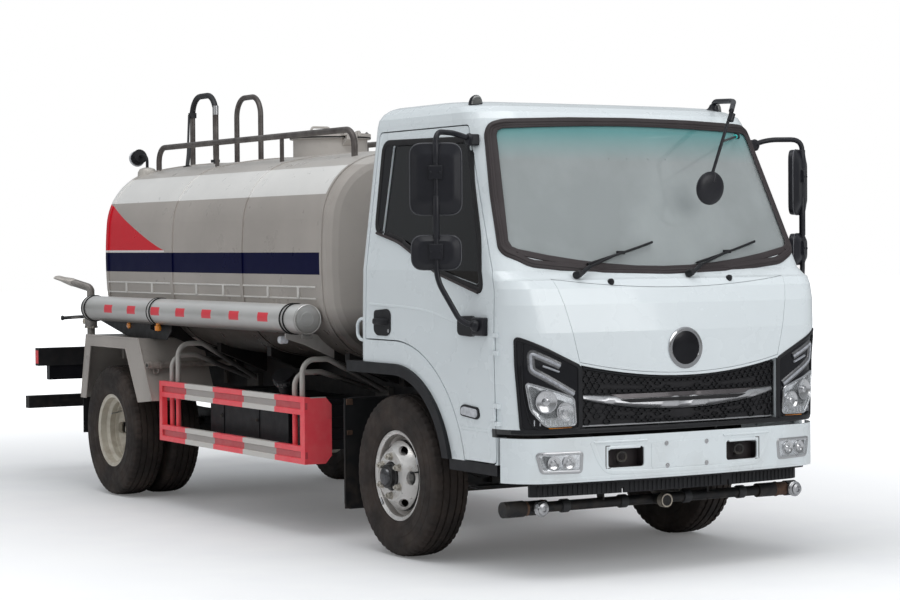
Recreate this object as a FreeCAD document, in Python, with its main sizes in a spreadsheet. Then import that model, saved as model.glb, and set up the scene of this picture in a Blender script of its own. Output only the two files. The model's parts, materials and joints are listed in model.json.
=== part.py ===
import FreeCAD, Part
import math
import os
import Sketcher

# Street sprinkling tanker truck with a tilting cab, an oval water tank and rear dual wheels.
# Millimetres; +X forward, +Y to the truck's left, +Z up.
# The origin is on the ground below the middle of the truck's length.

V = FreeCAD.Vector
os.makedirs("parts", exist_ok=True)
doc = FreeCAD.newDocument("TankerTruck")


# Driving sizes: alias, value, what it is

DRIVING_SIZES = [
    ("wheelbase", 3308, "front axle to rear axle"),
    ("front_overhang", 1130, "front axle to the bumper's face"),
    ("rear_overhang", 1557, "rear axle to the under-run bar's rear face"),
    ("tyre_radius", 387.5, "loaded tyre, so also the axle height"),
    ("tyre_width", 200, "tyre section width"),
    ("rim_radius", 216, "rim flange"),
    ("bead_radius", 203.2, "bead seat of the 16 inch rim"),
    ("rim_width", 140, "between the rim flanges"),
    ("rim_wall", 7, "rim metal"),
    ("disc_offset", 116, "tyre centre plane to the wheel's mounting face"),
    ("disc_wall", 10, "wheel disc metal"),
    ("stud_circle", 205, "wheel nut circle diameter"),
    ("nut_radius", 17, "wheel nut"),
    ("front_wheel_y", 780, "truck centre to the front tyre's centre plane"),
    ("dual_mid_y", 744, "truck centre to the middle of a pair of rear tyres"),
    ("drum_radius", 158, "brake drum"),
    ("kingpin_y", 656, "truck centre to the kingpin"),
    ("kingpin_radius", 15, "kingpin"),
    ("running_gap", 0.05, "radial clearance of pins and bearings"),
    ("seat_gap", 0.3, "gap between curved pieces that sit on each other"),
    ("rail_top", 750, "top of the chassis rails"),
    ("rail_height", 170, "chassis rail section height"),
    ("rail_outer_y", 350, "outer face of the rails"),
    ("rail_flange", 60, "rail flange width"),
    ("rail_wall", 7, "rail metal"),
    ("rail_front", 890, "front axle to the rails' front end"),
    ("rail_rear", 1310, "rear axle to the rails' rear end"),
    ("spring_y", 330, "truck centre to the springs' centre plane"),
    ("spring_width", 60, "leaf width"),
    ("leaf_wall", 9, "thickness of one leaf"),
    ("tank_half_width", 845, "tank section half width"),
    ("tank_half_height", 580, "tank section half height"),
    ("tank_centre_z", 1420, "height of the tank's axis"),
    ("tank_top_radius", 2500, "radius of the tank's top and bottom"),
    ("tank_side_radius", 2300, "radius of the tank's sides"),
    ("tank_corner_radius", 355, "radius of the tank's shoulders"),
    ("tank_front", 780, "front axle back to the tank's front ring"),
    ("tank_rear", 3600, "front axle back to the tank's rear ring"),
    ("head_bulge", 190, "how far the tank's domed heads stand out"),
    ("head_knuckle", 75, "rounding between tank shell and head"),
    ("ring_width", 36, "width of the rings round the tank"),
    ("ring_wall", 6, "how far the rings stand proud"),
    ("manhole_x", 2270, "front axle back to the manhole"),
    ("manhole_radius", 215, "outside of the manhole neck"),
    ("manhole_wall", 8, "neck metal"),
    ("manhole_height", 105, "neck height above the tank's top"),
    ("lid_wall", 16, "manhole lid thickness"),
    ("cab_rear", 360, "front axle back to the cab's rear wall"),
    ("cab_wall", 48, "thickness of cab walls and doors"),
    ("cab_sill_z", 508, "lower edge of the doors"),
    ("nose_x", 1127, "front axle to the cab's face"),
    ("nose_bottom_z", 646, "lower edge of the cab's face"),
    ("nose_top_z", 950, "height where the face starts to lean back"),
    ("cowl_z", 1330, "height of the edge below the windscreen"),
    ("cowl_setback", 100, "how far that edge lies behind the face"),
    ("screen_base_z", 1364, "foot of the windscreen plane"),
    ("screen_base_setback", 158, "foot of the windscreen behind the face"),
    ("header_z", 2055, "top of the windscreen plane"),
    ("header_setback", 428, "top of the windscreen behind the face"),
    ("roof_z", 2150, "top of the roof"),
    ("roof_roll", 110, "how far the roof's edge rounds inwards"),
    ("roof_slope", 400, "how far the roof's front slopes back"),
    ("cab_half_width", 875, "half width at the door handles"),
    ("cab_foot_half_width", 862, "half width at the sills"),
    ("cab_belt_half_width", 868, "half width at the windscreen's foot"),
    ("cab_header_half_width", 780, "half width at the windscreen's top"),
    ("nose_radius", 5000, "plan radius of the cab's face"),
    ("screen_radius", 9000, "plan radius of the windscreen"),
    ("nose_corner", 205, "plan radius of the cab's lower corners"),
    ("belt_corner", 115, "plan radius of the corners at the windscreen's foot"),
    ("header_corner", 190, "plan radius of the corners at the windscreen's top"),
    ("rear_corner", 70, "plan radius of the cab's rear corners"),
    ("arch_centre_z", 400, "height of the wheel arch's centre"),
    ("arch_inner_radius", 467, "inner edge of the arch flare"),
    ("arch_outer_radius", 520, "outer edge of the arch flare"),
    ("door_arch_radius", 627, "arched lower edge of the door"),
    ("flare_y", 886, "truck centre to the flare's outer face"),
    ("liner_y", 590, "truck centre to the arch liner's inner edge"),
    ("liner_wall", 6, "arch liner thickness"),
    ("door_front", 895, "front axle to the door's front edge"),
    ("door_rear", 280, "front axle back to the door's rear edge"),
    ("door_top_z", 2030, "upper edge of the door"),
    ("door_gap", 6, "gap round the doors"),
    ("door_skin", 22, "outer layer of the door, inside it the door is narrower"),
    ("door_rebate", 14, "how much narrower the inner layer is"),
    ("glass_wall", 5, "window glass thickness"),
    ("floor_z", 1000, "top of the cab floor over the axle"),
    ("footwell_z", 840, "top of the cab floor in the footwells"),
    ("floor_wall", 40, "cab floor thickness"),
    ("tilt_x", 1020, "front axle to the cab's tilt pivot"),
    ("tilt_z", 765, "height of the cab's tilt pivot"),
    ("bumper_top_z", 631, "upper edge of the bumper"),
    ("bumper_bottom_z", 432, "lower edge of the bumper"),
    ("bumper_wall", 8, "bumper shell thickness"),
    ("bumper_rear", 925, "front axle to the bumper's ends"),
    ("tube_y", 900, "truck centre to the hose tube's axis"),
    ("tube_z", 1110, "height of the hose tubes"),
    ("tube_radius", 75, "hose tube outside"),
    ("tube_wall", 3, "hose tube metal"),
    ("tube_front", 850, "front axle back to the tube's front end"),
    ("tube_rear", 3700, "front axle back to the tube's rear end"),
    ("guard_y", 922, "truck centre to the side guard's outer face"),
    ("guard_front", 838, "front axle back to the guard's end plate"),
    ("guard_rear", 2650, "front axle back to the guard's rear end"),
    ("guard_top_z", 715, "top of the side guard"),
    ("guard_bottom_z", 375, "bottom of the side guard"),
    ("guard_bar", 90, "height of one guard bar"),
    ("fender_y", 965, "truck centre to the rear fender's outer face"),
    ("fender_top_z", 950, "top of the rear fender"),
    ("fender_wall", 4, "fender metal"),
    ("tail_half_width", 905, "half width of the rear bars"),
    ("tail_bar_depth", 62, "depth of the rear bars"),
    ("tail_bar_z", 830, "top of the upper rear bar"),
    ("under_run_z", 510, "top of the lower rear bar"),
    ("pipe_radius", 24, "spray pipes"),
    ("hand_rail_radius", 17, "top rails and ladder tubes"),
]

sheet = doc.addObject("Spreadsheet::Sheet", "Sizes")
for row, (alias, value, note) in enumerate(DRIVING_SIZES, start=1):
    sheet.set(f"A{row}", note)
    sheet.set(f"B{row}", str(value))
    sheet.setAlias(f"B{row}", alias)
doc.recompute()


class Length:
    """A size that keeps its number together with the sheet formula that gives it."""

    def __init__(self, value, formula=None):
        self.value = float(value)
        self.formula = formula or f"({self.value:.6f})"

    def __float__(self):
        return self.value

    def __add__(self, other):
        other = as_length(other)
        return Length(self.value + other.value, f"({self.formula} + {other.formula})")

    def __sub__(self, other):
        other = as_length(other)
        return Length(self.value - other.value, f"({self.formula} - {other.formula})")

    def __mul__(self, other):
        other = as_length(other)
        return Length(self.value * other.value, f"({self.formula} * {other.formula})")

    def __truediv__(self, other):
        other = as_length(other)
        return Length(self.value / other.value, f"({self.formula} / {other.formula})")

    def __neg__(self):
        return Length(-self.value, f"(0 - {self.formula})")

    def __radd__(self, other):
        return as_length(other) + self

    def __rsub__(self, other):
        return as_length(other) - self

    def __rmul__(self, other):
        return as_length(other) * self

    def __lt__(self, other):
        return self.value < float(other)


def as_length(size):
    return size if isinstance(size, Length) else Length(size)


def bind(obj, path, size):
    """Ties one property or constraint of an object to the sheet."""
    obj.setExpression(path, as_length(size).formula)


class Sizes:
    """The driving sizes by name."""


size = Sizes()
for alias, value, note in DRIVING_SIZES:
    setattr(size, alias, Length(value, f"Sizes.{alias}"))


# Places that follow from the driving sizes

front_axle_x = (size.wheelbase + size.rear_overhang - size.front_overhang) / 2
rear_axle_x = front_axle_x - size.wheelbase
axle_z = size.tyre_radius
rail_bottom = size.rail_top - size.rail_height
tank_top = size.tank_centre_z + size.tank_half_height
tank_bottom = size.tank_centre_z - size.tank_half_height


def from_front(distance):
    """X of a place given by its distance ahead of the front axle."""
    return front_axle_x + distance


# Ways to make the pieces

TURN = {
    "x": FreeCAD.Rotation(V(0, 1, 0), 90),
    "y": FreeCAD.Rotation(V(1, 0, 0), -90),
    "z": FreeCAD.Rotation(),
}
AXIS = {"x": V(1, 0, 0), "y": V(0, 1, 0), "z": V(0, 0, 1)}
nodes = {}


def place(obj, base, rotation=None):
    obj.Placement = FreeCAD.Placement(V(*[float(value) for value in base]), rotation or FreeCAD.Rotation())
    for axis, value in zip("xyz", base):
        bind(obj, f"Placement.Base.{axis}", value)
    return obj


def block(name, x, y, z):
    """Box between two corners; x, y and z are (low, high)."""
    obj = doc.addObject("Part::Box", name)
    for side, (low, high) in zip(("Length", "Width", "Height"), (x, y, z)):
        bind(obj, side, as_length(high) - low)
    return place(obj, (x[0], y[0], z[0]))


def rod(name, axis, start, length, radius):
    """Cylinder along one axis from its start point."""
    obj = doc.addObject("Part::Cylinder", name)
    bind(obj, "Height", length)
    bind(obj, "Radius", radius)
    return place(obj, start, TURN[axis])


def cut(name, base, *tools):
    obj = doc.addObject("Part::Cut", name)
    obj.Base = base
    obj.Tool = tools[0] if len(tools) == 1 else fuse(name + "Tools", *tools)
    return obj


def fuse(name, *pieces):
    obj = doc.addObject("Part::MultiFuse", name)
    obj.Shapes = list(pieces)
    return obj


def common(name, *pieces):
    obj = doc.addObject("Part::MultiCommon", name)
    obj.Shapes = list(pieces)
    return obj


def together(name, *pieces):
    """Pieces of one node that don't touch."""
    obj = doc.addObject("Part::Compound", name)
    obj.Links = list(pieces)
    return obj


def mirrored(name, source, normal=(0, 1, 0)):
    """The same piece on the other side of the truck."""
    obj = doc.addObject("Part::Mirroring", name)
    obj.Source = source
    obj.Base = V(0, 0, 0)
    obj.Normal = V(*normal)
    return obj


def free_shape(name, shape):
    """A piece with a form that primitives and sketches don't give."""
    obj = doc.addObject("Part::Feature", name)
    obj.Shape = shape
    obj.Placement = shape.Placement
    return obj


def node(name, obj):
    """Marks an object as a finished piece of the truck."""
    obj.Label = name
    nodes[name] = obj
    return obj


def sketch_outline(body, plane, points):
    """Closed outline of lines; a point is (across, up), tied to the sheet."""
    sketch = body.newObject("Sketcher::SketchObject", body.Name + "Sketch")
    origin_plane = [item for item in body.Origin.OriginFeatures if item.Role == plane][0]
    sketch.AttachmentSupport = [(origin_plane, "")]
    sketch.MapMode = "FlatFace"
    corners = [V(float(across), float(up), 0) for across, up in points]
    lines = [
        sketch.addGeometry(Part.LineSegment(corner, corners[(index + 1) % len(corners)]), False)
        for index, corner in enumerate(corners)
    ]
    for index, line in enumerate(lines):
        following = lines[(index + 1) % len(lines)]
        sketch.addConstraint(Sketcher.Constraint("Coincident", line, 2, following, 1))
    for line, (across, up) in zip(lines, points):
        for kind, value in (("DistanceX", across), ("DistanceY", up)):
            number = sketch.addConstraint(Sketcher.Constraint(kind, -1, 1, line, 1, float(value)))
            bind(sketch, f"Constraints[{number}]", value)
    return sketch


PLANES = {"x": "YZ_Plane", "y": "XZ_Plane", "z": "XY_Plane"}


def padded(name, axis, points, low, high, rounding=0, rounded_corners=None):
    """Outline drawn square to an axis and padded from low to high along it."""
    body = doc.addObject("PartDesign::Body", name)
    sketch = sketch_outline(body, PLANES[axis], points)
    pad = body.newObject("PartDesign::Pad", name + "Pad")
    pad.Profile = sketch
    bind(pad, "Length", as_length(high) - low)
    pad.Midplane = True
    middle = (as_length(high) + low) / 2
    place(body, [middle if letter == axis else Length(0) for letter in "xyz"])
    doc.recompute()
    if rounding:
        along = AXIS[axis]
        edges = []
        for number, edge in enumerate(pad.Shape.Edges, start=1):
            if edge.Curve.TypeId != "Part::GeomLine" or abs(edge.tangentAt(edge.FirstParameter).dot(along)) < 0.99:
                continue
            spot = edge.Vertexes[0].Point
            flat = [value for value, letter in zip(spot, "xyz") if letter != axis]
            for index, (across, up) in enumerate(points):
                near = math.hypot(flat[0] - float(across), flat[1] - float(up)) < 0.01
                if near and (rounded_corners is None or index in rounded_corners):
                    edges.append(f"Edge{number}")
        fillet = body.newObject("PartDesign::Fillet", name + "Rounding")
        fillet.Base = (pad, edges)
        bind(fillet, "Radius", rounding)
        body.Tip = fillet
        doc.recompute()
    return body


def turned(name, axis, points, centre):
    """Outline of (distance along the axis, radius) turned about that axis at the centre."""
    body = doc.addObject("PartDesign::Body", name)
    sketch = sketch_outline(body, "XY_Plane", points)
    revolution = body.newObject("PartDesign::Revolution", name + "Turn")
    revolution.Profile = sketch
    revolution.ReferenceAxis = (sketch, ["H_Axis"])
    revolution.Angle = 360
    swing = {"x": FreeCAD.Rotation(), "y": FreeCAD.Rotation(V(0, 0, 1), 90), "z": FreeCAD.Rotation(V(0, 1, 0), -90)}
    place(body, centre, swing[axis])
    doc.recompute()
    return body


# Shapes made directly from curves


def vec(x, y, z):
    return V(float(x), float(y), float(z))


def rounded_path(points, bend):
    """Edges of a line through the points with its corners rounded to one radius."""
    points = [vec(*point) for point in points]
    edges = []
    start = points[0]
    for before, corner, after in zip(points, points[1:], points[2:]):
        arriving = (before - corner).normalize()
        leaving = (after - corner).normalize()
        half_angle = arriving.getAngle(leaving) / 2
        reach = float(bend) / math.tan(half_angle)
        first = corner + arriving * reach
        last = corner + leaving * reach
        middle_way = (arriving + leaving).normalize()
        centre = corner + middle_way * (float(bend) / math.sin(half_angle))
        edges.append(Part.makeLine(start, first))
        edges.append(Part.Arc(first, centre - middle_way * float(bend), last).toShape())
        start = last
    edges.append(Part.makeLine(start, points[-1]))
    return edges


def tube(points, radius, bend=60):
    """Round bar bent along a path."""
    path = Part.Wire(rounded_path(points, bend))
    start = vec(*points[0])
    direction = vec(*points[1]) - start
    ring = Part.Wire(Part.makeCircle(float(radius), start, direction))
    return path.makePipeShell([ring], True, True)


def polygon_prism(axis, points, low, high):
    """Straight-sided outline swept along one axis; points are in the other two axes in order."""
    low, high = float(low), float(high)
    corners = []
    for first, second in points:
        if axis == "x":
            corners.append(vec(low, first, second))
        elif axis == "y":
            corners.append(vec(first, low, second))
        else:
            corners.append(vec(first, second, low))
    face = Part.Face(Part.makePolygon(corners + corners[:1]))
    return face.extrude(AXIS[axis] * (high - low))


def merged(*shapes):
    """One shape out of several that overlap or touch."""
    shape = shapes[0].multiFuse(list(shapes[1:])) if len(shapes) > 1 else shapes[0]
    return shape.removeSplitter()


def solid_of(shape):
    """The largest solid of a shape."""
    return max(shape.Solids, key=lambda solid: solid.Volume)


# Chassis frame

rail_back_x = rear_axle_x - size.rail_rear
rail_nose_x = from_front(size.rail_front)
flange_y = size.rail_outer_y - size.rail_flange
web_y = size.rail_outer_y - size.rail_wall


def chassis_frame():
    rail = padded(
        "RailRight",
        "x",
        [
            (-size.rail_outer_y, rail_bottom),
            (-flange_y, rail_bottom),
            (-flange_y, rail_bottom + size.rail_wall),
            (-web_y, rail_bottom + size.rail_wall),
            (-web_y, size.rail_top - size.rail_wall),
            (-flange_y, size.rail_top - size.rail_wall),
            (-flange_y, size.rail_top),
            (-size.rail_outer_y, size.rail_top),
        ],
        rail_back_x,
        rail_nose_x,
    )
    pieces = [rail, mirrored("RailLeft", rail)]
    wall = size.rail_wall
    low = rail_bottom + wall
    high = size.rail_top - wall
    cross_places = [850, 560, -1060, -1480, -2050, -2760, -3880, -4550]
    for number, offset in enumerate(cross_places, start=1):
        face = from_front(offset)
        back = face - 60
        channel = [
            (face, low),
            (face, high),
            (back, high),
            (back, high - wall),
            (face - wall, high - wall),
            (face - wall, low + wall),
            (back, low + wall),
            (back, low),
        ]
        pieces.append(padded(f"CrossMember{number}", "y", channel, -web_y, web_y))
    for name, eye_x, eye_z in spring_eyes():
        pieces.extend(spring_hanger(name, eye_x, eye_z))
    pieces.extend(tilt_brackets())
    pieces.extend(cab_posts())
    node("frame", fuse("Frame", *pieces))


# Each spring: label, axle X, half length, underside at the axle, eye height, number of leaves

SPRINGS = [
    ("Front", front_axle_x, 540, axle_z - 13, 497, 4),
    ("Rear", rear_axle_x, 600, axle_z + 62, 528, 5),
]
EYE_RADIUS = 17
PIN_RADIUS = 9
PLATE = 8


def spring_eyes():
    eyes = []
    for label, axle_x, reach, seat_z, eye_z, leaves in SPRINGS:
        eyes.append((label + "Ahead", axle_x + reach, eye_z))
        eyes.append((label + "Behind", axle_x - reach, eye_z))
    return eyes


def spring_hanger(name, eye_x, eye_z):
    """Two plates and a pin below each rail that carry the end of a spring."""
    inner = size.spring_y - size.spring_width / 2 - size.seat_gap
    outer = size.spring_y + size.spring_width / 2 + size.seat_gap
    outline = [
        (eye_x - 42, rail_bottom),
        (eye_x - 22, eye_z - 24),
        (eye_x + 22, eye_z - 24),
        (eye_x + 42, rail_bottom),
    ]
    cap = block(name + "Cap", (eye_x - 42, eye_x + 42), (inner - PLATE, outer + PLATE), (rail_bottom - 10, rail_bottom))
    near = padded(name + "PlateInner", "y", outline, inner - PLATE, inner)
    far = padded(name + "PlateOuter", "y", outline, outer, outer + PLATE)
    pin = rod(name + "Pin", "y", (eye_x, inner - PLATE, eye_z), outer - inner + 2 * PLATE, PIN_RADIUS)
    left = fuse(name + "HangerLeft", cap, near, far, pin)
    return [left, mirrored(name + "HangerRight", left)]


TILT_PIN = 16
LUG = 14


def tilt_brackets():
    """Plates at the front of the rails with the pins that the cab tilts on."""
    x, z = from_front(size.tilt_x), size.tilt_z
    outline = [
        (rail_nose_x - 150, rail_bottom + 20),
        (rail_nose_x - 30, rail_bottom + 20),
        (x + 28, z - 30),
        (x + 28, z + 20),
        (x - 20, z + 20),
        (rail_nose_x - 60, size.rail_top),
        (rail_nose_x - 150, size.rail_top),
    ]
    plate = padded("TiltPlateLeft", "y", outline, size.rail_outer_y, size.rail_outer_y + 12)
    pin = rod("TiltPinLeft", "y", (x, size.rail_outer_y, z), 12 + 6 + LUG + 10, TILT_PIN)
    left = fuse("TiltBracketLeft", plate, pin)
    return [left, mirrored("TiltBracketRight", left)]


POST_REAR = -296
POST_FRONT = -238


def cab_posts():
    """Posts on the rails that the rear of the cab's floor rests on."""
    top = size.floor_z - size.floor_wall - size.seat_gap
    outline = [
        (from_front(POST_REAR - 40), size.rail_top),
        (from_front(POST_FRONT + 10), size.rail_top),
        (from_front(POST_FRONT), top),
        (from_front(POST_REAR), top),
    ]
    left = padded("CabPostLeft", "y", outline, flange_y + 10, size.rail_outer_y)
    return [left, mirrored("CabPostRight", left)]


# Axles, springs and driveline


def leaf(axle_x, reach, underside, rise, wall, half_width_y):
    """One leaf curved upwards to its ends; rise is how much higher the ends are."""
    radius = (reach**2 + rise**2) / (2 * rise)
    centre = V(axle_x, 0, underside + radius)
    angle = math.asin(reach / radius)
    rim = []
    for ring in (radius, radius - wall):
        rim.append([centre + V(math.sin(turn) * ring, 0, -math.cos(turn) * ring) for turn in (-angle, 0, angle)])
    low, high = rim
    wire = Part.Wire(
        [
            Part.Arc(*low).toShape(),
            Part.makeLine(low[2], high[2]),
            Part.Arc(high[2], high[1], high[0]).toShape(),
            Part.makeLine(high[0], low[0]),
        ]
    )
    face = Part.Face(wire)
    face.translate(V(0, half_width_y[0], 0))
    return face.extrude(V(0, half_width_y[1] - half_width_y[0], 0))


def leaf_springs():
    packs = []
    y = (float(size.spring_y - size.spring_width / 2), float(size.spring_y + size.spring_width / 2))
    wall = float(size.leaf_wall)
    for label, axle_x, reach, seat_z, eye_z, leaves in SPRINGS:
        axle_x, seat_z = float(axle_x), float(seat_z)
        top_underside = seat_z + wall * (leaves - 1)
        rise = eye_z - top_underside - wall / 2
        radius = (reach**2 + rise**2) / (2 * rise)
        stack = []
        for number in range(leaves):
            share = (number + 1) / leaves
            half = 110 + (reach - 110) * share
            drop = radius + wall * (leaves - 1 - number)
            leaf_rise = drop - math.sqrt(drop**2 - half**2)
            stack.append(leaf(axle_x, half, seat_z + wall * number, leaf_rise, wall, y))
        eyes = []
        for side in (-1, 1):
            centre = V(axle_x + side * reach, y[0], eye_z)
            eyes.append(Part.makeCylinder(EYE_RADIUS, y[1] - y[0], centre, V(0, 1, 0)))
        pack = merged(*stack, *eyes)
        for side in (-1, 1):
            centre = V(axle_x + side * reach, y[0] - 1, eye_z)
            pack = pack.cut(Part.makeCylinder(PIN_RADIUS + float(size.seat_gap), y[1] - y[0] + 2, centre, V(0, 1, 0)))
        packs.append(pack)
        packs.append(pack.mirror(V(0, 0, 0), V(0, 1, 0)))
    node("leaf_springs", free_shape("LeafSprings", Part.makeCompound(packs)))


BOSS_HALF = 45
EAR = 24


def front_axle():
    z = axle_z
    king = size.kingpin_y
    shoulder = king - 34
    outline = [
        (-shoulder, z - 38),
        (-560, z - 38),
        (-430, z - 88),
        (430, z - 88),
        (560, z - 38),
        (shoulder, z - 38),
        (shoulder, z + 38),
        (540, z + 38),
        (410, z - 20),
        (-410, z - 20),
        (-540, z + 38),
        (-shoulder, z + 38),
    ]
    pocket = [
        (-shoulder + 30, z - 24),
        (-556, z - 24),
        (-426, z - 74),
        (426, z - 74),
        (556, z - 24),
        (shoulder - 30, z - 24),
        (shoulder - 30, z + 24),
        (544, z + 24),
        (414, z - 34),
        (-414, z - 34),
        (-544, z + 24),
        (-shoulder + 30, z + 24),
    ]
    beam = padded("AxleBeam", "x", outline, front_axle_x - 36, front_axle_x + 36)
    front_pocket = padded("BeamPocketFront", "x", pocket, front_axle_x + 12, front_axle_x + 37)
    back_pocket = padded("BeamPocketBack", "x", pocket, front_axle_x - 37, front_axle_x - 12)
    pieces = [cut("BeamSection", beam, front_pocket, back_pocket)]
    for side, sign in (("Right", -1), ("Left", 1)):
        boss = rod("Boss" + side, "z", (front_axle_x, sign * king, z - BOSS_HALF), 2 * BOSS_HALF, 38)
        pin = rod("Kingpin" + side, "z", (front_axle_x, sign * king, z - 82), 164, size.kingpin_radius)
        seat = block(
            "FrontSpringSeat" + side,
            (front_axle_x - 55, front_axle_x + 55),
            tuple(sorted((sign * (size.spring_y - 34), sign * (size.spring_y + 34)))),
            (z - 60, z - 13),
        )
        pieces.extend([boss, pin, seat])
    node("front_axle", fuse("FrontAxle", *pieces))


def rear_axle():
    end = size.dual_mid_y + 26
    casing = [
        (-end, 0),
        (-end, 38),
        (-560, 38),
        (-560, 52),
        (-250, 62),
        (-165, 140),
        (-80, 172),
        (80, 172),
        (165, 140),
        (250, 62),
        (560, 52),
        (560, 38),
        (end, 38),
        (end, 0),
    ]
    nose = [(0, 0), (0, 120), (150, 105), (250, 62), (330, 50), (330, 0)]
    pieces = [
        turned("AxleCasing", "y", casing, (rear_axle_x, Length(0), axle_z)),
        turned("PinionNose", "x", nose, (rear_axle_x, Length(0), axle_z)),
    ]
    for side, sign in (("Right", -1), ("Left", 1)):
        low, high = sorted((sign * 552, sign * 562))
        pieces.append(rod("BackPlate" + side, "y", (rear_axle_x, Length(low), axle_z), 10, size.drum_radius))
        pieces.append(
            block(
                "RearSpringSeat" + side,
                (rear_axle_x - 60, rear_axle_x + 60),
                tuple(sorted((sign * (size.spring_y - 34), sign * (size.spring_y + 34)))),
                (axle_z + 20, axle_z + 62),
            )
        )
    node("rear_axle", fuse("RearAxle", *pieces))


ENGINE_BACK = -420
GEARBOX_BACK = -1000
GEARBOX_Z = 540
ENGINE_MOUNTS = (-330, 250)


def driveline():
    engine = block(
        "EngineBlock",
        (from_front(ENGINE_BACK), from_front(470)),
        (-270, 270),
        (Length(520), size.floor_z - size.floor_wall - 50),
    )
    shelf = rail_bottom + size.rail_wall + size.seat_gap
    mounts = []
    for number, offset in enumerate(ENGINE_MOUNTS):
        arm = block(f"EngineMount{number}", (from_front(offset), from_front(offset + 60)),
                    (-(web_y - size.seat_gap), -260), (shelf, shelf + 42))
        mounts.extend([arm, mirrored(f"EngineMountLeft{number}", arm)])
    node("engine", fuse("Engine", engine, *mounts))
    casing = [(0, 0), (0, 190), (-120, 180), (-200, 125), (-440, 112), (-500, 70), (-575, 55), (-575, 0)]
    gearbox = turned("Gearbox", "x", casing, (from_front(ENGINE_BACK) - size.seat_gap, Length(0), Length(GEARBOX_Z)))
    joint_front = (from_front(GEARBOX_BACK), Length(0), Length(GEARBOX_Z))
    joint_back = (rear_axle_x + 330, Length(0), axle_z)
    start, end = vec(*joint_front), vec(*joint_back)
    shaft = Part.makeCylinder(38, (end - start).Length, start, end - start)
    flange = Part.makeCylinder(62, 24, start - V(4, 0, 0), V(-1, 0, 0))
    shaft = shaft.fuse(flange).cut(polygon_prism("y", [(float(end.x) - 80, 200), (float(end.x), 200),
                                                       (float(end.x), 600), (float(end.x) - 80, 600)], -100, 100))
    node("driveline", together("Driveline", gearbox, free_shape("PropShaft", shaft)))


# Oval water tank


def tank_corner(inset):
    """Centre of a shoulder arc, from the arcs of the top and the side that it touches."""
    top_radius = float(size.tank_top_radius) - inset
    side_radius = float(size.tank_side_radius) - inset
    corner_radius = float(size.tank_corner_radius) - inset
    top_centre = V(0, float(size.tank_half_height - size.tank_top_radius), 0)
    side_centre = V(float(size.tank_half_width - size.tank_side_radius), 0, 0)
    from_top = top_radius - corner_radius
    from_side = side_radius - corner_radius
    gap = side_centre - top_centre
    along = (from_top**2 - from_side**2 + gap.Length**2) / (2 * gap.Length)
    across = math.sqrt(from_top**2 - along**2)
    direction = V(gap.x, gap.y, 0).normalize()
    normal = V(-direction.y, direction.x, 0)
    found = [top_centre + direction * along + normal * (across * sign) for sign in (1, -1)]
    return max(found, key=lambda point: point.x + point.y), top_centre, side_centre, corner_radius


def tank_wire(x, inset=0, scale=1):
    """Section of the tank at one X, drawn smaller by an inset and then scaled about its axis."""
    x = float(x)
    corner, top_centre, side_centre, corner_radius = tank_corner(inset)
    top_touch = corner + (corner - top_centre).normalize() * corner_radius
    side_touch = corner + (corner - side_centre).normalize() * corner_radius
    halfway = ((top_touch - corner) + (side_touch - corner)).normalize()
    shoulder = corner + halfway * corner_radius
    top = V(0, float(size.tank_half_height) - inset, 0)
    side = V(float(size.tank_half_width) - inset, 0, 0)

    def spot(point, across, up):
        return V(x, point.x * across * scale, float(size.tank_centre_z) + point.y * up * scale)

    arcs = [
        (spot(top_touch, -1, 1), spot(top, 1, 1), spot(top_touch, 1, 1)),
        (spot(top_touch, 1, 1), spot(shoulder, 1, 1), spot(side_touch, 1, 1)),
        (spot(side_touch, 1, 1), spot(side, 1, 1), spot(side_touch, 1, -1)),
        (spot(side_touch, 1, -1), spot(shoulder, 1, -1), spot(top_touch, 1, -1)),
        (spot(top_touch, 1, -1), spot(top, 1, -1), spot(top_touch, -1, -1)),
        (spot(top_touch, -1, -1), spot(shoulder, -1, -1), spot(side_touch, -1, -1)),
        (spot(side_touch, -1, -1), spot(side, -1, 1), spot(side_touch, -1, 1)),
        (spot(side_touch, -1, 1), spot(shoulder, -1, 1), spot(top_touch, -1, 1)),
    ]
    return Part.Wire([Part.Arc(*arc).toShape() for arc in arcs])


tank_front_x = front_axle_x - size.tank_front
tank_rear_x = front_axle_x - size.tank_rear


def tank_length(inset, front, rear):
    """Straight stretch of the tank's section."""
    return Part.Face(tank_wire(rear, inset)).extrude(V(float(front) - float(rear), 0, 0))


def tank_head(x, direction):
    """Domed end of the tank."""
    knuckle = float(size.head_knuckle)
    bulge = float(size.head_bulge)
    wires = []
    for angle in (0, 25, 50, 75):
        turn = math.radians(angle)
        inset = knuckle * (1 - math.cos(turn))
        wires.append(tank_wire(float(x) + direction * knuckle * math.sin(turn), inset))
    inset = knuckle * (1 - math.cos(math.radians(75)))
    reached = knuckle * math.sin(math.radians(75))
    for scale in (0.8, 0.55, 0.25):
        depth = bulge - (bulge - reached) * scale**2
        wires.append(tank_wire(float(x) + direction * depth, inset, scale))
    return Part.makeLoft(wires, True, True)


RING_PLACES = [0, 0.34, 0.67, 1]
HINGE_PIN = 8


def rings(gap):
    """Rings round the tank, drawn larger by a gap on every side."""
    width = float(size.ring_width)
    span = float(tank_front_x - tank_rear_x) - width
    found = []
    for share in RING_PLACES:
        start = float(tank_rear_x) + span * share
        found.append(tank_length(-float(size.ring_wall) - gap, start + width + gap, start - gap))
    return found


def around_tank():
    """The tank with a small gap added, for cutting what sits against it."""
    gap = float(size.seat_gap)
    return merged(
        tank_length(-gap, tank_front_x, tank_rear_x),
        tank_head(float(tank_front_x) + gap, 1),
        tank_head(float(tank_rear_x) - gap, -1),
        *rings(gap),
    )


def lid_hinge():
    """Where the manhole lid's hinge pin lies."""
    base = tank_top + size.manhole_height + size.seat_gap
    return vec(from_front(-size.manhole_x) + size.manhole_radius + 42, 0, base + 16)


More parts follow.
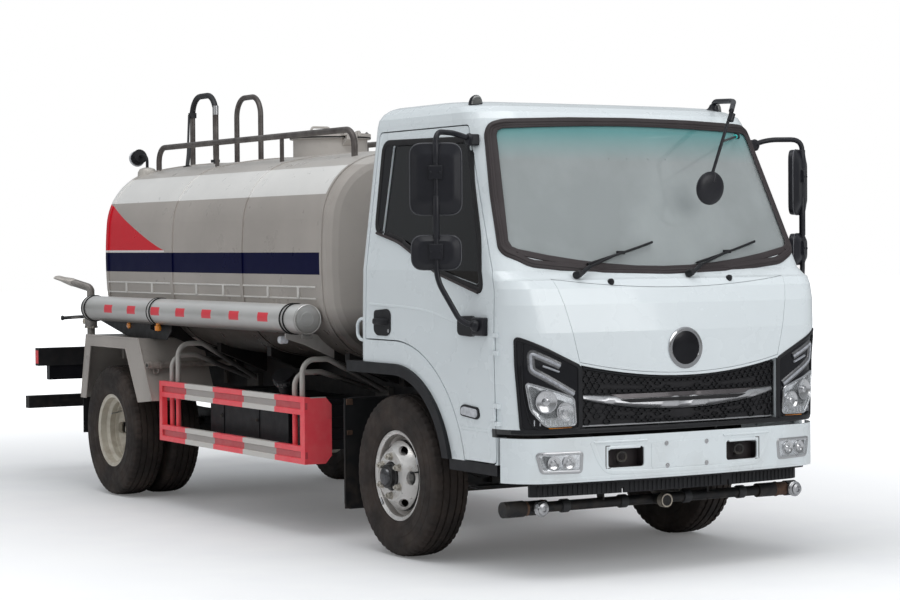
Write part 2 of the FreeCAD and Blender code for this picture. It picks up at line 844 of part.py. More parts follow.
def water_tank():
    pieces = [
        tank_length(0, tank_front_x, tank_rear_x),
        tank_head(tank_front_x, 1),
        tank_head(tank_rear_x, -1),
    ]
    shell = merged(*pieces).fuse(rings(0))
    neck_x = from_front(-size.manhole_x)
    neck_top = tank_top + size.manhole_height
    neck = Part.makeCylinder(float(size.manhole_radius), 300, vec(neck_x, 0, neck_top - 300))
    rim = Part.makeCylinder(float(size.manhole_radius) + 18, 12, vec(neck_x, 0, neck_top - 12))
    inside = float(size.manhole_radius - size.manhole_wall)
    well = Part.makeCylinder(inside, 300, vec(neck_x, 0, tank_top - 90))
    hinge = lid_hinge()
    bracket = polygon_prism(
        "y",
        [
            (hinge.x - 50, float(neck_top) - 60),
            (hinge.x + 9, float(neck_top) - 20),
            (hinge.x + 9, hinge.z + 6),
            (hinge.x - 9, hinge.z + 6),
            (hinge.x - 12, float(neck_top) - 14),
            (hinge.x - 50, float(neck_top) - 14),
        ],
        -33,
        33,
    )
    pin = Part.makeCylinder(HINGE_PIN, 104, V(hinge.x, -52, hinge.z), V(0, 1, 0))
    shell = shell.fuse([neck, rim, bracket, pin]).cut(well)
    node("tank", free_shape("Tank", solid_of(shell)))


def manhole_lid():
    """Dished lid with two hinge ears ahead of the neck."""
    neck_x = from_front(-size.manhole_x)
    base = tank_top + size.manhole_height + size.seat_gap
    hinge = lid_hinge()
    radius = float(size.manhole_radius) + 20
    wall = float(size.lid_wall)
    disc = Part.makeCylinder(radius, wall, vec(neck_x, 0, base))
    dome = Part.makeCone(radius - 45, radius - 80, 14, vec(neck_x, 0, base + wall))
    grip = tube(
        [
            (neck_x - 120, -60, base + wall + 4),
            (neck_x - 120, -60, base + wall + 50),
            (neck_x - 120, 60, base + wall + 50),
            (neck_x - 120, 60, base + wall + 4),
        ],
        7,
        18,
    )
    hinge_x = hinge.x
    ears = []
    for y in (-50, 34):
        ear = polygon_prism(
            "y",
            [
                (float(neck_x) + radius - 20, float(base) + 4),
                (hinge_x + 12, float(base) + 4),
                (hinge_x + 12, float(base) + 30),
                (float(neck_x) + radius - 20, float(base) + wall + 6),
            ],
            y,
            y + 16,
        )
        ears.append(ear.cut(Part.makeCylinder(HINGE_PIN + 0.1, 40, V(hinge_x, y - 5, hinge.z), V(0, 1, 0))))
    node("manhole_lid", free_shape("ManholeLid", merged(disc, dome, grip, *ears)))


# What the tank carries


def clear_of_tank(shape):
    return shape.cut(around_tank_shape)


around_tank_shape = around_tank()


def tank_cradle():
    """Two long bearers on the rails with saddles that follow the tank's underside."""
    front, back = tank_front_x - 40, tank_rear_x + 20
    pieces = []
    for low, high in ((-size.rail_outer_y, -flange_y), (flange_y, size.rail_outer_y)):
        pieces.append(polygon_prism("z", [(back, low), (front, low), (front, high), (back, high)], size.rail_top, 900))
    for offset in (size.tank_front + 120, 1800, 2440, size.tank_rear - 120):
        middle = float(front_axle_x - offset)
        saddle = [(-640, 880), (-640, 990), (640, 990), (640, 880), (330, 752), (-330, 752)]
        pieces.append(polygon_prism("x", saddle, middle - 25, middle + 25))
    reach = float(size.tube_y)
    under_tube = float(size.tube_z - size.tube_radius - size.seat_gap)
    for offset in (size.tube_front + 160, 2730):
        middle = float(front_axle_x - offset)
        for side in (-1, 1):
            outline = [
                (side * (reach + 40), under_tube),
                (side * (reach + 40), under_tube - 26),
                (side * (reach - 70), under_tube - 60),
                (side * 340, 760),
                (side * 340, 860),
                (side * (reach - 190), under_tube - 20),
                (side * (reach - 90), under_tube),
            ]
            pieces.append(polygon_prism("x", outline, middle - 5, middle + 5))
    cradle = clear_of_tank(merged(*pieces))
    node("tank_cradle", free_shape("TankCradle", solid_of(cradle)))


def hose_tubes():
    """Long storage tubes for hoses on both sides of the tank, open at the front."""
    y, z = size.tube_y, size.tube_z
    length = size.tube_rear - size.tube_front
    start = from_front(-size.tube_rear)
    outside = rod("TubeOutside", "x", (start, -y, z), length, size.tube_radius)
    hollow = rod("TubeHollow", "x", (start + 4, -y, z), length, size.tube_radius - size.tube_wall)
    bands = []
    for number, offset in enumerate((size.tube_rear, 2700, size.tube_front + 42)):
        band = rod(f"TubeBand{number}", "x", (from_front(-offset), -y, z), 42, size.tube_radius + 3)
        bands.append(band)
    tube_body = cut("HoseTube", fuse("TubeAndBands", outside, *bands), hollow)
    brackets = []
    for offset in (1100, 1980, 2850, 3520):
        middle = float(from_front(-offset))
        foot = polygon_prism("y", [(middle - 20, float(z) - 22), (middle + 20, float(z) - 22),
                                   (middle + 20, float(z) + 22), (middle - 20, float(z) + 22)], -float(y), -760)
        foot = clear_of_tank(foot).cut(
            Part.makeCylinder(float(size.tube_radius) - 1, 60, V(middle - 30, -float(y), float(z)), V(1, 0, 0))
        )
        brackets.append(free_shape(f"TubeBracket{offset}", solid_of(foot)))
    hinge_x, hinge_z = cap_hinge()
    ear = polygon_prism(
        "y",
        [
            (hinge_x - 34, hinge_z + 16),
            (hinge_x - 34, hinge_z - 2),
            (hinge_x - 4, hinge_z - 8),
            (hinge_x + 7, hinge_z - 6),
            (hinge_x + 7, hinge_z + 6),
            (hinge_x - 7, hinge_z + 7),
            (hinge_x - 7, hinge_z + 16),
        ],
        -float(y) - 12,
        -float(y) + 12,
    )
    pin = Part.makeCylinder(4, 64, V(hinge_x, -float(y) - 32, hinge_z), V(0, 1, 0))
    right = fuse("HoseTubeRight", tube_body, *brackets, free_shape("CapHinge", ear.fuse(pin)))
    node("hose_tubes", together("HoseTubes", right, mirrored("HoseTubeLeft", right)))


def cap_hinge():
    """X and Z of the pin below a tube's front end on which its cap swings."""
    return float(from_front(-size.tube_front)) + 5, float(size.tube_z - size.tube_radius) - 14


def tube_caps():
    y, z = float(size.tube_y), float(size.tube_z)
    hinge_x, hinge_z = cap_hinge()
    face = float(from_front(-size.tube_front)) + float(size.seat_gap)
    disc = Part.makeCylinder(float(size.tube_radius) + 3, 9, V(face, -y, z), V(1, 0, 0))
    rim = Part.makeCylinder(float(size.tube_radius) - 12, 4, V(face + 9, -y, z), V(1, 0, 0))
    ears = []
    for low in (-y - 28, -y + 14):
        ears.append(Part.makeBox(9, 14, 34, V(face, low, hinge_z - 8)))
    cap = merged(disc, rim, *ears).cut(Part.makeCylinder(4.1, 80, V(hinge_x, -y - 40, hinge_z), V(0, 1, 0)))
    right = free_shape("TubeCapRight", solid_of(cap))
    node("tube_cap_right", right)
    node("tube_cap_left", mirrored("TubeCapLeft", right))


def top_rails():
    """Hand rails along both sides of the tank's top."""
    rails = []
    y = 500
    high = 2090
    rear, front = from_front(-3580), from_front(-1060)
    for side in (-1, 1):
        bar = tube([(rear, side * y, 1900), (rear, side * y, high), (front, side * y, high), (front, side * y, 1900)],
                   size.hand_rail_radius, 90)
        posts = []
        for offset in (2740, 1900):
            posts.append(Part.makeCylinder(12, high - 1900, vec(from_front(-offset), side * y, 1900)))
        rails.append(solid_of(clear_of_tank(merged(bar, *posts))))
    node("top_rails", free_shape("TopRails", Part.makeCompound(rails)))


def ladder():
    """Ladder behind the tank whose two rails bend over onto its top."""
    y = 155
    back = tank_rear_x - size.head_bulge - 45
    front = from_front(-3490)
    radius = size.hand_rail_radius
    pieces = []
    for side in (-1, 1):
        pieces.append(tube([(back, side * y, 905), (back, side * y, 2425), (front, side * y, 2425),
                            (front, side * y, 1940)], radius, 120))
        for z in (1040, 1800):
            pieces.append(Part.makeCylinder(11, 190, vec(back, side * y, z), V(1, 0, 0)))
    for step in range(5):
        pieces.append(Part.makeCylinder(11, 2 * y, vec(back, -y, 960 + 250 * step), V(0, 1, 0)))
    node("ladder", free_shape("Ladder", solid_of(clear_of_tank(merged(*pieces)))))


def work_lamp():
    """Lamp on a bent bracket at the tank's upper rear corner."""
    base = V(float(from_front(-3590)), -575, 1925)
    arm = tube([(base.x, base.y, base.z - 40), (base.x, base.y, 2045), (base.x - 120, base.y, 2045)], 9, 40)
    foot = Part.makeCylinder(26, 60, base - V(0, 0, 40))
    head = Part.makeCylinder(42, 70, V(base.x - 100, base.y, 2045), V(-1, 0, -0.25))
    shape = clear_of_tank(merged(arm, foot, head))
    node("work_lamp", free_shape("WorkLamp", solid_of(shape)))


# Guards, fenders and bars


def side_guards():
    """Two slotted bars with end plates on bent tubes that reach in to the rails."""
    outer = -float(size.guard_y)
    front, rear = float(from_front(-size.guard_front)), float(from_front(-size.guard_rear))
    top, bottom, bar = float(size.guard_top_z), float(size.guard_bottom_z), float(size.guard_bar)
    pieces = []
    for low in (bottom, top - bar):
        channel = [
            (outer, low), (outer, low + 26), (outer + 10, low + 30), (outer + 10, low + bar - 30),
            (outer, low + bar - 26), (outer, low + bar), (outer + 30, low + bar), (outer + 30, low),
        ]
        pieces.append(polygon_prism("x", channel, rear + 30, front - 3))
    plate = [(outer, bottom), (outer, top), (outer + 120, top), (outer + 155, top - 40),
             (outer + 155, bottom + 40), (outer + 120, bottom)]
    pieces.append(polygon_prism("x", plate, front - 4, front))
    pieces.append(polygon_prism("z", [(front - 45, outer), (front, outer), (front, outer + 4), (front - 45, outer + 4)],
                                bottom, top))
    pieces.append(polygon_prism("z", [(rear, outer), (rear + 38, outer), (rear + 38, outer + 32), (rear, outer + 32)],
                                bottom, top))
    for offset, reach in ((2500, 930), (960, 900)):
        for shift, height in ((0, reach), (-85, reach - 70)):
            x = float(from_front(-offset)) + shift
            pieces.append(tube([(x, outer + 52, bottom + 20), (x, outer + 52, height), (x, -720, height),
                                (x, -368, 715)], 14, 70))
        x = float(from_front(-offset))
        pieces.append(polygon_prism("z", [(x - 110, outer + 29), (x + 25, outer + 29), (x + 25, outer + 60),
                                          (x - 110, outer + 60)], top - bar + 10, top - 10))
        pieces.append(polygon_prism("z", [(x - 110, outer + 29), (x + 25, outer + 29), (x + 25, outer + 60),
                                          (x - 110, outer + 60)], bottom + 10, bottom + bar - 10))
        pieces.append(polygon_prism("y", [(x - 115, 640), (x + 30, 640), (x + 30, 745), (x - 115, 745)],
                                    -380, -float(size.rail_outer_y + size.seat_gap)))
    right = merged(*pieces)
    left = right.mirror(V(0, 0, 0), V(0, 1, 0))
    node("side_guards", free_shape("SideGuards", Part.makeCompound([solid_of(right), solid_of(left)])))


def rear_fenders():
    """Bent sheet over each pair of rear wheels, with a turned down outer face."""
    top = float(size.fender_top_z)
    outer = -float(size.fender_y)
    wall = float(size.fender_wall)
    x = float(from_front(0))
    outside = [(x - 3740, 563), (x - 3646, top), (x - 2850, top), (x - 2660, 598), (x - 2855, 580),
               (x - 3040, top - 62), (x - 3580, top - 62), (x - 3665, 563)]
    sheet_outline = [(x - 3740, 563), (x - 3646, top), (x - 2850, top), (x - 2660, 598),
                     (x - 2660 - wall, 598), (x - 2850 - wall / 2, top - wall), (x - 3646 + wall / 2, top - wall),
                     (x - 3740 + wall, 563)]
    skirt = polygon_prism("y", outside, outer, outer + wall)
    cover = polygon_prism("y", sheet_outline, outer, -560)
    stays = []
    rail_y = -float(size.rail_outer_y + size.seat_gap)
    for offset in (3600, 2950):
        middle = x - offset
        low_y, high_y = -745, rail_y
        stays.append(Part.makeBox(40, 12, 146, V(middle - 20, low_y, top - wall - 146)))
        stays.append(Part.makeBox(40, high_y - low_y, 26, V(middle - 20, low_y, top - wall - 146)))
        stays.append(Part.makeBox(40, 12, 160, V(middle - 20, high_y - 12, top - wall - 280)))
    right = clear_of_tank(merged(skirt, cover, *stays))
    left = right.mirror(V(0, 0, 0), V(0, 1, 0))
    node("rear_fenders", free_shape("RearFenders", Part.makeCompound([solid_of(right), solid_of(left)])))


def mudguards():
    """Flat flaps behind the rear wheels and upright guards behind the front wheels."""
    x = from_front(-3740)
    flap = block("RearFlap", (x - 6.3, x - 0.3), (-950, -600), (345, 600))
    guard_x = from_front(-478)
    guard = block("FrontGuard", (guard_x - 8, guard_x), (-885, -600), (185, 730))
    arm = rod("GuardArm", "y", (guard_x - 14, -700, 665), 350 - size.seat_gap, 12)
    guard_piece = fuse("FrontGuardRight", guard, arm)
    node(
        "mudguards",
        together("Mudguards", flap, mirrored("RearFlapLeft", flap), guard_piece,
                 mirrored("FrontGuardLeft", guard_piece)),
    )


def rear_bars():
    """Tail beam across the rail ends and the lower under-run bar."""
    half = size.tail_half_width
    depth = size.tail_bar_depth
    beam = block("TailBeam", (rail_back_x - depth, rail_back_x), (-half, half), (715, 830))
    end_x = rear_axle_x - size.rear_overhang
    bar = block("UnderRunBar", (end_x, end_x + depth), (-half, half), (430, 510))
    pieces = [beam, bar]
    for side, low in (("Right", -size.rail_outer_y), ("Left", flange_y)):
        outline = [
            (rail_back_x - depth, 715),
            (rail_back_x, 715),
            (rail_back_x, 560),
            (end_x + depth, 432),
            (end_x + depth, 508),
            (rail_back_x - depth, 600),
        ]
        pieces.append(padded("UnderRunArm" + side, "y", outline, low, low + size.rail_flange))
    pieces.append(tow_jaw())
    node("rear_bars", fuse("RearBars", *pieces))


JAW_BORE = 17
JAW_REACH = 95
JAW_HALF = 45


def tow_jaw():
    """Two plates behind the tail beam with one upright bore for a tow pin."""
    face = rail_back_x - size.tail_bar_depth
    x = face - JAW_REACH
    outline = [(face + 1, -JAW_HALF), (x, -JAW_HALF), (x - 30, -20), (x - 30, 20), (x, JAW_HALF), (face + 1, JAW_HALF)]
    lower = padded("JawLower", "z", outline, 735, 753)
    upper = padded("JawUpper", "z", outline, 800, 818)
    bore = rod("JawBore", "z", (x, Length(0), Length(700)), 150, JAW_BORE)
    return cut("TowJaw", fuse("JawPlates", lower, upper), bore)


# Equipment on the rails


def soft_box(name, x, y, z, rounding):
    """Box with rounded long edges along the truck."""
    body = padded(
        name,
        "x",
        [(y[0], z[0]), (y[1], z[0]), (y[1], z[1]), (y[0], z[1])],
        x[0],
        x[1],
        rounding=rounding,
    )
    return body


def fuel_tank():
    rail_y = -float(size.rail_outer_y + size.seat_gap)
    body = soft_box("FuelTankBody", (from_front(-2240), from_front(-1280)), (-790, -410), (400, 690), 55)
    x = float(from_front(-1440))
    neck_start = V(x, -690, 660)
    direction = V(0.35, -0.45, 0.82).normalize()
    neck = free_shape("FillerNeck", Part.makeCylinder(46, 130, neck_start, direction))
    collar_start = neck_start + direction * 130
    collar = free_shape("FillerCap", Part.makeCylinder(58, 44, collar_start, direction))
    straps = []
    for number, offset in enumerate((2080, 1640)):
        middle = from_front(-offset)
        straps.append(soft_box(f"TankStrap{number}", (middle - 20, middle + 20), (-794, -406), (396, 694), 58))
        straps.append(block(f"TankArm{number}", (middle - 25, middle + 25), (Length(-420), Length(rail_y)), (590, 640)))
    node("fuel_tank", fuse("FuelTank", body, neck, collar, *straps))


def battery_box():
    rail_y = float(size.rail_outer_y + size.seat_gap)
    body = soft_box("BatteryCase", (from_front(-2180), from_front(-1560)), (420, 760), (430, 700), 25)
    arms = []
    for number, offset in enumerate((2100, 1650)):
        middle = from_front(-offset)
        arms.append(block(f"BatteryArm{number}", (middle - 25, middle + 25), (Length(rail_y), Length(430)), (600, 650)))
    node("battery_box", fuse("BatteryBox", body, *arms))


def air_box():
    """Ribbed box on the right rail ahead of the fuel tank."""
    rail_y = -float(size.rail_outer_y + size.seat_gap)
    front, rear = from_front(-975), from_front(-1235)
    pieces = [soft_box("AirBoxBody", (rear, front), (-780, -430), (430, 690), 22)]
    for number in range(4):
        low = 455 + 60 * number
        pieces.append(soft_box(f"AirBoxRib{number}", (rear - 6, front + 6), (-786, -424), (low, low + 22), 10))
    middle = (front + rear) / 2
    pieces.append(block("AirBoxArm", (middle - 30, middle + 30), (Length(-432), Length(rail_y)), (600, 650)))
    node("air_box", fuse("AirBox", *pieces))


def muffler():
    """Exhaust pipe from the engine, muffler and tail pipe on the left side."""
    x = from_front(-1020)
    body = rod("MufflerBody", "x", (x - 400, 520, 500), 500, 95)
    inlet = tube([(from_front(-380), 240, 540), (from_front(-660), 240, 540), (from_front(-800), 520, 500),
                  (x + 90, 520, 500)], 28, 70)
    inlet = inlet.cut(Part.makeBox(60, 120, 120, vec(from_front(-425), 180, 480)))
    outlet = tube([(x - 395, 520, 500), (x - 470, 520, 500), (x - 470, 800, 470)], 28, 60)
    arm = block("MufflerArm", (x - 180, x - 130), (size.rail_outer_y + size.seat_gap, Length(450)), (600, 640))
    strap = block("MufflerStrap", (x - 180, x - 130), (Length(420), Length(500)), (560, 640))
    node("muffler", fuse("Muffler", body, free_shape("ExhaustInlet", inlet), free_shape("ExhaustOutlet", outlet),
                         arm, strap))


def water_pump():
    """Pump beside the gearbox shaft with its suction pipe from the tank's underside."""
    x = float(from_front(-1720))
    casing = Part.makeCylinder(105, 120, V(x, 80, 560), V(0, 1, 0))
    foot = polygon_prism("y", [(x - 70, 640), (x + 70, 640), (x + 70, 735), (x - 70, 735)], 120, 343)
    suction = tube([(x, 140, 560), (x - 210, 140, 560), (x - 210, 140, 900)], 38, 90)
    shape = clear_of_tank(merged(casing, foot, suction))
    node("water_pump", free_shape("WaterPump", solid_of(shape)))


def spray_pipes():
    """Pipe from the pump back below the cross members, and across the rails to the two nozzles at the rear."""
    radius = float(size.pipe_radius)
    x = float(from_front(0))
    rear_x = x - 3850
    pump_y, trunk_y = 200 + float(size.seat_gap), 258
    low, high = float(rail_bottom) - radius - 11, float(size.rail_top) + radius + float(size.seat_gap)
    run = tube([(x - 1720, pump_y, low), (x - 1720, trunk_y, low), (rear_x, trunk_y, low),
                (rear_x, trunk_y, high)], radius, 34)
    cross = Part.makeCylinder(radius, 1560, V(rear_x, -780, high), V(0, 1, 0))
    pieces = [run, cross]
    for side in (-1, 1):
        riser = tube([(rear_x, side * 770, high), (rear_x, side * 850, high), (rear_x, side * 850, 1230),
                      (rear_x - 75, side * 925, 1262)], radius, 34)
        valve = Part.makeCylinder(38, 80, V(rear_x, side * 850, 985))
        lever = tube([(rear_x, side * 850, 1045), (rear_x - 30, side * 890, 1052), (rear_x - 70, side * 1010, 1046)],
                     9, 20)
        start = V(rear_x - 75, side * 925, 1262)
        flow = V(-75, side * 75, 32).normalize()
        pieces.extend([riser, valve, lever, duckbill(start, flow, radius)])
    shape = merged(*pieces)
    node("spray_pipes", free_shape("SprayPipes", solid_of(shape)))


def duckbill(start, flow, radius):
    """Nozzle that flattens from a round pipe to a wide slot."""
    across = flow.cross(V(0, 0, 1)).normalize()
    upward = across.cross(flow).normalize()
    wires = []
    for reach, wide, thin in ((-8, radius + 0.5, radius - 0.5), (35, radius + 4, radius - 4), (110, 62, 9)):
        centre = start + flow * reach
        ellipse = Part.Ellipse(centre + across * wide, centre + upward * thin, centre)
        wires.append(Part.Wire(ellipse.toShape()))
    return Part.makeLoft(wires, True, True)


HANGER_INNER = 292


def front_spray_bar():
    """Pipe below the bumper with a nozzle at each end and one in the middle."""
    x, z = from_front(880), 305
    bar = rod("SprayBar", "y", (x, -640, z), 1280, size.pipe_radius)
    pieces = [bar]
    for side, sign in (("Right", -1), ("Left", 1)):
        low = min(sign * 600, sign * 705)
        pieces.append(rod("BarCollar" + side, "y", (x, Length(low), z), 105, 33))
        low = min(sign * 705, sign * 820)
        pieces.append(rod("BarNozzle" + side, "y", (x, Length(low), z), 115, 27))
        low = min(sign * 770, sign * 828)
        pieces.append(rod("BarTip" + side, "y", (x, Length(low), z), 58, 36))
        low, high = sorted((sign * HANGER_INNER, sign * (HANGER_INNER + 8)))
        hanger = [
            (rail_nose_x - 60, rail_bottom - size.seat_gap),
            (rail_nose_x - 10, rail_bottom - size.seat_gap),
            (x + 20, z + 30),
            (x + 20, z - 20),
            (x - 20, z - 20),
            (x - 30, z + 30),
        ]
        pieces.append(padded("BarHanger" + side, "y", hanger, low, high))
    pieces.append(rod("MiddleNozzle", "x", (x, Length(0), z), 92, size.pipe_radius))
    pieces.append(rod("MiddleTip", "x", (x + 70, Length(0), z), 30, 32))
    node("front_spray_bar", fuse("FrontSprayBar", *pieces))


# Cab surfaces: horizontal sections of the outer skin


def blend_value(z, low_z, high_z, low, high):
    share = (z - float(low_z)) / (float(high_z) - float(low_z))
    return float(low) + (float(high) - float(low)) * min(max(share, 0), 1)


WIDEST_Z = 1010
CAB_FOOT_Z = 440
ROOF_STEPS = (20, 40, 60, 78, 90)
NOSE_STEPS = (22, 44, 62, 78, 90)


def cab_section(z, inset):
    """Front, half width, corner radius, front radius and rear of the skin at one height below the roof."""
    if z <= float(size.nose_top_z):
        front = float(size.nose_x)
    elif z <= float(size.cowl_z):
        share = (z - float(size.nose_top_z)) / float(size.cowl_z - size.nose_top_z)
        front = float(size.nose_x) - float(size.cowl_setback) * (1 - math.sqrt(max(0, 1 - share**2)))
    elif z <= float(size.screen_base_z):
        front = float(size.nose_x) - blend_value(z, size.cowl_z, size.screen_base_z, size.cowl_setback,
                                                 size.screen_base_setback)
    else:
        front = float(size.nose_x) - blend_value(z, size.screen_base_z, size.header_z, size.screen_base_setback,
                                                 size.header_setback)
    if z <= WIDEST_Z:
        half = blend_value(z, size.cab_sill_z, WIDEST_Z, size.cab_foot_half_width, size.cab_half_width)
    elif z <= float(size.screen_base_z):
        half = blend_value(z, WIDEST_Z, size.screen_base_z, size.cab_half_width, size.cab_belt_half_width)
    else:
        half = blend_value(z, size.screen_base_z, size.header_z, size.cab_belt_half_width, size.cab_header_half_width)
    if z <= float(size.screen_base_z):
        corner = blend_value(z, size.nose_top_z, size.screen_base_z, size.nose_corner, size.belt_corner)
        plan = blend_value(z, size.nose_top_z, size.screen_base_z, size.nose_radius, size.screen_radius)
    else:
        corner = blend_value(z, size.screen_base_z, size.header_z, size.belt_corner, size.header_corner)
        plan = float(size.screen_radius)
    return front - inset, half - inset, corner - inset, plan - inset, -float(size.cab_rear) + inset


def plan_wire(z, front, half, corner, plan, rear, rear_corner):
    """Rounded plan outline with a large arc at the front; front and rear count from the front axle."""
    origin = float(front_axle_x)
    arc_x = front - plan
    corner_y = half - corner
    corner_x = arc_x + math.sqrt((plan - corner) ** 2 - corner_y**2)
    way = V(corner_x - arc_x, corner_y, 0).normalize()
    touch = V(arc_x, 0, 0) + way * plan
    middle_way = (way + V(0, 1, 0)).normalize()
    corner_mid = V(corner_x, corner_y, 0) + middle_way * corner
    rear_mid = V(rear + rear_corner * (1 - math.sqrt(0.5)), half - rear_corner * (1 - math.sqrt(0.5)), 0)

    def spot(x, y):
        return V(origin + x, y, z)

    left = [
        Part.Arc(spot(touch.x, touch.y), spot(corner_mid.x, corner_mid.y), spot(corner_x, half)).toShape(),
        Part.makeLine(spot(corner_x, half), spot(rear + rear_corner, half)),
        Part.Arc(spot(rear + rear_corner, half), spot(rear_mid.x, rear_mid.y), spot(rear, half - rear_corner)).toShape(),
    ]
    right = [
        Part.Arc(spot(rear, -half + rear_corner), spot(rear_mid.x, -rear_mid.y),
                 spot(rear + rear_corner, -half)).toShape(),
        Part.makeLine(spot(rear + rear_corner, -half), spot(corner_x, -half)),
        Part.Arc(spot(corner_x, -half), spot(corner_mid.x, -corner_mid.y), spot(touch.x, -touch.y)).toShape(),
    ]
    nose = Part.Arc(spot(touch.x, -touch.y), spot(front, 0), spot(touch.x, touch.y)).toShape()
    back = Part.makeLine(spot(rear, half - rear_corner), spot(rear, -half + rear_corner))
    return Part.Wire([nose] + left + [back] + right)


def cab_wires(inset):
    """Sections of the cab's skin from the foot to the roof, drawn inwards by an inset."""
    rear_corner = float(size.rear_corner) - inset
    heights = [CAB_FOOT_Z, float(size.nose_top_z)]
    climb = float(size.cowl_z - size.nose_top_z)
    heights += [float(size.nose_top_z) + climb * math.sin(math.radians(angle)) for angle in NOSE_STEPS]
    heights += [float(size.screen_base_z), float(size.header_z)]
    wires = []
    for z in heights:
        front, half, corner, plan, rear = cab_section(z, inset)
        wires.append(plan_wire(z, front, half, corner, plan, rear, rear_corner))
    front, half, corner, plan, rear = cab_section(float(size.header_z), inset)
    roof = float(size.roof_z - size.header_z) - inset
    for angle in ROOF_STEPS:
        turn = math.radians(angle)
        roll = 1 - math.cos(turn)
        z = float(size.header_z) + roof * math.sin(turn)
        side = float(size.roof_roll) * roll
        wires.append(plan_wire(z, front - float(size.roof_slope) * roll, half - side, corner, plan,
                               rear + side * 0.6, rear_corner))
    return wires


skins = {}


def cab_skin(inset):
    """Everything inside the cab's outer skin moved inwards by an inset."""
    inset = float(inset)
    if inset not in skins:
        skins[inset] = Part.makeLoft(cab_wires(inset), True, True)
    return skins[inset]


def layer(outer_inset, inner_inset):
    """The part of the cab's wall between two depths below its outer skin."""
    return cab_skin(outer_inset).cut(cab_skin(inner_inset))


def closed_outline(axis, at, corners, radius):
    """Closed wire of lines with rounded corners in the plane square to an axis."""
    spots = []
    for first, second in corners:
        first, second = float(first), float(second)
        spots.append(V(at, first, second) if axis == "x" else V(first, at, second))
    start = (spots[0] + spots[1]) * 0.5
    ring = [start] + spots[1:] + spots[:1] + [start]
    return Part.Wire(rounded_path([(point.x, point.y, point.z) for point in ring], radius))


def swept_face(wire, axis, distance):
    return Part.Face(wire).extrude(AXIS[axis] * distance)


def arch_region(radius, rear, low_z=300):
    """Side view area under an arch: a quarter round ahead of the axle and level behind it, across the truck."""
    radius = float(radius)
    x, z = float(front_axle_x), float(size.arch_centre_z)
    top = V(x, -1200, z + radius)
    end = V(x + radius, -1200, z)
    middle = V(x + radius * math.sqrt(0.5), -1200, z + radius * math.sqrt(0.5))
    wire = Part.Wire(
        [
            Part.Arc(top, middle, end).toShape(),
            Part.makeLine(end, V(x + radius, -1200, low_z)),
            Part.makeLine(V(x + radius, -1200, low_z), V(x + rear, -1200, low_z)),
            Part.makeLine(V(x + rear, -1200, low_z), V(x + rear, -1200, z + radius)),
            Part.makeLine(V(x + rear, -1200, z + radius), top),
        ]
    )
    return Part.Face(wire).extrude(V(0, 2400, 0))


BELT_Z = 1275
PILLAR_TOP_X = 540
PILLAR_BELT_X = 880


def door_region(gap):
    """Side view area of a door, made smaller by a gap, across the whole truck."""
    x = float(front_axle_x)
    front, rear, top = float(size.door_front) - gap, -float(size.door_rear) + gap, float(size.door_top_z) - gap
    sill = float(size.cab_sill_z) + gap
    corners = [(x + front, sill), (x + front, BELT_Z), (x + PILLAR_BELT_X - gap, BELT_Z + 60),
               (x + PILLAR_TOP_X - gap, top), (x + rear, top), (x + rear, sill)]
    wire = closed_outline("y", -1200, corners, 25)
    prism = swept_face(wire, "y", 2400)
    return prism.cut(arch_region(float(size.door_arch_radius) + gap, -600))


def right_half():
    return Part.makeBox(4000, 1500, 4000, V(-2000 + float(front_axle_x), -1500, 0))


def window_region(gap):
    """Side view area of a door's window."""
    x = float(front_axle_x)
    corners = [
        (x - 150 + gap, 1530 + gap),
        (x + 60, 1490 + gap),
        (x + 430, 1362 + gap),
        (x + 770 - gap, 1300 + gap),
        (x + 745 - gap, 1420),
        (x + 540 - gap, 1962 - gap),
        (x - 130 + gap, 1962 - gap),
    ]
    return swept_face(closed_outline("y", -1200, corners, 22), "y", 2400)


def windscreen_region(gap):
    """Front view area of the windscreen ahead of the seats."""
    start = float(front_axle_x) + 450
    bottom, top = 790 - gap, 722 - gap
    foot, foot_mid = 1462 + gap, 1370 + gap
    head, head_mid = 2016 - gap, 2036 - gap
    lower = Part.Arc(V(start, -bottom + 40, foot - 12), V(start, 0, foot_mid), V(start, bottom - 40, foot - 12))
    upper = Part.Arc(V(start, top - 40, head + 3), V(start, 0, head_mid), V(start, -top + 40, head + 3))
    wire = Part.Wire(
        [
            lower.toShape(),
            Part.Arc(V(start, bottom - 40, foot - 12), V(start, bottom - 10, foot + 2),
                     V(start, bottom, foot + 34)).toShape(),
            Part.makeLine(V(start, bottom, foot + 34), V(start, top, head - 44)),
            Part.Arc(V(start, top, head - 44), V(start, top - 12, head - 12), V(start, top - 40, head + 3)).toShape(),
            upper.toShape(),
            Part.Arc(V(start, -top + 40, head + 3), V(start, -top + 12, head - 12), V(start, -top, head - 44)).toShape(),
            Part.makeLine(V(start, -top, head - 44), V(start, -bottom, foot + 34)),
            Part.Arc(V(start, -bottom, foot + 34), V(start, -bottom + 10, foot + 2),
                     V(start, -bottom + 40, foot - 12)).toShape(),
        ]
    )
    return swept_face(wire, "x", 1000)


def rear_window_region(gap):
    start = float(front_axle_x) - 500
    half, low, high = 430 - gap, 1480 + gap, 1860 - gap
    wire = closed_outline("x", start, [(-half, low), (half, low), (half, high), (-half, high)], 50)
    return swept_face(wire, "x", 300)


def grille_region(gap):
    """Front view area of the grille between the headlamps."""
    start = float(front_axle_x) + 700
    low, side, end_top, middle_top = 668 + gap, 548 - gap, 948 - gap, 888 - gap
    wire = Part.Wire(
        [
            Part.makeLine(V(start, -side, low), V(start, side, low)),
            Part.makeLine(V(start, side, low), V(start, side, end_top)),
            Part.Arc(V(start, side, end_top), V(start, 0, middle_top), V(start, -side, end_top)).toShape(),
            Part.makeLine(V(start, -side, end_top), V(start, -side, low)),
        ]
    )
    return swept_face(wire, "x", 700)


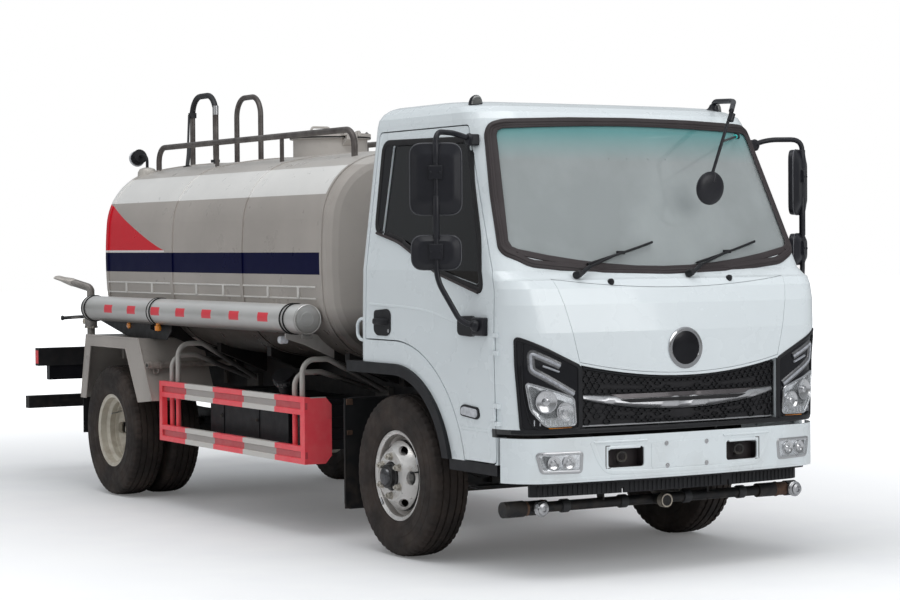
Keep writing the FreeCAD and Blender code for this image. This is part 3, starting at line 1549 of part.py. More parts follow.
def headlamp_region(gap, side):
    """Front view area of one headlamp, ahead of the door."""
    start = float(front_axle_x + size.door_front) + 10
    corners = [
        (side * (553 + gap), 662 + gap),
        (side * (815 - gap), 658 + gap),
        (side * (842 - gap), 1084 - gap),
        (side * (700 - gap), 1020 - gap),
        (side * (553 + gap), 950 - gap),
    ]
    return swept_face(closed_outline("x", start, corners, 18), "x", 600)


def front_panel_region(gap):
    """Front view area of the panel between grille and windscreen."""
    start = float(front_axle_x) + 760
    foot, shoulder = 556 - gap, 650 - gap
    low_end, low_middle, top_end, top_middle = 960 + gap, 900 + gap, 1328 - gap, 1286 - gap
    wire = Part.Wire(
        [
            Part.makeLine(V(start, -shoulder, top_end), V(start, -foot, low_end)),
            Part.Arc(V(start, -foot, low_end), V(start, 0, low_middle), V(start, foot, low_end)).toShape(),
            Part.makeLine(V(start, foot, low_end), V(start, shoulder, top_end)),
            Part.Arc(V(start, shoulder, top_end), V(start, 0, top_middle), V(start, -shoulder, top_end)).toShape(),
        ]
    )
    return swept_face(wire, "x", 700)


PANEL_WALL = 16
SEAM = 2


def floor_slab():
    """Side view band of the cab floor, stepping down to the footwells."""
    x = float(front_axle_x)
    high, low, wall = float(size.floor_z), float(size.footwell_z), float(size.floor_wall)
    return polygon_prism(
        "y",
        [(x - 400, high), (x + 500, high), (x + 570, low), (x + 1100, low), (x + 1100, low - wall),
         (x + 553, low - wall), (x + 483, high - wall), (x - 400, high - wall)],
        -900,
        900,
    )


HINGE_LOWS = (704, 1016)
HINGE_BARREL = 56
HINGE_KNUCKLE = 20
HINGE_RADIUS = 8
HINGE_PIN = 4
HINGE_Y = 876
HINGE_POCKET = 11


def hinge_knuckles():
    """Knuckles with pins at the front edge of the right door's opening."""
    x, y = float(front_axle_x + size.door_front), -HINGE_Y
    face = y + HINGE_RADIUS - 2
    pieces = []
    for low in HINGE_LOWS:
        bottom, top = low - 1 - HINGE_KNUCKLE, low + HINGE_BARREL + 1
        pieces.append(Part.makeCylinder(HINGE_PIN, top + HINGE_KNUCKLE - bottom, V(x, y, bottom)))
        for start in (bottom, top):
            pieces.append(Part.makeCylinder(HINGE_RADIUS, HINGE_KNUCKLE, V(x, y, start)))
            pieces.append(Part.makeBox(34, face - y + 6, HINGE_KNUCKLE, V(x, y - 6, start)))
            pieces.append(Part.makeBox(26, 34, HINGE_KNUCKLE, V(x + 8, y - 6, start)))
    return merged(*pieces)


def hinge_pockets(starts, height):
    """Round pockets about the right door's hinge line."""
    x = float(front_axle_x + size.door_front)
    return [Part.makeCylinder(HINGE_POCKET, height, V(x, -HINGE_Y, start)) for start in starts]


def hinge_barrels():
    """Barrels on the right door that turn on the hinge pins."""
    x, y = float(front_axle_x + size.door_front), -HINGE_Y
    pieces, holes = [], []
    for low in HINGE_LOWS:
        pieces.append(Part.makeCylinder(HINGE_RADIUS, HINGE_BARREL, V(x, y, low)))
        pieces.append(Part.makeBox(36, 12, HINGE_BARREL, V(x - 36, y - 6, low)))
        pieces.append(Part.makeBox(28, 20, HINGE_BARREL, V(x - 36, y - 6, low)))
        holes.append(Part.makeCylinder(HINGE_PIN + float(size.running_gap), HINGE_BARREL + 20, V(x, y, low - 10)))
    return merged(*pieces), holes


def cab_shell():
    wall = float(size.cab_wall)
    x = float(front_axle_x)
    hollow = cab_skin(wall).cut(floor_slab())
    shell = cab_skin(0).cut(hollow)
    shell = shell.cut([
        Part.makeBox(3000, 2400, float(size.cab_sill_z), V(x - 1500, -1200, 0)),
        Part.makeBox(400, 2400, float(size.nose_bottom_z), V(x + float(size.door_front) + 4, -1200, 0)),
        arch_region(float(size.arch_outer_radius) + float(size.seat_gap), -600),
        door_region(0),
        windscreen_region(0),
        rear_window_region(0),
        grille_region(0),
        headlamp_region(0, -1),
        headlamp_region(0, 1),
    ])
    panel_gap = float(size.seat_gap)
    bed = layer(-20, PANEL_WALL + panel_gap).common(front_panel_region(0))
    shell = shell.cut(bed)
    wells = [step_well(side) for side in (-1, 1)]
    lugs = [tilt_lug(side) for side in (-1, 1)]
    opening = [polygon_prism("z", [(x + 610, side * 640), (x + 870, side * 640), (x + 870, side * 800),
                                   (x + 610, side * 800)], 700, float(size.footwell_z) + 5) for side in (-1, 1)]
    right_knuckles = hinge_knuckles()
    left_knuckles = right_knuckles.mirror(V(0, 0, 0), V(0, 1, 0))
    pockets = hinge_pockets([low - 1 for low in HINGE_LOWS], HINGE_BARREL + 2)
    shell = shell.cut(pockets + [pocket.mirror(V(0, 0, 0), V(0, 1, 0)) for pocket in pockets])
    shell = merged(shell, *wells, *lugs, right_knuckles, left_knuckles).cut(opening)
    node("cab_shell", free_shape("CabShell", solid_of(shell)))
    panel = layer(0, PANEL_WALL).common(front_panel_region(SEAM))
    node("front_panel", free_shape("FrontPanel", solid_of(panel)))


def step_well(side):
    """Boxed entry step inside the door, below the footwell floor."""
    x = float(front_axle_x)
    top = float(size.footwell_z - size.floor_wall) + 2
    low = float(size.cab_sill_z)
    inner, outer = sorted((side * 622, side * float(size.cab_foot_half_width - size.cab_wall - 3)))
    box = Part.makeBox(298, outer - inner, top - low, V(x + 596, inner, low))
    room_low, room_high = sorted((side * 634, side * 900))
    room = Part.makeBox(274, room_high - room_low, top, V(x + 608, room_low, low + 12))
    return box.cut(room)


def tilt_lug(side):
    """Plate below the footwell floor that hangs on the chassis tilt pin."""
    x, z = float(from_front(size.tilt_x)), float(size.tilt_z)
    y = float(size.rail_outer_y) + 12 + 6
    low, high = sorted((side * y, side * (y + LUG)))
    plate = polygon_prism("y", [(x - 40, 805), (x - 34, z - 30), (x + 34, z - 30), (x + 40, 805)], low, high)
    return plate.cut(Part.makeCylinder(TILT_PIN + float(size.running_gap), LUG + 20, V(x, low - 10, z), V(0, 1, 0)))


def cab_glass():
    gap = float(size.seat_gap)
    wall = float(size.glass_wall)
    pane = layer(6, 6 + wall)
    screen = solid_of(pane.common(windscreen_region(gap)))
    back = solid_of(pane.common(rear_window_region(gap)))
    node("cab_glass", free_shape("CabGlass", Part.makeCompound([screen, back])))


def doors():
    """Doors: a skin to the edge of the opening and a narrower inner layer, with its window."""
    skin_wall, wall = float(size.door_skin), float(size.cab_wall)
    gap, rebate = float(size.door_gap), float(size.door_rebate)
    skin = layer(0, skin_wall).common(door_region(gap)).common(right_half())
    inner = layer(skin_wall, wall).common(door_region(gap + rebate)).common(right_half())
    barrels, pin_holes = hinge_barrels()
    starts = [low - 4 - HINGE_KNUCKLE for low in HINGE_LOWS] + [low + HINGE_BARREL for low in HINGE_LOWS]
    pockets = hinge_pockets(starts, HINGE_KNUCKLE + 4)
    panel = merged(solid_of(skin), solid_of(inner)).cut([window_region(0)] + pockets)
    panel = merged(solid_of(panel), barrels).cut(pin_holes)
    right = free_shape("DoorRight", solid_of(panel))
    node("door_right", right)
    node("door_left", mirrored("DoorLeft", right))
    pane = layer(9, 9 + float(size.glass_wall)).common(window_region(float(size.seat_gap))).common(right_half())
    glass = free_shape("DoorGlassRight", solid_of(pane))
    node("door_glass_right", glass)
    node("door_glass_left", mirrored("DoorGlassLeft", glass))


def arch_flares():
    """Black flares along the front wheel arches with their liners, and the sill strips below the doors."""
    rear = -455
    low = float(size.cab_sill_z)
    inner, outer = float(size.arch_inner_radius), float(size.arch_outer_radius)
    band = arch_region(outer, rear, low).cut(arch_region(inner, rear - 50, 200))
    liner = arch_region(inner + float(size.liner_wall), rear, low).cut(arch_region(inner, rear - 50, 200))
    x = float(front_axle_x)
    flare_low, flare_high = -float(size.flare_y), -838
    lip = band.common(Part.makeBox(1400, flare_high - flare_low, 1200, V(x - 600, flare_low, low)))
    deep = liner.common(Part.makeBox(1400, 838 - float(size.liner_y), 1200, V(x - 600, -838, low)))
    sill = Part.makeBox(370, 45, 50, V(x + outer, -860, low - 50 - float(size.seat_gap)))
    foot = Part.makeBox(40, 45, 50, V(x + outer - 40, -860, low - 50 - float(size.seat_gap)))
    neck = Part.makeBox(26, 45, 60, V(x + outer - 40, -860, low - 50 - float(size.seat_gap)))
    right = merged(solid_of(lip), solid_of(deep), sill, foot, neck)
    left = right.mirror(V(0, 0, 0), V(0, 1, 0))
    node("arch_flares", free_shape("ArchFlares", Part.makeCompound([solid_of(right), solid_of(left)])))


def headlamps():
    gap = float(size.seat_gap)
    lamps = []
    for side in (-1, 1):
        lamps.append(solid_of(layer(0, float(size.cab_wall) + 30).common(headlamp_region(gap, side))))
    node("headlamps", free_shape("Headlamps", Part.makeCompound(lamps)))


def grille():
    """Frame with a bar across it and slats in an upper and a lower opening."""
    frame = layer(4, 34).common(grille_region(float(size.seat_gap)))
    x = float(front_axle_x) + 900
    tools = []
    for low, high in ((690, 735), (835, 862)):
        rows = 2 if low < 700 else 1
        step = (high - low) / rows
        for row in range(rows):
            for column in range(-9, 10):
                y = column * 54
                tools.append(Part.makeBox(400, 44, step - 7, V(x, y - 22, low + step * row)))
    wing = layer(-3, 20).common(swept_face(closed_outline("x", x, [(-500, 790), (-470, 772), (0, 750), (470, 772),
                                                                  (500, 790), (470, 806), (0, 790), (-470, 806)], 4),
                                           "x", 400))
    shape = frame.cut(tools).fuse(solid_of(wing))
    node("grille", free_shape("Grille", solid_of(shape)))


# Inside the cab


def dashboard():
    """Dashboard that reaches forward to the cab's front wall above the headlamps."""
    x = float(front_axle_x)
    outline = [(x + 930, 850), (x + 935, 1105), (x + 1200, 1115), (x + 1200, 1180), (x + 1010, 1200),
               (x + 900, 1300), (x + 700, 1330), (x + 580, 1290), (x + 560, 1180), (x + 700, 1080), (x + 820, 850)]
    board = polygon_prism("y", outline, -760, 760)
    hood = polygon_prism("y", [(x + 560, 1290), (x + 700, 1325), (x + 700, 1385), (x + 575, 1375)], -560, -200)
    board = merged(board, hood).common(cab_skin(float(size.cab_wall) + float(size.seat_gap)))
    node("dashboard", free_shape("Dashboard", solid_of(board)))


def steering_wheel():
    x = float(front_axle_x)
    centre = V(x + 470, -380, 1455)
    axis = V(-0.5, 0, 0.866)
    rim = Part.makeTorus(205, 14, centre, axis)
    hub = Part.makeCylinder(48, 42, centre - axis * 32, axis)
    column = Part.makeCylinder(24, 240, centre - axis * 25, axis * -1)
    spokes = []
    for direction in (V(0, 1, 0), V(0, -1, 0), V(-0.866, 0, -0.5)):
        start = centre - axis * 8
        spokes.append(Part.makeCylinder(11, 200, start, direction))
    wheel = merged(rim, hub, column, *spokes)
    wheel = wheel.cut(nodes["dashboard"].Shape)
    node("steering_wheel", free_shape("SteeringWheel", solid_of(wheel)))


def seats():
    floor = size.floor_z + size.seat_gap
    pieces = []
    for number, (low, high) in enumerate(((-690, -190), (-150, 270), (300, 690))):
        base = block(f"SeatBase{number}", (from_front(-210), from_front(230)), (low + 40, high - 40),
                     (floor, floor + 210))
        cushion = padded(
            f"SeatCushion{number}",
            "y",
            [
                (from_front(-230), floor + 205),
                (from_front(270), floor + 225),
                (from_front(275), floor + 330),
                (from_front(-240), floor + 300),
            ],
            low,
            high,
            rounding=38,
        )
        back = padded(
            f"SeatBack{number}",
            "y",
            [
                (from_front(-215), floor + 290),
                (from_front(-95), floor + 300),
                (from_front(-165), floor + 800),
                (from_front(-265), floor + 800),
            ],
            low + 10,
            high - 10,
            rounding=32,
        )
        middle = (low + high) / 2
        rest = padded(
            f"HeadRest{number}",
            "y",
            [
                (from_front(-175), floor + 790),
                (from_front(-175), floor + 950),
                (from_front(-260), floor + 950),
                (from_front(-260), floor + 790),
            ],
            middle - 130,
            middle + 130,
            rounding=30,
        )
        pieces.append(fuse(f"Seat{number}", base, cushion, back, rest))
    node("seats", together("Seats", *pieces))


# Outside the cab


def roof_lamps():
    """Two marker lamps near the roof's front corners."""
    skin = cab_skin(-float(size.seat_gap))
    x, y = float(from_front(455)), 690
    plumb = Part.makeLine(V(x, -y, 1900), V(x, -y, 2300)).common(cab_skin(0))
    seat = plumb.BoundBox.ZMax
    dome = Part.makeSphere(34, V(x, -y, seat + 10))
    stem = Part.makeCylinder(34, 40, V(x, -y, seat - 30))
    lamp = solid_of(merged(dome, stem).cut(skin))
    left = lamp.mirror(V(0, 0, 0), V(0, 1, 0))
    node("roof_lamps", free_shape("RoofLamps", Part.makeCompound([lamp, left])))


def skin_x(y, z):
    """X of the cab's front surface at a place in front view."""
    start = float(front_axle_x)
    return Part.makeLine(V(start, y, z), V(start + 1500, y, z)).common(cab_skin(0)).BoundBox.XMax


WIPER_FEET = (-515, 93)


def wipers():
    """Two wiper arms with blades resting just off the windscreen."""
    parts = []
    for foot_y in WIPER_FEET:
        foot = V(skin_x(foot_y, 1322) + 8, foot_y, 1322)
        spindle = Part.makeCylinder(14, 45, foot - V(35, 0, 0), V(1, 0, 0.25))
        places = [(foot_y + 95, 1386), (foot_y + 285, 1432), (foot_y + 475, 1482)]
        low, middle, high = [V(skin_x(y, z) + 12, y, z) for y, z in places]
        arm = Part.makeCylinder(6, (middle - foot).Length, foot, middle - foot)
        blade = Part.makeCylinder(7, (high - low).Length, low, high - low)
        parts.append(solid_of(merged(spindle, arm, blade).cut(cab_skin(-float(size.seat_gap)))))
    node("wipers", free_shape("Wipers", Part.makeCompound(parts)))


def mirror_head(centre, depth, width, height, rounding):
    corners = [(centre.y - width / 2, centre.z - height / 2), (centre.y + width / 2, centre.z - height / 2),
               (centre.y + width / 2, centre.z + height / 2), (centre.y - width / 2, centre.z + height / 2)]
    head = swept_face(closed_outline("x", centre.x - depth / 2, corners, rounding), "x", depth)
    return head.makeFillet(depth * 0.3, [edge for edge in head.Edges if edge.Vertexes[0].X > centre.x
                                         and edge.Vertexes[-1].X > centre.x])


MIRROR_TURN = 36


def door_mirrors():
    """Two mirror heads on a bent tube that stands off the door on two brackets."""
    x = float(front_axle_x)
    skin = cab_skin(-float(size.seat_gap))
    bar = tube(
        [(x + 790, -850, 1120), (x + 760, -960, 1135), (x + 690, -1045, 1330), (x + 690, -1045, 1985),
         (x + 610, -900, 1985), (x + 600, -760, 1950)],
        12,
        40,
    )
    lower = polygon_prism("y", [(x + 730, 1075), (x + 845, 1075), (x + 845, 1165), (x + 730, 1165)], -905, -840)
    upper = polygon_prism("y", [(x + 575, 1925), (x + 635, 1925), (x + 620, 1985), (x + 575, 1985)], -830, -760)
    large = mirror_head(V(x + 690, -1050, 1775), 85, 235, 320, 40)
    small = mirror_head(V(x + 690, -1050, 1448), 85, 225, 155, 38)
    for head in (large, small):
        head.rotate(V(x + 690, -1045, 0), V(0, 0, 1), -MIRROR_TURN)
    stand = merged(bar, lower, upper, large, small).cut(skin)
    right = free_shape("MirrorRight", solid_of(stand))
    node("mirror_right", right)
    node("mirror_left", mirrored("MirrorLeft", right))


def kerb_mirror():
    """Round mirror that hangs ahead of the windscreen on an arm from the roof's left corner."""
    x = float(front_axle_x)
    skin = cab_skin(-float(size.seat_gap))
    arm = tube([(x + 520, 630, 2060), (x + 520, 630, 2172), (x + 760, 570, 2160), (x + 1010, 360, 2090)], 13, 40)
    post = Part.makeCylinder(8, 320, V(x + 1005, 365, 2090), V(0, -110, -300))
    disc = Part.makeCylinder(78, 26, V(x + 988, 245, 1735), V(1, 0, -0.1))
    pad_foot = Part.makeCylinder(32, 85, V(x + 520, 630, 2060))
    shape = merged(arm, post, disc, pad_foot).cut(skin)
    node("kerb_mirror", free_shape("KerbMirror", solid_of(shape)))


# Bumper and what sits below it


def bumper_plan(low, high, inset, front=None):
    """Everything behind the bumper's face between two heights, moved inwards by an inset."""
    front = float(size.front_overhang) if front is None else front
    half = float(size.cab_half_width) - 4
    wire = plan_wire(low, front - inset, half - inset, float(size.nose_corner) - inset,
                     float(size.nose_radius) - inset, -float(size.cab_rear), 40)
    return Part.Face(wire).extrude(V(0, 0, high - low))


BRACKET_LOW = 442


def front_bumper():
    """Bumper skin with its openings, on two brackets below the rail ends."""
    low, high = float(size.bumper_bottom_z), float(size.bumper_top_z)
    x = float(front_axle_x)
    wall = float(size.bumper_wall)
    shell = bumper_plan(low, high, 0).cut(bumper_plan(low + wall, high + 10, wall))
    room = Part.makeBox(2000, 2000, 400, V(x - 2000 + float(size.bumper_rear), -1000, low - 50))
    floor_cut = bumper_plan(low - 1, low + wall + 1, 60)
    shell = shell.cut([room, floor_cut])
    tools = []
    for side in (-1, 1):
        tools.append(swept_face(closed_outline("x", x + 700, [(side * 231, 488), (side * 418, 488), (side * 418, 578),
                                                             (side * 231, 578)], 14), "x", 600))
        tools.append(fog_lamp_region(0, side))
    shell = shell.cut(tools)
    brackets = []
    for side in (-1, 1):
        y_low, y_high = sorted((side * (HANGER_INNER + 12), side * 348))
        face = bumper_plan(BRACKET_LOW, BRACKET_LOW + 40, wall - 1)
        bar = Part.makeBox(400, y_high - y_low, 40, V(float(rail_nose_x) - 40, y_low, BRACKET_LOW)).common(face)
        drop = Part.makeBox(60, y_high - y_low, float(rail_bottom) - BRACKET_LOW - float(size.seat_gap),
                            V(float(rail_nose_x) - 60, y_low, BRACKET_LOW))
        brackets.extend([bar, drop])
    node("front_bumper", free_shape("FrontBumper", solid_of(merged(shell, *brackets))))


def fog_lamp_region(gap, side):
    start = float(front_axle_x) + 780
    corners = [(side * (552 + gap), 474 + gap), (side * (745 - gap), 478 + gap), (side * (765 - gap), 566 - gap),
               (side * (546 + gap), 566 - gap)]
    return swept_face(closed_outline("x", start, corners, 14), "x", 600)


def chassis_lamps():
    """Fog lamps in the bumper and tail lamps below the tail beam."""
    low, high = float(size.bumper_bottom_z), float(size.bumper_top_z)
    solids = []
    for side in (-1, 1):
        ring = bumper_plan(low, high, 3).cut(bumper_plan(low - 1, high + 1, 50))
        solids.append(solid_of(ring.common(fog_lamp_region(float(size.seat_gap), side))))
    back = float(rail_back_x) - float(size.tail_bar_depth)
    for side in (-1, 1):
        y_low, y_high = sorted((side * 470, side * 830))
        solids.append(Part.makeBox(50, y_high - y_low, 92, V(back + 6, y_low, 715 - 92 - float(size.seat_gap))))
    node("chassis_lamps", free_shape("ChassisLamps", Part.makeCompound(solids)))


def front_valance():
    """Black panel below and behind the bumper."""
    x = float(front_axle_x)
    gap = float(size.seat_gap)
    low, high = 366, float(size.bumper_bottom_z) - gap
    band = bumper_plan(low, high, 70).cut(bumper_plan(low - 1, high + 1, 82))
    lip = bumper_plan(high - 10, high, 20).cut(bumper_plan(high - 11, high + 1, 82))
    keep = Part.makeBox(600, 1500, 400, V(x + 860, -750, 300))
    hanger_middle = HANGER_INNER + 4
    slots = [Part.makeBox(400, 12, 60, V(x + 860, side * hanger_middle - 6, 330)) for side in (-1, 1)]
    shape = merged(band, lip).common(keep).cut(slots)
    node("front_valance", free_shape("FrontValance", solid_of(shape)))


# Knuckles, tie rod and wheels

ARM_BACK = 150


def knuckle():
    """Right steering knuckle: two ears on the kingpin, spindle, back plate and steering arm."""
    x, z = float(front_axle_x), float(axle_z)
    king = -float(size.kingpin_y)
    wheel_y = -float(size.front_wheel_y)
    ears = []
    ear_low = BOSS_HALF + 1
    for low in (z + ear_low, z - ear_low - EAR):
        ears.append(Part.makeCylinder(32, EAR, V(x, king, low)))
        ears.append(Part.makeBox(56, 50, EAR, V(x - 28, king - 50, low)))
    outer_y = wheel_y + 54
    upright = Part.makeBox(68, king - 44 - outer_y, 2 * (ear_low + EAR), V(x - 34, outer_y, z - ear_low - EAR))
    plate = Part.makeCylinder(float(size.drum_radius) - 6, 7, V(x, wheel_y + 58, z), V(0, -1, 0))
    spindle = Part.makeCylinder(28, 58 + 118, V(x, wheel_y + 58, z), V(0, -1, 0))
    arm = Part.makeBox(ARM_BACK + 14, 26, 16, V(x - ARM_BACK - 14, king - 13, z - ear_low - EAR))
    ball = Part.makeCylinder(9, 50, V(x - ARM_BACK, king, z - ear_low - EAR - 48))
    bore = Part.makeCylinder(float(size.kingpin_radius + size.running_gap), 200, V(x, king, z - 100))
    shape = merged(*ears, upright, plate, spindle, arm, ball).cut(bore)
    right = free_shape("KnuckleRight", solid_of(shape))
    node("knuckle_right", right)
    node("knuckle_left", mirrored("KnuckleLeft", right))


def tie_rod():
    """Rod behind the axle that joins the two steering arms."""
    x, z = float(front_axle_x) - ARM_BACK, float(axle_z) - BOSS_HALF - 1 - EAR - 34
    king = float(size.kingpin_y)
    bar = Part.makeCylinder(13, 2 * king - 20, V(x, -king + 10, z), V(0, 1, 0))
    eyes = [Part.makeCylinder(19, 26, V(x, side * king, z - 13)) for side in (-1, 1)]
    holes = [Part.makeCylinder(9 + float(size.running_gap), 60, V(x, side * king, z - 30)) for side in (-1, 1)]
    node("tie_rod", free_shape("TieRod", solid_of(merged(bar, *eyes).cut(holes))))


NUTS = 6


def turned_shape(points):
    """Outline of (distance outwards, radius) turned about the wheel's axis at the origin."""
    corners = [V(0, -distance, radius) for distance, radius in points]
    face = Part.Face(Part.makePolygon(corners + corners[:1]))
    return face.revolve(V(0, 0, 0), V(0, 1, 0), 360)


def wheel_rim():
    """Steel rim and disc of a right wheel about its tyre's centre; the disc bulges outwards."""
    rim = float(size.rim_radius)
    bead = float(size.bead_radius)
    half = float(size.rim_width) / 2
    wall = float(size.rim_wall)
    well = bead - 22
    outside = [(-half - 12, rim), (-half, rim), (-half, bead), (-half + 32, bead - 2), (-24, well), (18, well),
               (half - 32, bead - 2), (half, bead), (half, rim), (half + 12, rim)]
    inside = [(distance, radius - wall) for distance, radius in reversed(outside[3:-3])]
    inside = [(half + 8, rim - wall), (half + 5, bead - wall)] + inside + [(-half - 5, bead - wall),
                                                                         (-half - 8, rim - wall)]
    barrel = turned_shape(outside + inside)
    disc_face = float(size.disc_offset)
    metal = float(size.disc_wall)
    disc = turned_shape([
        (10, well - wall + 1), (34, well - wall + 1), (70, well - wall - 22), (disc_face - 18, 134),
        (disc_face, 118), (disc_face, 70), (disc_face - metal, 70), (disc_face - metal, 112),
        (disc_face - 18 - metal, 124), (62, well - wall - 34), (28, well - wall - 10), (10, well - wall - 6),
    ])
    holes = []
    for number in range(NUTS):
        angle = math.radians(360 / NUTS * (number + 0.5))
        centre = V(0, 0, 144)
        slot = Part.makeCylinder(20, 200, centre - V(15, 0, 0), V(0, -1, 0))
        slot = slot.fuse([Part.makeCylinder(20, 200, centre + V(15, 0, 0), V(0, -1, 0)),
                          Part.makeBox(30, 200, 40, centre + V(-15, -200, -20))])
        slot.rotate(V(0, 0, 0), V(0, 1, 0), math.degrees(angle))
        holes.append(slot)
    return merged(barrel, disc).cut(holes)


def wheel_nuts(face, height):
    """Nuts on a wheel's mounting face, as (distance outwards of the face, nut height)."""
    nuts = []
    for number in range(NUTS):
        angle = 2 * math.pi * number / NUTS
        reach = float(size.stud_circle) / 2
        centre = V(math.sin(angle) * reach, -face, math.cos(angle) * reach)
        nuts.append(Part.makeCylinder(float(size.nut_radius), height, centre, V(0, -1, 0)))
    return nuts


def moved(shape, y_out, x):
    """Copy of a right wheel's shape at its place on the truck."""
    copy = shape.copy()
    copy.translate(V(float(x), -y_out, float(axle_z)))
    return copy


def tyre():
    """Closed section from bead to tread, turned about the wheel's axis at the origin."""
    outer, bead, half = float(size.tyre_radius), float(size.bead_radius), float(size.tyre_width) / 2
    seat = float(size.rim_width) / 2 - 0.5
    shoulder = outer - 13

    def spot(distance, radius):
        return V(0, -distance, radius)

    edges = [
        Part.makeLine(spot(-seat, bead + 0.2), spot(seat, bead + 0.2)),
        Part.makeLine(spot(seat, bead + 0.2), spot(seat, float(size.rim_radius) + 1)),
        Part.Arc(spot(seat, float(size.rim_radius) + 1), spot(half, outer - 95), spot(half - 9, shoulder - 12)).toShape(),
        Part.Arc(spot(half - 9, shoulder - 12), spot(half - 15, shoulder + 1), spot(half - 27, shoulder + 8)).toShape(),
        Part.Arc(spot(half - 27, shoulder + 8), spot(0, outer), spot(-half + 27, shoulder + 8)).toShape(),
        Part.Arc(spot(-half + 27, shoulder + 8), spot(-half + 15, shoulder + 1), spot(-half + 9, shoulder - 12)).toShape(),
        Part.Arc(spot(-half + 9, shoulder - 12), spot(-half, outer - 95), spot(-seat, float(size.rim_radius) + 1)).toShape(),
        Part.makeLine(spot(-seat, float(size.rim_radius) + 1), spot(-seat, bead + 0.2)),
    ]
    return Part.Face(Part.Wire(edges)).revolve(V(0, 0, 0), V(0, 1, 0), 360)


def wheels():
    rim = wheel_rim()
    rubber = tyre()
    spindle = 28 + float(size.running_gap)
    front_y = float(size.front_wheel_y)
    face = float(size.disc_offset)
    drum = float(size.drum_radius)
    metal = float(size.disc_wall)
    hub = turned_shape([
        (-45, drum - 10), (-45, drum), (80, drum), (face - 20, 132), (face - metal, 124), (face - metal, 70),
        (face + 34, 66), (face + 46, 56), (face + 46, 0), (face + 6, 0), (face + 6, spindle), (0, spindle), (0, 52),
        (70, 52), (70, drum - 10),
    ])
    front = moved(merged(rim, hub, *wheel_nuts(face, 26)), front_y, front_axle_x)
    axle_end = 38 + float(size.running_gap)
    middle = float(size.dual_mid_y)
    inner_y, outer_y = middle - face, middle + face
    flipped = rim.mirror(V(0, 0, 0), V(0, 1, 0))
    rear_hub = turned_shape([
        (-172, drum - 10), (-172, drum), (-34, drum), (-34, 132), (-metal, 126), (-metal, 70), (60, 66), (60, 78),
        (72, 78), (72, 50), (96, 42), (96, 0), (32, 0), (32, axle_end), (-44, axle_end), (-44, drum - 10),
    ])
    rear = merged(
        moved(rim, inner_y, rear_axle_x),
        moved(flipped, outer_y, rear_axle_x),
        moved(rear_hub, middle, rear_axle_x),
        *[moved(nut, middle, rear_axle_x) for nut in wheel_nuts(metal, 28)],
    )
    pairs = [
        ("front_rim", solid_of(front)),
        ("front_tyre", moved(rubber, front_y, front_axle_x)),
        ("rear_rims", solid_of(rear)),
        ("rear_tyres", Part.makeCompound([moved(rubber, inner_y, rear_axle_x), moved(rubber, outer_y, rear_axle_x)])),
    ]
    for name, shape in pairs:
        right = free_shape(name.title().replace("_", "") + "Right", shape)
        node(name + "_right", right)
        node(name + "_left", mirrored(name.title().replace("_", "") + "Left", right))


# The whole truck

chassis_frame()
leaf_springs()
front_axle()
rear_axle()
driveline()
water_tank()
manhole_lid()
tank_cradle()
hose_tubes()
tube_caps()
top_rails()
ladder()
work_lamp()
side_guards()
rear_fenders()
mudguards()
rear_bars()
fuel_tank()
battery_box()
air_box()
muffler()
water_pump()
spray_pipes()
front_spray_bar()
cab_shell()
cab_glass()
doors()
arch_flares()
headlamps()
grille()
dashboard()
steering_wheel()
seats()
roof_lamps()
wipers()
door_mirrors()
kerb_mirror()
front_bumper()
chassis_lamps()
front_valance()
knuckle()
tie_rod()
wheels()
doc.recompute()


# Checks before anything is written

for obj in doc.Objects:
    if "Invalid" in obj.State or "Error" in obj.State:
        raise RuntimeError(f"{obj.Label} failed: {obj.State}")
for name, obj in nodes.items():
    shape = obj.Shape
    if shape.isNull() or not shape.isValid() or not shape.Solids:
        raise RuntimeError(f"{name} has no valid shape")
for name, obj in nodes.items():
    obj.Shape.exportStep(f"parts/{name}.step")
box = Part.makeCompound([obj.Shape for obj in nodes.values()]).BoundBox
print(f"{len(nodes)} pieces, {box.XLength:.1f} x {box.YLength:.1f} x {box.ZLength:.1f} mm")
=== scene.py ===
import json
import math

import bmesh
import bpy
from mathutils import Matrix, Vector
from mathutils.bvhtree import BVHTree


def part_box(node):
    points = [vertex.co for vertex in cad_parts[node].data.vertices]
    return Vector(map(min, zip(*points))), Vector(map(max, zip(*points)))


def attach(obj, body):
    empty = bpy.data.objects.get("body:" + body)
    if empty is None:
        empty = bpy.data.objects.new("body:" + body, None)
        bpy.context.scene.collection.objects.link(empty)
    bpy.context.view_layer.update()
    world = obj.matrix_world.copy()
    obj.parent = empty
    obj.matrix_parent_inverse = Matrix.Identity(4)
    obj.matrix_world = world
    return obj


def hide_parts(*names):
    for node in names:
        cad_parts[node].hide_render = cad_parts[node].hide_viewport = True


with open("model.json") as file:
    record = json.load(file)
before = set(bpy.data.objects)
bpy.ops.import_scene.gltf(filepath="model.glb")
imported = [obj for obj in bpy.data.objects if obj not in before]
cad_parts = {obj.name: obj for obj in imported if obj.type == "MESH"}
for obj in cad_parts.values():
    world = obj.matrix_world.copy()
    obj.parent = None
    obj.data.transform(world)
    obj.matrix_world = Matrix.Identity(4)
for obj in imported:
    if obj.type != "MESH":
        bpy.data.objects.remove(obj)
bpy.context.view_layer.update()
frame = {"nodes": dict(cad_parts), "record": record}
nodes = frame["nodes"]

# Places in the part's frame, metres

AXLE = 1.8675
WHEELBASE = 3.308
REAR_AXLE = AXLE - WHEELBASE
WHEEL_Z = 0.3875
FRONT_WHEEL_Y = 0.78
REAR_WHEEL_Y = 0.744
TWIN_SHIFT = 0.116
SIDES = (("right", -1), ("left", 1))


def at(distance):
    """X of a place given by its distance ahead of the front axle."""
    return AXLE + distance


# Camera

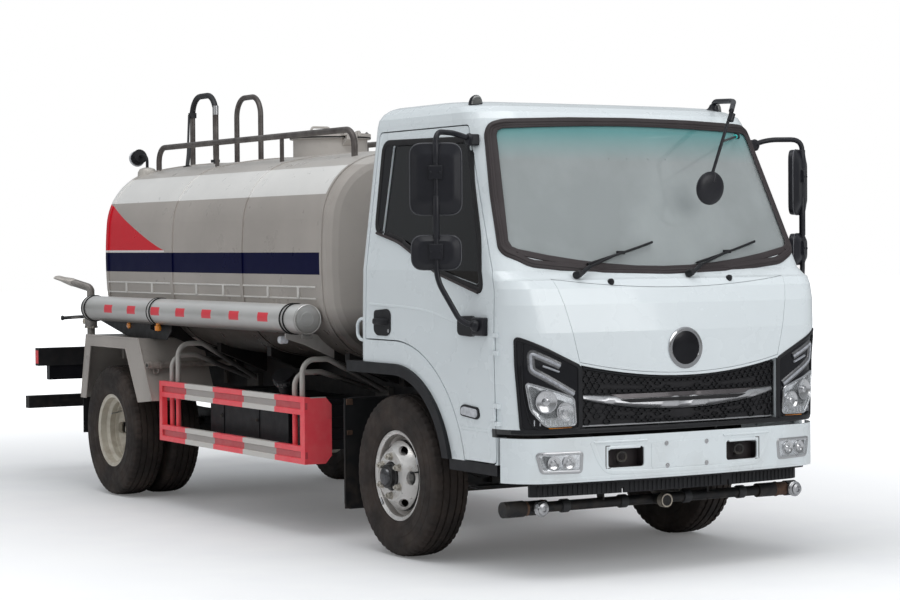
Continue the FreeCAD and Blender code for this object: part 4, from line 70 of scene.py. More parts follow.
PHOTO_WIDTH = 900
FOCAL_PIXELS = 2267.438
SENSOR = 36.0
CAMERA_PLACE = (11.22080783, -6.17490745, 1.48738796)
YAW, PITCH, ROLL = (math.radians(angle) for angle in (149.03324896, -1.42161652, -0.43874058))


def make_camera():
    forward = Vector((math.cos(YAW) * math.cos(PITCH), math.sin(YAW) * math.cos(PITCH), math.sin(PITCH)))
    level = Vector((math.sin(YAW), -math.cos(YAW), 0))
    upright = level.cross(forward)
    right = level * math.cos(ROLL) + upright * math.sin(ROLL)
    up = right.cross(forward)
    data = bpy.data.cameras.new("Camera")
    data.sensor_width = SENSOR
    data.lens = FOCAL_PIXELS / PHOTO_WIDTH * SENSOR
    data.clip_start, data.clip_end = 0.1, 200
    camera = bpy.data.objects.new("Camera", data)
    bpy.context.scene.collection.objects.link(camera)
    turn = Matrix((right, up, -forward)).transposed()
    camera.matrix_world = Matrix.Translation(CAMERA_PLACE) @ turn.to_4x4()
    bpy.context.scene.camera = camera


make_camera()


# Node helpers for materials

SOFT_EDGE = 0.0008


class Graph:
    """A material's nodes, with short calls for the ones that repeat."""

    def __init__(self, name):
        self.material = bpy.data.materials.new(name)
        self.material.use_nodes = True
        self.tree = self.material.node_tree
        self.shader = self.tree.nodes["Principled BSDF"]
        self.place = self.tree.nodes.new("ShaderNodeTexCoord").outputs["Object"]
        self.parts = None

    def feed(self, socket, value):
        if isinstance(value, bpy.types.NodeSocket):
            self.tree.links.new(value, socket)
        elif isinstance(value, tuple):
            socket.default_value = (*value, 1.0)[:4]
        else:
            socket.default_value = value

    def set(self, **values):
        for key, value in values.items():
            self.feed(self.shader.inputs[key.replace("_", " ")], value)

    def axis(self, letter):
        if self.parts is None:
            self.parts = self.tree.nodes.new("ShaderNodeSeparateXYZ")
            self.tree.links.new(self.place, self.parts.inputs[0])
        return self.parts.outputs[letter.upper()]

    def math(self, operation, first, second=0.0, third=0.0):
        made = self.tree.nodes.new("ShaderNodeMath")
        made.operation = operation
        for socket, value in zip(made.inputs, (first, second, third)):
            self.feed(socket, value)
        return made.outputs[0]

    def add(self, first, second):
        return self.math("ADD", first, second)

    def less(self, first, second):
        return self.math("SUBTRACT", first, second)

    def both(self, *shares):
        """Product of some shares."""
        product = shares[0]
        for share in shares[1:]:
            product = self.math("MULTIPLY", product, share)
        return product

    def rest(self, share):
        return self.less(1.0, share)

    def aside(self):
        """Distance from the truck's middle plane."""
        return self.math("ABSOLUTE", self.axis("y"))

    def reach(self, first, second):
        """Length of two sides at a right angle."""
        squares = self.add(self.math("POWER", first, 2.0), self.math("POWER", second, 2.0))
        return self.math("POWER", squares, 0.5)

    def clamp(self, value):
        made = self.tree.nodes.new("ShaderNodeClamp")
        self.feed(made.inputs[0], value)
        return made.outputs[0]

    def above(self, value, limit):
        """0 below a limit and 1 above it, with a narrow soft edge."""
        return self.clamp(self.math("DIVIDE", self.less(value, limit), SOFT_EDGE))

    def below(self, value, limit):
        return self.rest(self.above(value, limit))

    def between(self, value, low, high):
        return self.both(self.above(value, low), self.below(value, high))

    def mix(self, share, first, second):
        made = self.tree.nodes.new("ShaderNodeMix")
        made.data_type = "RGBA"
        self.feed(made.inputs["Factor"], share)
        self.feed(made.inputs[6], first)
        self.feed(made.inputs[7], second)
        return made.outputs[2]

    def noise(self, scale, detail=4.0, stretch=None):
        made = self.tree.nodes.new("ShaderNodeTexNoise")
        made.inputs["Scale"].default_value = scale
        made.inputs["Detail"].default_value = detail
        source = self.place
        if stretch:
            mapping = self.tree.nodes.new("ShaderNodeMapping")
            mapping.inputs["Scale"].default_value = stretch
            self.tree.links.new(source, mapping.inputs[0])
            source = mapping.outputs[0]
        self.tree.links.new(source, made.inputs["Vector"])
        return made.outputs["Fac"]

    def remap(self, value, low, high, to_low, to_high):
        made = self.tree.nodes.new("ShaderNodeMapRange")
        for socket, number in zip(list(made.inputs)[1:5], (low, high, to_low, to_high)):
            socket.default_value = number
        self.tree.links.new(value, made.inputs[0])
        return made.outputs[0]

    def cloud(self, scale, detail=4.0, low=0.0, high=1.0, start=0.3, end=0.7, stretch=None):
        """Uneven value from low to high."""
        return self.remap(self.noise(scale, detail, stretch), start, end, low, high)

    def bump(self, height, strength, distance):
        made = self.tree.nodes.new("ShaderNodeBump")
        made.inputs["Strength"].default_value = strength
        made.inputs["Distance"].default_value = distance
        self.tree.links.new(height, made.inputs["Height"])
        self.tree.links.new(made.outputs[0], self.shader.inputs["Normal"])

    def threads(self):
        """Woven pattern of a seat cover."""
        made = self.tree.nodes.new("ShaderNodeTexWave")
        made.inputs["Scale"].default_value = 160.0
        made.inputs["Distortion"].default_value = 1.5
        self.tree.links.new(self.place, made.inputs["Vector"])
        return made.outputs["Fac"]


def shade(colour, factor):
    return tuple(min(1.0, channel * factor) for channel in colour)


# Paints

CAB_WHITE = (0.74, 0.79, 0.81)
TANK_SIDE = (0.40, 0.365, 0.335)
TANK_LIGHT = (0.78, 0.765, 0.74)
TANK_TOP = (0.50, 0.47, 0.44)
TANK_DIRT = (0.14, 0.12, 0.10)
# painted shade: near-black colour for the underside of the tank
TANK_SHADE_BELOW = (0.045, 0.038, 0.033)
PALE_EDGE = (0.7, 0.68, 0.66)
NAVY = (0.003, 0.004, 0.034)
RED = (0.66, 0.014, 0.028)
BLACK = (0.010, 0.010, 0.011)
ROAD_DIRT = (0.22, 0.18, 0.14)

STRIPE_LOW, STRIPE_HIGH = 1.335, 1.448
LINE_LOW, LINE_HIGH = 1.450, 1.462
LIGHT_FROM, TOP_FROM = 1.745, 1.893
SHELL_FRONT, SHELL_REAR, REAR_HEAD = at(-0.80), at(-3.6), 0.18
TRIANGLE_LENGTH, TRIANGLE_CURVE = 0.86, 1.18
FENDER_FROM, FENDER_REAR, FENDER_FRONT, FENDER_TOP = 0.555, at(-3.76), at(-2.64), 0.956


def finish_of(name, colour, rough, metal=0.0, spread=0.12, scale=5.0, bump=0.15, grain=220.0, coat=0.0,
              dirt=0.0, dirt_colour=ROAD_DIRT, dirt_top=0.9, specular=0.5):
    """Material with uneven colour, uneven gloss, fine grain and road dirt that thins out upwards."""
    graph = Graph(name)
    tint = graph.mix(graph.cloud(scale), shade(colour, 1 - spread), shade(colour, 1 + spread))
    gloss = graph.cloud(scale * 3, 4.0, max(0.02, rough - 0.06), min(1.0, rough + 0.08))
    if dirt:
        height = graph.remap(graph.axis("z"), 0.1, dirt_top, 1.0, 0.0)
        spots = graph.cloud(scale * 2.6, 8.0, start=0.42, end=0.72)
        share = graph.both(height, spots, dirt)
        tint = graph.mix(graph.clamp(share), tint, dirt_colour)
        gloss = graph.add(gloss, graph.both(share, 0.3))
    graph.set(Base_Color=tint, Roughness=gloss, Metallic=metal, Specular_IOR_Level=specular)
    if coat:
        graph.set(Coat_Weight=coat, Coat_Roughness=0.06)
    if bump:
        graph.bump(graph.noise(grain, 2.0), bump, 0.0006)
    return graph.material


def tank_paint():
    """Beige grey shell with a light top, a navy stripe, a red corner that runs out in a curve, and painted
    shade that darkens its underside.
    """
    graph = Graph("tank_paint")
    x, z = graph.axis("x"), graph.axis("z")
    on_shell = graph.between(x, SHELL_REAR - REAR_HEAD, SHELL_FRONT)
    light = graph.both(graph.above(z, LIGHT_FROM), graph.below(x, SHELL_FRONT))
    cloud = graph.cloud(2.2, 6.0)
    side = graph.mix(cloud, shade(TANK_SIDE, 0.9), shade(TANK_SIDE, 1.1))
    band = graph.mix(cloud, shade(TANK_LIGHT, 0.94), shade(TANK_LIGHT, 1.05))
    top = graph.mix(cloud, shade(TANK_TOP, 0.94), shade(TANK_TOP, 1.06))
    colour = graph.mix(light, side, band)
    colour = graph.mix(graph.above(z, TOP_FROM), colour, top)
    along = graph.math("DIVIDE", graph.less(x, SHELL_REAR), TRIANGLE_LENGTH)
    fall = graph.math("POWER", graph.clamp(graph.rest(along)), TRIANGLE_CURVE)
    reach = graph.math("MULTIPLY_ADD", fall, LIGHT_FROM - LINE_HIGH, LINE_HIGH)
    in_corner = graph.both(on_shell, graph.below(along, 1.0))
    red = graph.both(graph.between(z, LINE_HIGH, LIGHT_FROM), graph.below(graph.less(z, reach), 0.0),
                     in_corner)
    colour = graph.mix(red, colour, RED)
    line = graph.both(graph.between(z, LINE_LOW, LINE_HIGH), in_corner)
    colour = graph.mix(line, colour, PALE_EDGE)
    stripe = graph.both(graph.between(z, STRIPE_LOW, STRIPE_HIGH), on_shell)
    colour = graph.mix(stripe, colour, NAVY)
    streaks = graph.cloud(3.0, 5.0, 0.0, 0.35, 0.5, 0.75, (1.0, 1.0, 0.15))
    low = graph.clamp(graph.remap(z, 0.85, 1.3, 1.0, 0.0))
    colour = graph.mix(graph.both(streaks, low), colour, TANK_DIRT)
    outboard = graph.above(graph.aside(), FENDER_FROM)
    fender = graph.both(outboard, graph.between(x, FENDER_REAR, FENDER_FRONT), graph.below(z, FENDER_TOP))
    # painted shade: the tank goes nearly black towards its underside, where shade falls, except over the
    # fenders
    shade_below = graph.both(graph.remap(z, 1.03, 1.17, 0.92, 0.0), graph.rest(fender))
    colour = graph.mix(shade_below, colour, TANK_SHADE_BELOW)
    shine = graph.math("MULTIPLY_ADD", stripe, -0.20, 0.25)
    graph.set(Base_Color=colour, Roughness=graph.cloud(9.0, 4.0, 0.26, 0.40), Specular_IOR_Level=shine)
    graph.bump(graph.noise(14.0, 2.0), 0.12, 0.002)
    return graph.material


GUARD_FACE, GUARD_INNER = 0.885, 0.80
GROOVE_HALF = 0.017


def guard_paint():
    """Red bars with pale grey lengths between and painted shade in their grooves, and grey stay tubes
    darkened with painted shade behind them.
    """
    graph = Graph("guard_paint")
    x, y, z = graph.axis("x"), graph.aside(), graph.axis("z")
    pale = graph.math("MAXIMUM", graph.between(x, at(-2.30), at(-1.93)),
                      graph.between(x, at(-1.56), at(-1.18)))
    pale = graph.both(pale, graph.above(y, GUARD_FACE))
    tubes = graph.both(graph.below(y, GUARD_FACE + 0.004), graph.above(z, 0.71))
    front_stay = graph.both(graph.below(y, GUARD_INNER), graph.above(graph.both(x, -1.0), -at(-0.87)))
    grey = graph.clamp(graph.add(tubes, front_stay))
    worn = graph.cloud(16.0, 6.0, 0.0, 0.35, 0.35)
    red = graph.mix(worn, (0.95, 0.075, 0.10), (0.95, 0.20, 0.20))
    colour = graph.mix(pale, red, (0.66, 0.63, 0.59))
    colour = graph.mix(grey, colour, (0.46, 0.44, 0.41))
    # painted shade on the stay tubes behind the bars, darker further inboard
    shaded = graph.both(graph.above(z, 0.60), graph.remap(y, 0.60, GUARD_INNER, 1.0, 0.0), 0.92)
    colour = graph.mix(shaded, colour, (0.02, 0.018, 0.017))
    # painted shade: the recessed grooves along the bars are darkened
    low, high = (graph.between(z, middle - GROOVE_HALF, middle + GROOVE_HALF) for middle in (0.42, 0.67))
    groove = graph.both(graph.between(y, 0.905, 0.9185), graph.math("MAXIMUM", low, high), 0.42)
    colour = graph.mix(groove, colour, (0.10, 0.05, 0.05))
    graph.set(Base_Color=colour, Roughness=graph.cloud(30.0, 4.0, 0.32, 0.5), Coat_Weight=0.15)
    graph.bump(graph.noise(60.0, 3.0), 0.12, 0.001)
    return graph.material


DASH_STEP, DASH_LENGTH, FIRST_DASH = 0.3455, 0.120, at(-1.204) - 0.060


def tube_metal():
    """Silver tubes with a painted highlight along the top and painted shade below, with red reflective dashes
    along their outer sides.
    """
    graph = Graph("tube_metal")
    x, y, z = graph.axis("x"), graph.aside(), graph.axis("z")
    step = graph.add(x, 20 * DASH_STEP - FIRST_DASH)
    dashes = graph.between(graph.math("MODULO", step, DASH_STEP), 0.0, DASH_LENGTH)
    dashes = graph.both(dashes, graph.between(z, 1.092, 1.139), graph.above(y, 0.95))
    dashes = graph.both(dashes, graph.between(x, at(-3.40), at(-1.0)))
    metal = graph.cloud(5.0, 5.0, stretch=(0.2, 1.0, 1.0))
    colour = graph.mix(metal, (0.52, 0.51, 0.49), (0.68, 0.67, 0.65))
    # painted shade: the lower part of each tube is darkened
    colour = graph.mix(graph.remap(z, 1.045, 1.105, 0.72, 0.0), colour, (0.16, 0.14, 0.125))
    # painted highlight: the top of each tube is lightened
    colour = graph.mix(graph.remap(z, 1.130, 1.165, 0.0, 0.8), colour, (0.86, 0.85, 0.83))
    colour = graph.mix(dashes, colour, (0.74, 0.04, 0.06))
    graph.set(Base_Color=colour, Roughness=graph.cloud(12.0, 4.0, 0.30, 0.44))
    graph.set(Metallic=graph.less(0.6, graph.both(dashes, 0.6)))
    graph.bump(graph.noise(40.0, 3.0, (0.15, 1.0, 1.0)), 0.08, 0.001)
    return graph.material


def rail_paint():
    """Worn grey tube paint, darker on the rails and hoops above the tank."""
    graph = Graph("rail_paint")
    blotches = graph.cloud(12.0, 6.0, start=0.35)
    low = graph.mix(blotches, (0.20, 0.185, 0.17), (0.30, 0.28, 0.26))
    high = graph.mix(blotches, (0.075, 0.062, 0.058), (0.16, 0.145, 0.135))
    colour = graph.mix(graph.above(graph.axis("z"), 1.93), low, high)
    graph.set(Base_Color=colour, Roughness=0.4, Metallic=0.3, Specular_IOR_Level=0.4)
    graph.bump(graph.noise(60.0), 0.15, 0.0008)
    return graph.material


def rim_paint():
    """Bright steel wheel with painted shade inside behind the disc, and dark on the hub."""
    graph = Graph("front_rim_paint")
    radius = graph.reach(graph.less(graph.axis("x"), AXLE), graph.less(graph.axis("z"), WHEEL_Z))
    depth = graph.less(graph.aside(), FRONT_WHEEL_Y)
    colour = graph.mix(graph.cloud(14.0, 6.0, start=0.35), (0.56, 0.54, 0.52), (0.72, 0.70, 0.68))
    colour = graph.mix(graph.cloud(26.0, 8.0, 0.0, 0.5, 0.55, 0.75), colour, (0.28, 0.22, 0.17))
    lip = graph.both(graph.remap(radius, 0.166, 0.180, 0.0, 0.35), graph.below(depth, 0.072))
    colour = graph.mix(lip, colour, (0.20, 0.16, 0.13))
    # painted shade: the rim's inside behind the disc is nearly black and less metallic
    inside = graph.both(graph.below(radius, 0.171), graph.below(depth, 0.0605))
    colour = graph.mix(inside, colour, (0.012, 0.011, 0.011))
    colour = graph.mix(graph.below(radius, 0.0695), colour, (0.03, 0.028, 0.027))
    graph.set(Base_Color=colour, Roughness=graph.cloud(30.0, 4.0, 0.24, 0.42))
    graph.set(Metallic=graph.math("MULTIPLY_ADD", inside, -0.45, 0.45))
    graph.bump(graph.noise(70.0), 0.1, 0.0006)
    return graph.material


def cradle_paint():
    """Black bearers and saddles; the front tube brackets are grey."""
    graph = Graph("cradle_paint")
    ahead, high = graph.above(graph.axis("x"), at(-1.5)), graph.above(graph.axis("z"), 0.8)
    grey = graph.both(graph.above(graph.aside(), 0.66), ahead, high)
    blotches = graph.cloud(9.0, 6.0, start=0.35)
    black = graph.mix(blotches, (0.008, 0.008, 0.009), (0.022, 0.019, 0.017))
    colour = graph.mix(grey, black, graph.mix(blotches, (0.34, 0.32, 0.30), (0.44, 0.42, 0.40)))
    graph.set(Base_Color=colour, Roughness=0.5, Specular_IOR_Level=0.3)
    graph.bump(graph.noise(60.0), 0.2, 0.0008)
    return graph.material


BAND_FROM, BAND_TO = 1.86, 2.0


def glass(name, colour, cover, band=None, coat=1.0):
    """Thin window glass; a windscreen has a tinted band along its top."""
    graph = Graph(name)
    tint, seen = colour, cover
    if band:
        z = graph.axis("z")
        tint = graph.mix(graph.remap(z, BAND_FROM, BAND_TO, 0.0, 1.0), colour, band)
        seen = graph.remap(z, BAND_FROM, BAND_TO, cover, min(1.0, cover + 0.28))
        # painted reflection: the glass's opaque share is raised in uneven patches
        seen = graph.clamp(graph.add(seen, graph.cloud(1.7, 5.0, 0.0, 0.22, 0.4, 0.75)))
    graph.set(Base_Color=tint, Alpha=seen, Roughness=0.04, Coat_Weight=coat, Coat_Roughness=0.02)
    return graph.material


def tyre_rubber():
    """Brownish black tyre rubber with dust in its grain."""
    graph = Graph("tyre_rubber")
    dust = graph.cloud(7.0, 8.0, 0.0, 0.5, 0.4, 0.75)
    tint = graph.mix(dust, (0.022, 0.017, 0.015), (0.085, 0.062, 0.05))
    graph.set(Base_Color=tint, Roughness=graph.cloud(25.0, 4.0, 0.6, 0.85), Specular_IOR_Level=0.3)
    graph.bump(graph.noise(300.0, 2.0), 0.25, 0.0008)
    return graph.material


def cloth(name, colour):
    """Woven seat cover with a visible thread pattern."""
    graph = Graph(name)
    tint = graph.mix(graph.cloud(9.0), shade(colour, 0.85), shade(colour, 1.15))
    graph.set(Base_Color=tint, Roughness=0.8, Sheen_Weight=0.4, Coat_Weight=0.35, Coat_Roughness=0.18)
    graph.bump(graph.threads(), 0.3, 0.0008)
    return graph.material


def film_cover(name, colour):
    """Seat cloth under clear film, with painted highlights along the film's creases."""
    graph = Graph(name)
    folds = graph.noise(11.0, 6.0, (1.0, 1.0, 0.35))
    # painted highlight: the colour turns pale grey along the creases of the film
    shine = graph.remap(folds, 0.50, 0.62, 0.0, 0.45)
    weave = graph.mix(graph.threads(), shade(colour, 0.92), shade(colour, 1.04))
    tint = graph.mix(shine, weave, (0.80, 0.81, 0.82))
    graph.set(Base_Color=tint, Roughness=0.5, Coat_Weight=0.8, Coat_Roughness=0.12)
    graph.bump(folds, 0.7, 0.012)
    return graph.material


def cab_paint():
    """Clean white paint with a little road dust low down; the cab's lower front edge is black."""
    graph = Graph("cab_paint")
    x, z = graph.axis("x"), graph.axis("z")
    tint = graph.mix(graph.cloud(1.5), shade(CAB_WHITE, 0.985), shade(CAB_WHITE, 1.015))
    spots = graph.cloud(4.0, 8.0, 0.0, 0.30, 0.45, 0.75)
    tint = graph.mix(graph.both(graph.remap(z, 0.35, 0.80, 1.0, 0.0), spots), tint, (0.30, 0.25, 0.20))
    edge = graph.both(graph.between(z, 0.630, 0.668), graph.above(x, at(0.86)))
    tint = graph.mix(edge, tint, (0.012, 0.012, 0.013))
    graph.set(Base_Color=tint, Roughness=graph.cloud(5.0, 4.0, 0.24, 0.32), Coat_Weight=0.4,
              Coat_Roughness=0.06)
    graph.bump(graph.noise(60.0, 2.0), 0.02, 0.0006)
    return graph.material


BLACK_PAINT = finish_of("chassis_paint", BLACK, 0.45, spread=0.3, scale=8.0, dirt=0.35, specular=0.3,
                        dirt_colour=(0.11, 0.085, 0.065))
CAST_METAL = finish_of("cast_metal", (0.055, 0.052, 0.05), 0.62, metal=0.4, spread=0.3, scale=9.0, bump=0.5,
                       grain=90.0, dirt=0.6)
BLACK_TRIM = finish_of("black_plastic", (0.011, 0.011, 0.013), 0.45, spread=0.2, bump=0.35, grain=420.0,
                       specular=0.3)
FLAP_RUBBER = finish_of("flap_rubber", (0.013, 0.013, 0.014), 0.6, spread=0.25, bump=0.3, dirt=0.5,
                        dirt_top=0.6, specular=0.3, dirt_colour=(0.13, 0.10, 0.08))
LAMP_BLACK = finish_of("lamp_housing", (0.009, 0.009, 0.011), 0.20, spread=0.2, bump=0.0, coat=0.15,
                       specular=0.2)
WHITE_PAINT = cab_paint()
TANK_PAINT = tank_paint()
TUBE_SILVER = tube_metal()
TYRE_RUBBER = tyre_rubber()
MATERIALS = {
    "cab_white": WHITE_PAINT,
    "tank_grey": TANK_PAINT,
    "chassis_black": BLACK_PAINT,
    "cast_metal": CAST_METAL,
    "exhaust_steel": finish_of("exhaust_steel", (0.20, 0.17, 0.15), 0.5, metal=0.7, spread=0.3, bump=0.3,
                               dirt=0.6),
    "black_plastic": BLACK_TRIM,
    "rail_grey": rail_paint(),
    "tube_silver": TUBE_SILVER,
    "guard_red": guard_paint(),
    "flap_rubber": FLAP_RUBBER,
    "lamp_lens": LAMP_BLACK,
    # painted reflection: the windscreen's partly opaque grey colour stands for the sky reflected in the glass
    "clear_glass": glass("screen_glass", (0.50, 0.54, 0.54), 0.46, (0.14, 0.36, 0.36)),
    "dark_glass": glass("door_glass", (0.006, 0.006, 0.007), 0.92, coat=0.12),
    "inside_grey": finish_of("dash_plastic", (0.10, 0.10, 0.11), 0.6, spread=0.1, bump=0.4, grain=300.0),
    "seat_cloth": cloth("seat_cloth", (0.16, 0.165, 0.18)),
    "wheel_grey": finish_of("front_wheel_paint", (0.82, 0.80, 0.775), 0.34, metal=0.1, spread=0.06,
                            scale=10.0, dirt=0.22, dirt_colour=(0.30, 0.20, 0.13)),
    "wheel_cream": finish_of("rear_wheel_paint", (0.56, 0.52, 0.44), 0.4, metal=0.1, spread=0.1, scale=10.0,
                             dirt=0.5, dirt_colour=(0.25, 0.17, 0.11)),
    "tyre_rubber": TYRE_RUBBER,
}
SEAL = finish_of("seal_rubber", (0.038, 0.030, 0.031), 0.55, spread=0.15, bump=0.2, grain=200.0,
                 specular=0.35)
REVEAL_BLACK = finish_of("lining_black", (0.016, 0.015, 0.016), 0.6, spread=0.1, bump=0.2, specular=0.3)
MIRROR_BLACK = finish_of("mirror_plastic", (0.011, 0.011, 0.015), 0.38, spread=0.2, bump=0.3, grain=380.0,
                         specular=0.35)
# painted highlight: a grey rim that lightens the edge of each mirror head
MIRROR_EDGE_HIGHLIGHT = finish_of("mirror_rim", (0.11, 0.11, 0.12), 0.3, spread=0.1, bump=0.1)
SMOKED_LENS = finish_of("smoked_lens", (0.10, 0.10, 0.095), 0.2, spread=0.5, scale=60.0, bump=0.6,
                        grain=160.0, coat=1.0)
# painted glint: teal colour of the front mirror's strut joint
JOINT_TEAL_GLINT = finish_of("joint_green", (0.02, 0.48, 0.44), 0.3, spread=0.1, bump=0.1)
SEAM_GREY = finish_of("seam_cord", (0.30, 0.30, 0.29), 0.7, spread=0.1, bump=0.3)
CHROME = finish_of("bright_trim", (0.55, 0.55, 0.56), 0.16, metal=1.0, spread=0.04, bump=0.0)
SATIN_SILVER = finish_of("silver_trim", (0.46, 0.46, 0.47), 0.30, metal=0.85, spread=0.05, bump=0.1)
REFLECTOR = finish_of("lamp_reflector", (0.72, 0.73, 0.75), 0.10, metal=1.0, spread=0.15, scale=40.0,
                      bump=0.9, grain=70.0)
LENS_WHITE = finish_of("white_lens", (0.52, 0.53, 0.56), 0.15, spread=0.2, scale=50.0, bump=0.5, grain=120.0,
                       coat=0.6)
LENS_AMBER = finish_of("amber_lens", (0.85, 0.28, 0.02), 0.2, spread=0.1, bump=0.2, coat=1.0)
NUT_YELLOW = finish_of("nut_plating", (0.50, 0.42, 0.22), 0.35, metal=0.6, spread=0.25, scale=30.0, dirt=0.3)
BRASS = finish_of("nozzle_metal", (0.40, 0.36, 0.30), 0.4, metal=0.7, spread=0.3, scale=20.0, dirt=0.4)
RUST = finish_of("rusty_pipe", (0.10, 0.055, 0.035), 0.7, metal=0.2, spread=0.4, scale=20.0, bump=0.5,
                 grain=80.0)
MIRROR = finish_of("mirror_face", (0.85, 0.87, 0.88), 0.02, metal=1.0, spread=0.01, bump=0.0)
HOSE_BLACK = finish_of("hose_black", (0.02, 0.02, 0.022), 0.5, spread=0.2, bump=0.2)
LINER = finish_of("headliner", (0.42, 0.42, 0.41), 0.9, spread=0.05, bump=0.4, grain=250.0)
HUB_BLACK = finish_of("hub_black", (0.022, 0.021, 0.021), 0.35, metal=0.3, spread=0.4, scale=30.0, bump=0.3)
HUB_METAL = finish_of("hub_metal", (0.10, 0.10, 0.105), 0.22, metal=0.8, spread=0.3, scale=30.0)
HUB_GREY = finish_of("nut_metal", (0.46, 0.43, 0.38), 0.30, metal=0.6, spread=0.25, scale=30.0)
STRIP_BED = finish_of("strip_bed", (0.16, 0.16, 0.165), 0.3, metal=0.6, spread=0.2, scale=30.0)
STRIP_LENS = finish_of("strip_lens", (0.36, 0.37, 0.40), 0.18, spread=0.3, scale=70.0, bump=0.5, grain=150.0,
                       coat=0.5)
# painted shade: near-black bed behind the open grille cells
GRILLE_SHADE_BED = finish_of("grille_bed", (0.014, 0.013, 0.015), 0.5, spread=0.3, scale=30.0, bump=0.2, specular=0.3)
WING_GREY = finish_of("wing_grey", (0.105, 0.095, 0.098), 0.28, metal=0.5, spread=0.1, bump=0.1)
PIPE_GREY = finish_of("worn_pipe", (0.34, 0.30, 0.27), 0.5, metal=0.3, spread=0.35, scale=24.0, bump=0.4,
                      grain=90.0)
CAP_BLACK = finish_of("cap_plastic", (0.022, 0.022, 0.024), 0.28, spread=0.2, bump=0.2, coat=0.5,
                      specular=0.5)
BAND_BLACK = finish_of("strap_rubber", (0.012, 0.012, 0.012), 0.55, spread=0.1, bump=0.2, specular=0.25)
PALE_LINE = finish_of("pale_line", (0.62, 0.60, 0.57), 0.4, spread=0.1, bump=0.1)
REFLECTIVE_RED = finish_of("red_reflective", (0.80, 0.05, 0.06), 0.3, spread=0.1, scale=90.0, bump=0.3,
                           grain=600.0)
NOZZLE_PALE = finish_of("nozzle_paint", (0.50, 0.47, 0.43), 0.45, metal=0.2, spread=0.2, scale=20.0)
GLASS_CLEAR = glass("lamp_cover", (0.75, 0.78, 0.80), 0.12)
SEAT_COVER = film_cover("seat_cover", (0.62, 0.60, 0.55))
SEAT_FILM = film_cover("seat_film", (0.34, 0.35, 0.36))
CRADLE_PAINT = cradle_paint()
FRONT_RIM_PAINT = rim_paint()


def dress_nodes():
    """Gives every node of the model the material that its slot names."""
    slots = {part["node"]: part["material_slot"] for part in frame["record"]["subparts"]}
    for name, obj in nodes.items():
        material = CRADLE_PAINT if name == "tank_cradle" else MATERIALS[slots[name]]
        if not obj.data.materials:
            obj.data.materials.append(material)
        for slot in obj.material_slots:
            slot.material = material


dress_nodes()


# Mesh helpers


def turned_to(direction):
    return Vector(direction).normalized().to_track_quat("Z", "Y").to_matrix()


def circle(count, share=0.0):
    """(cos, sin) of evenly spread angles, the first one a share of a step on from zero."""
    angles = [2 * math.pi * (step + share) / count for step in range(count)]
    return [(math.cos(angle), math.sin(angle)) for angle in angles]


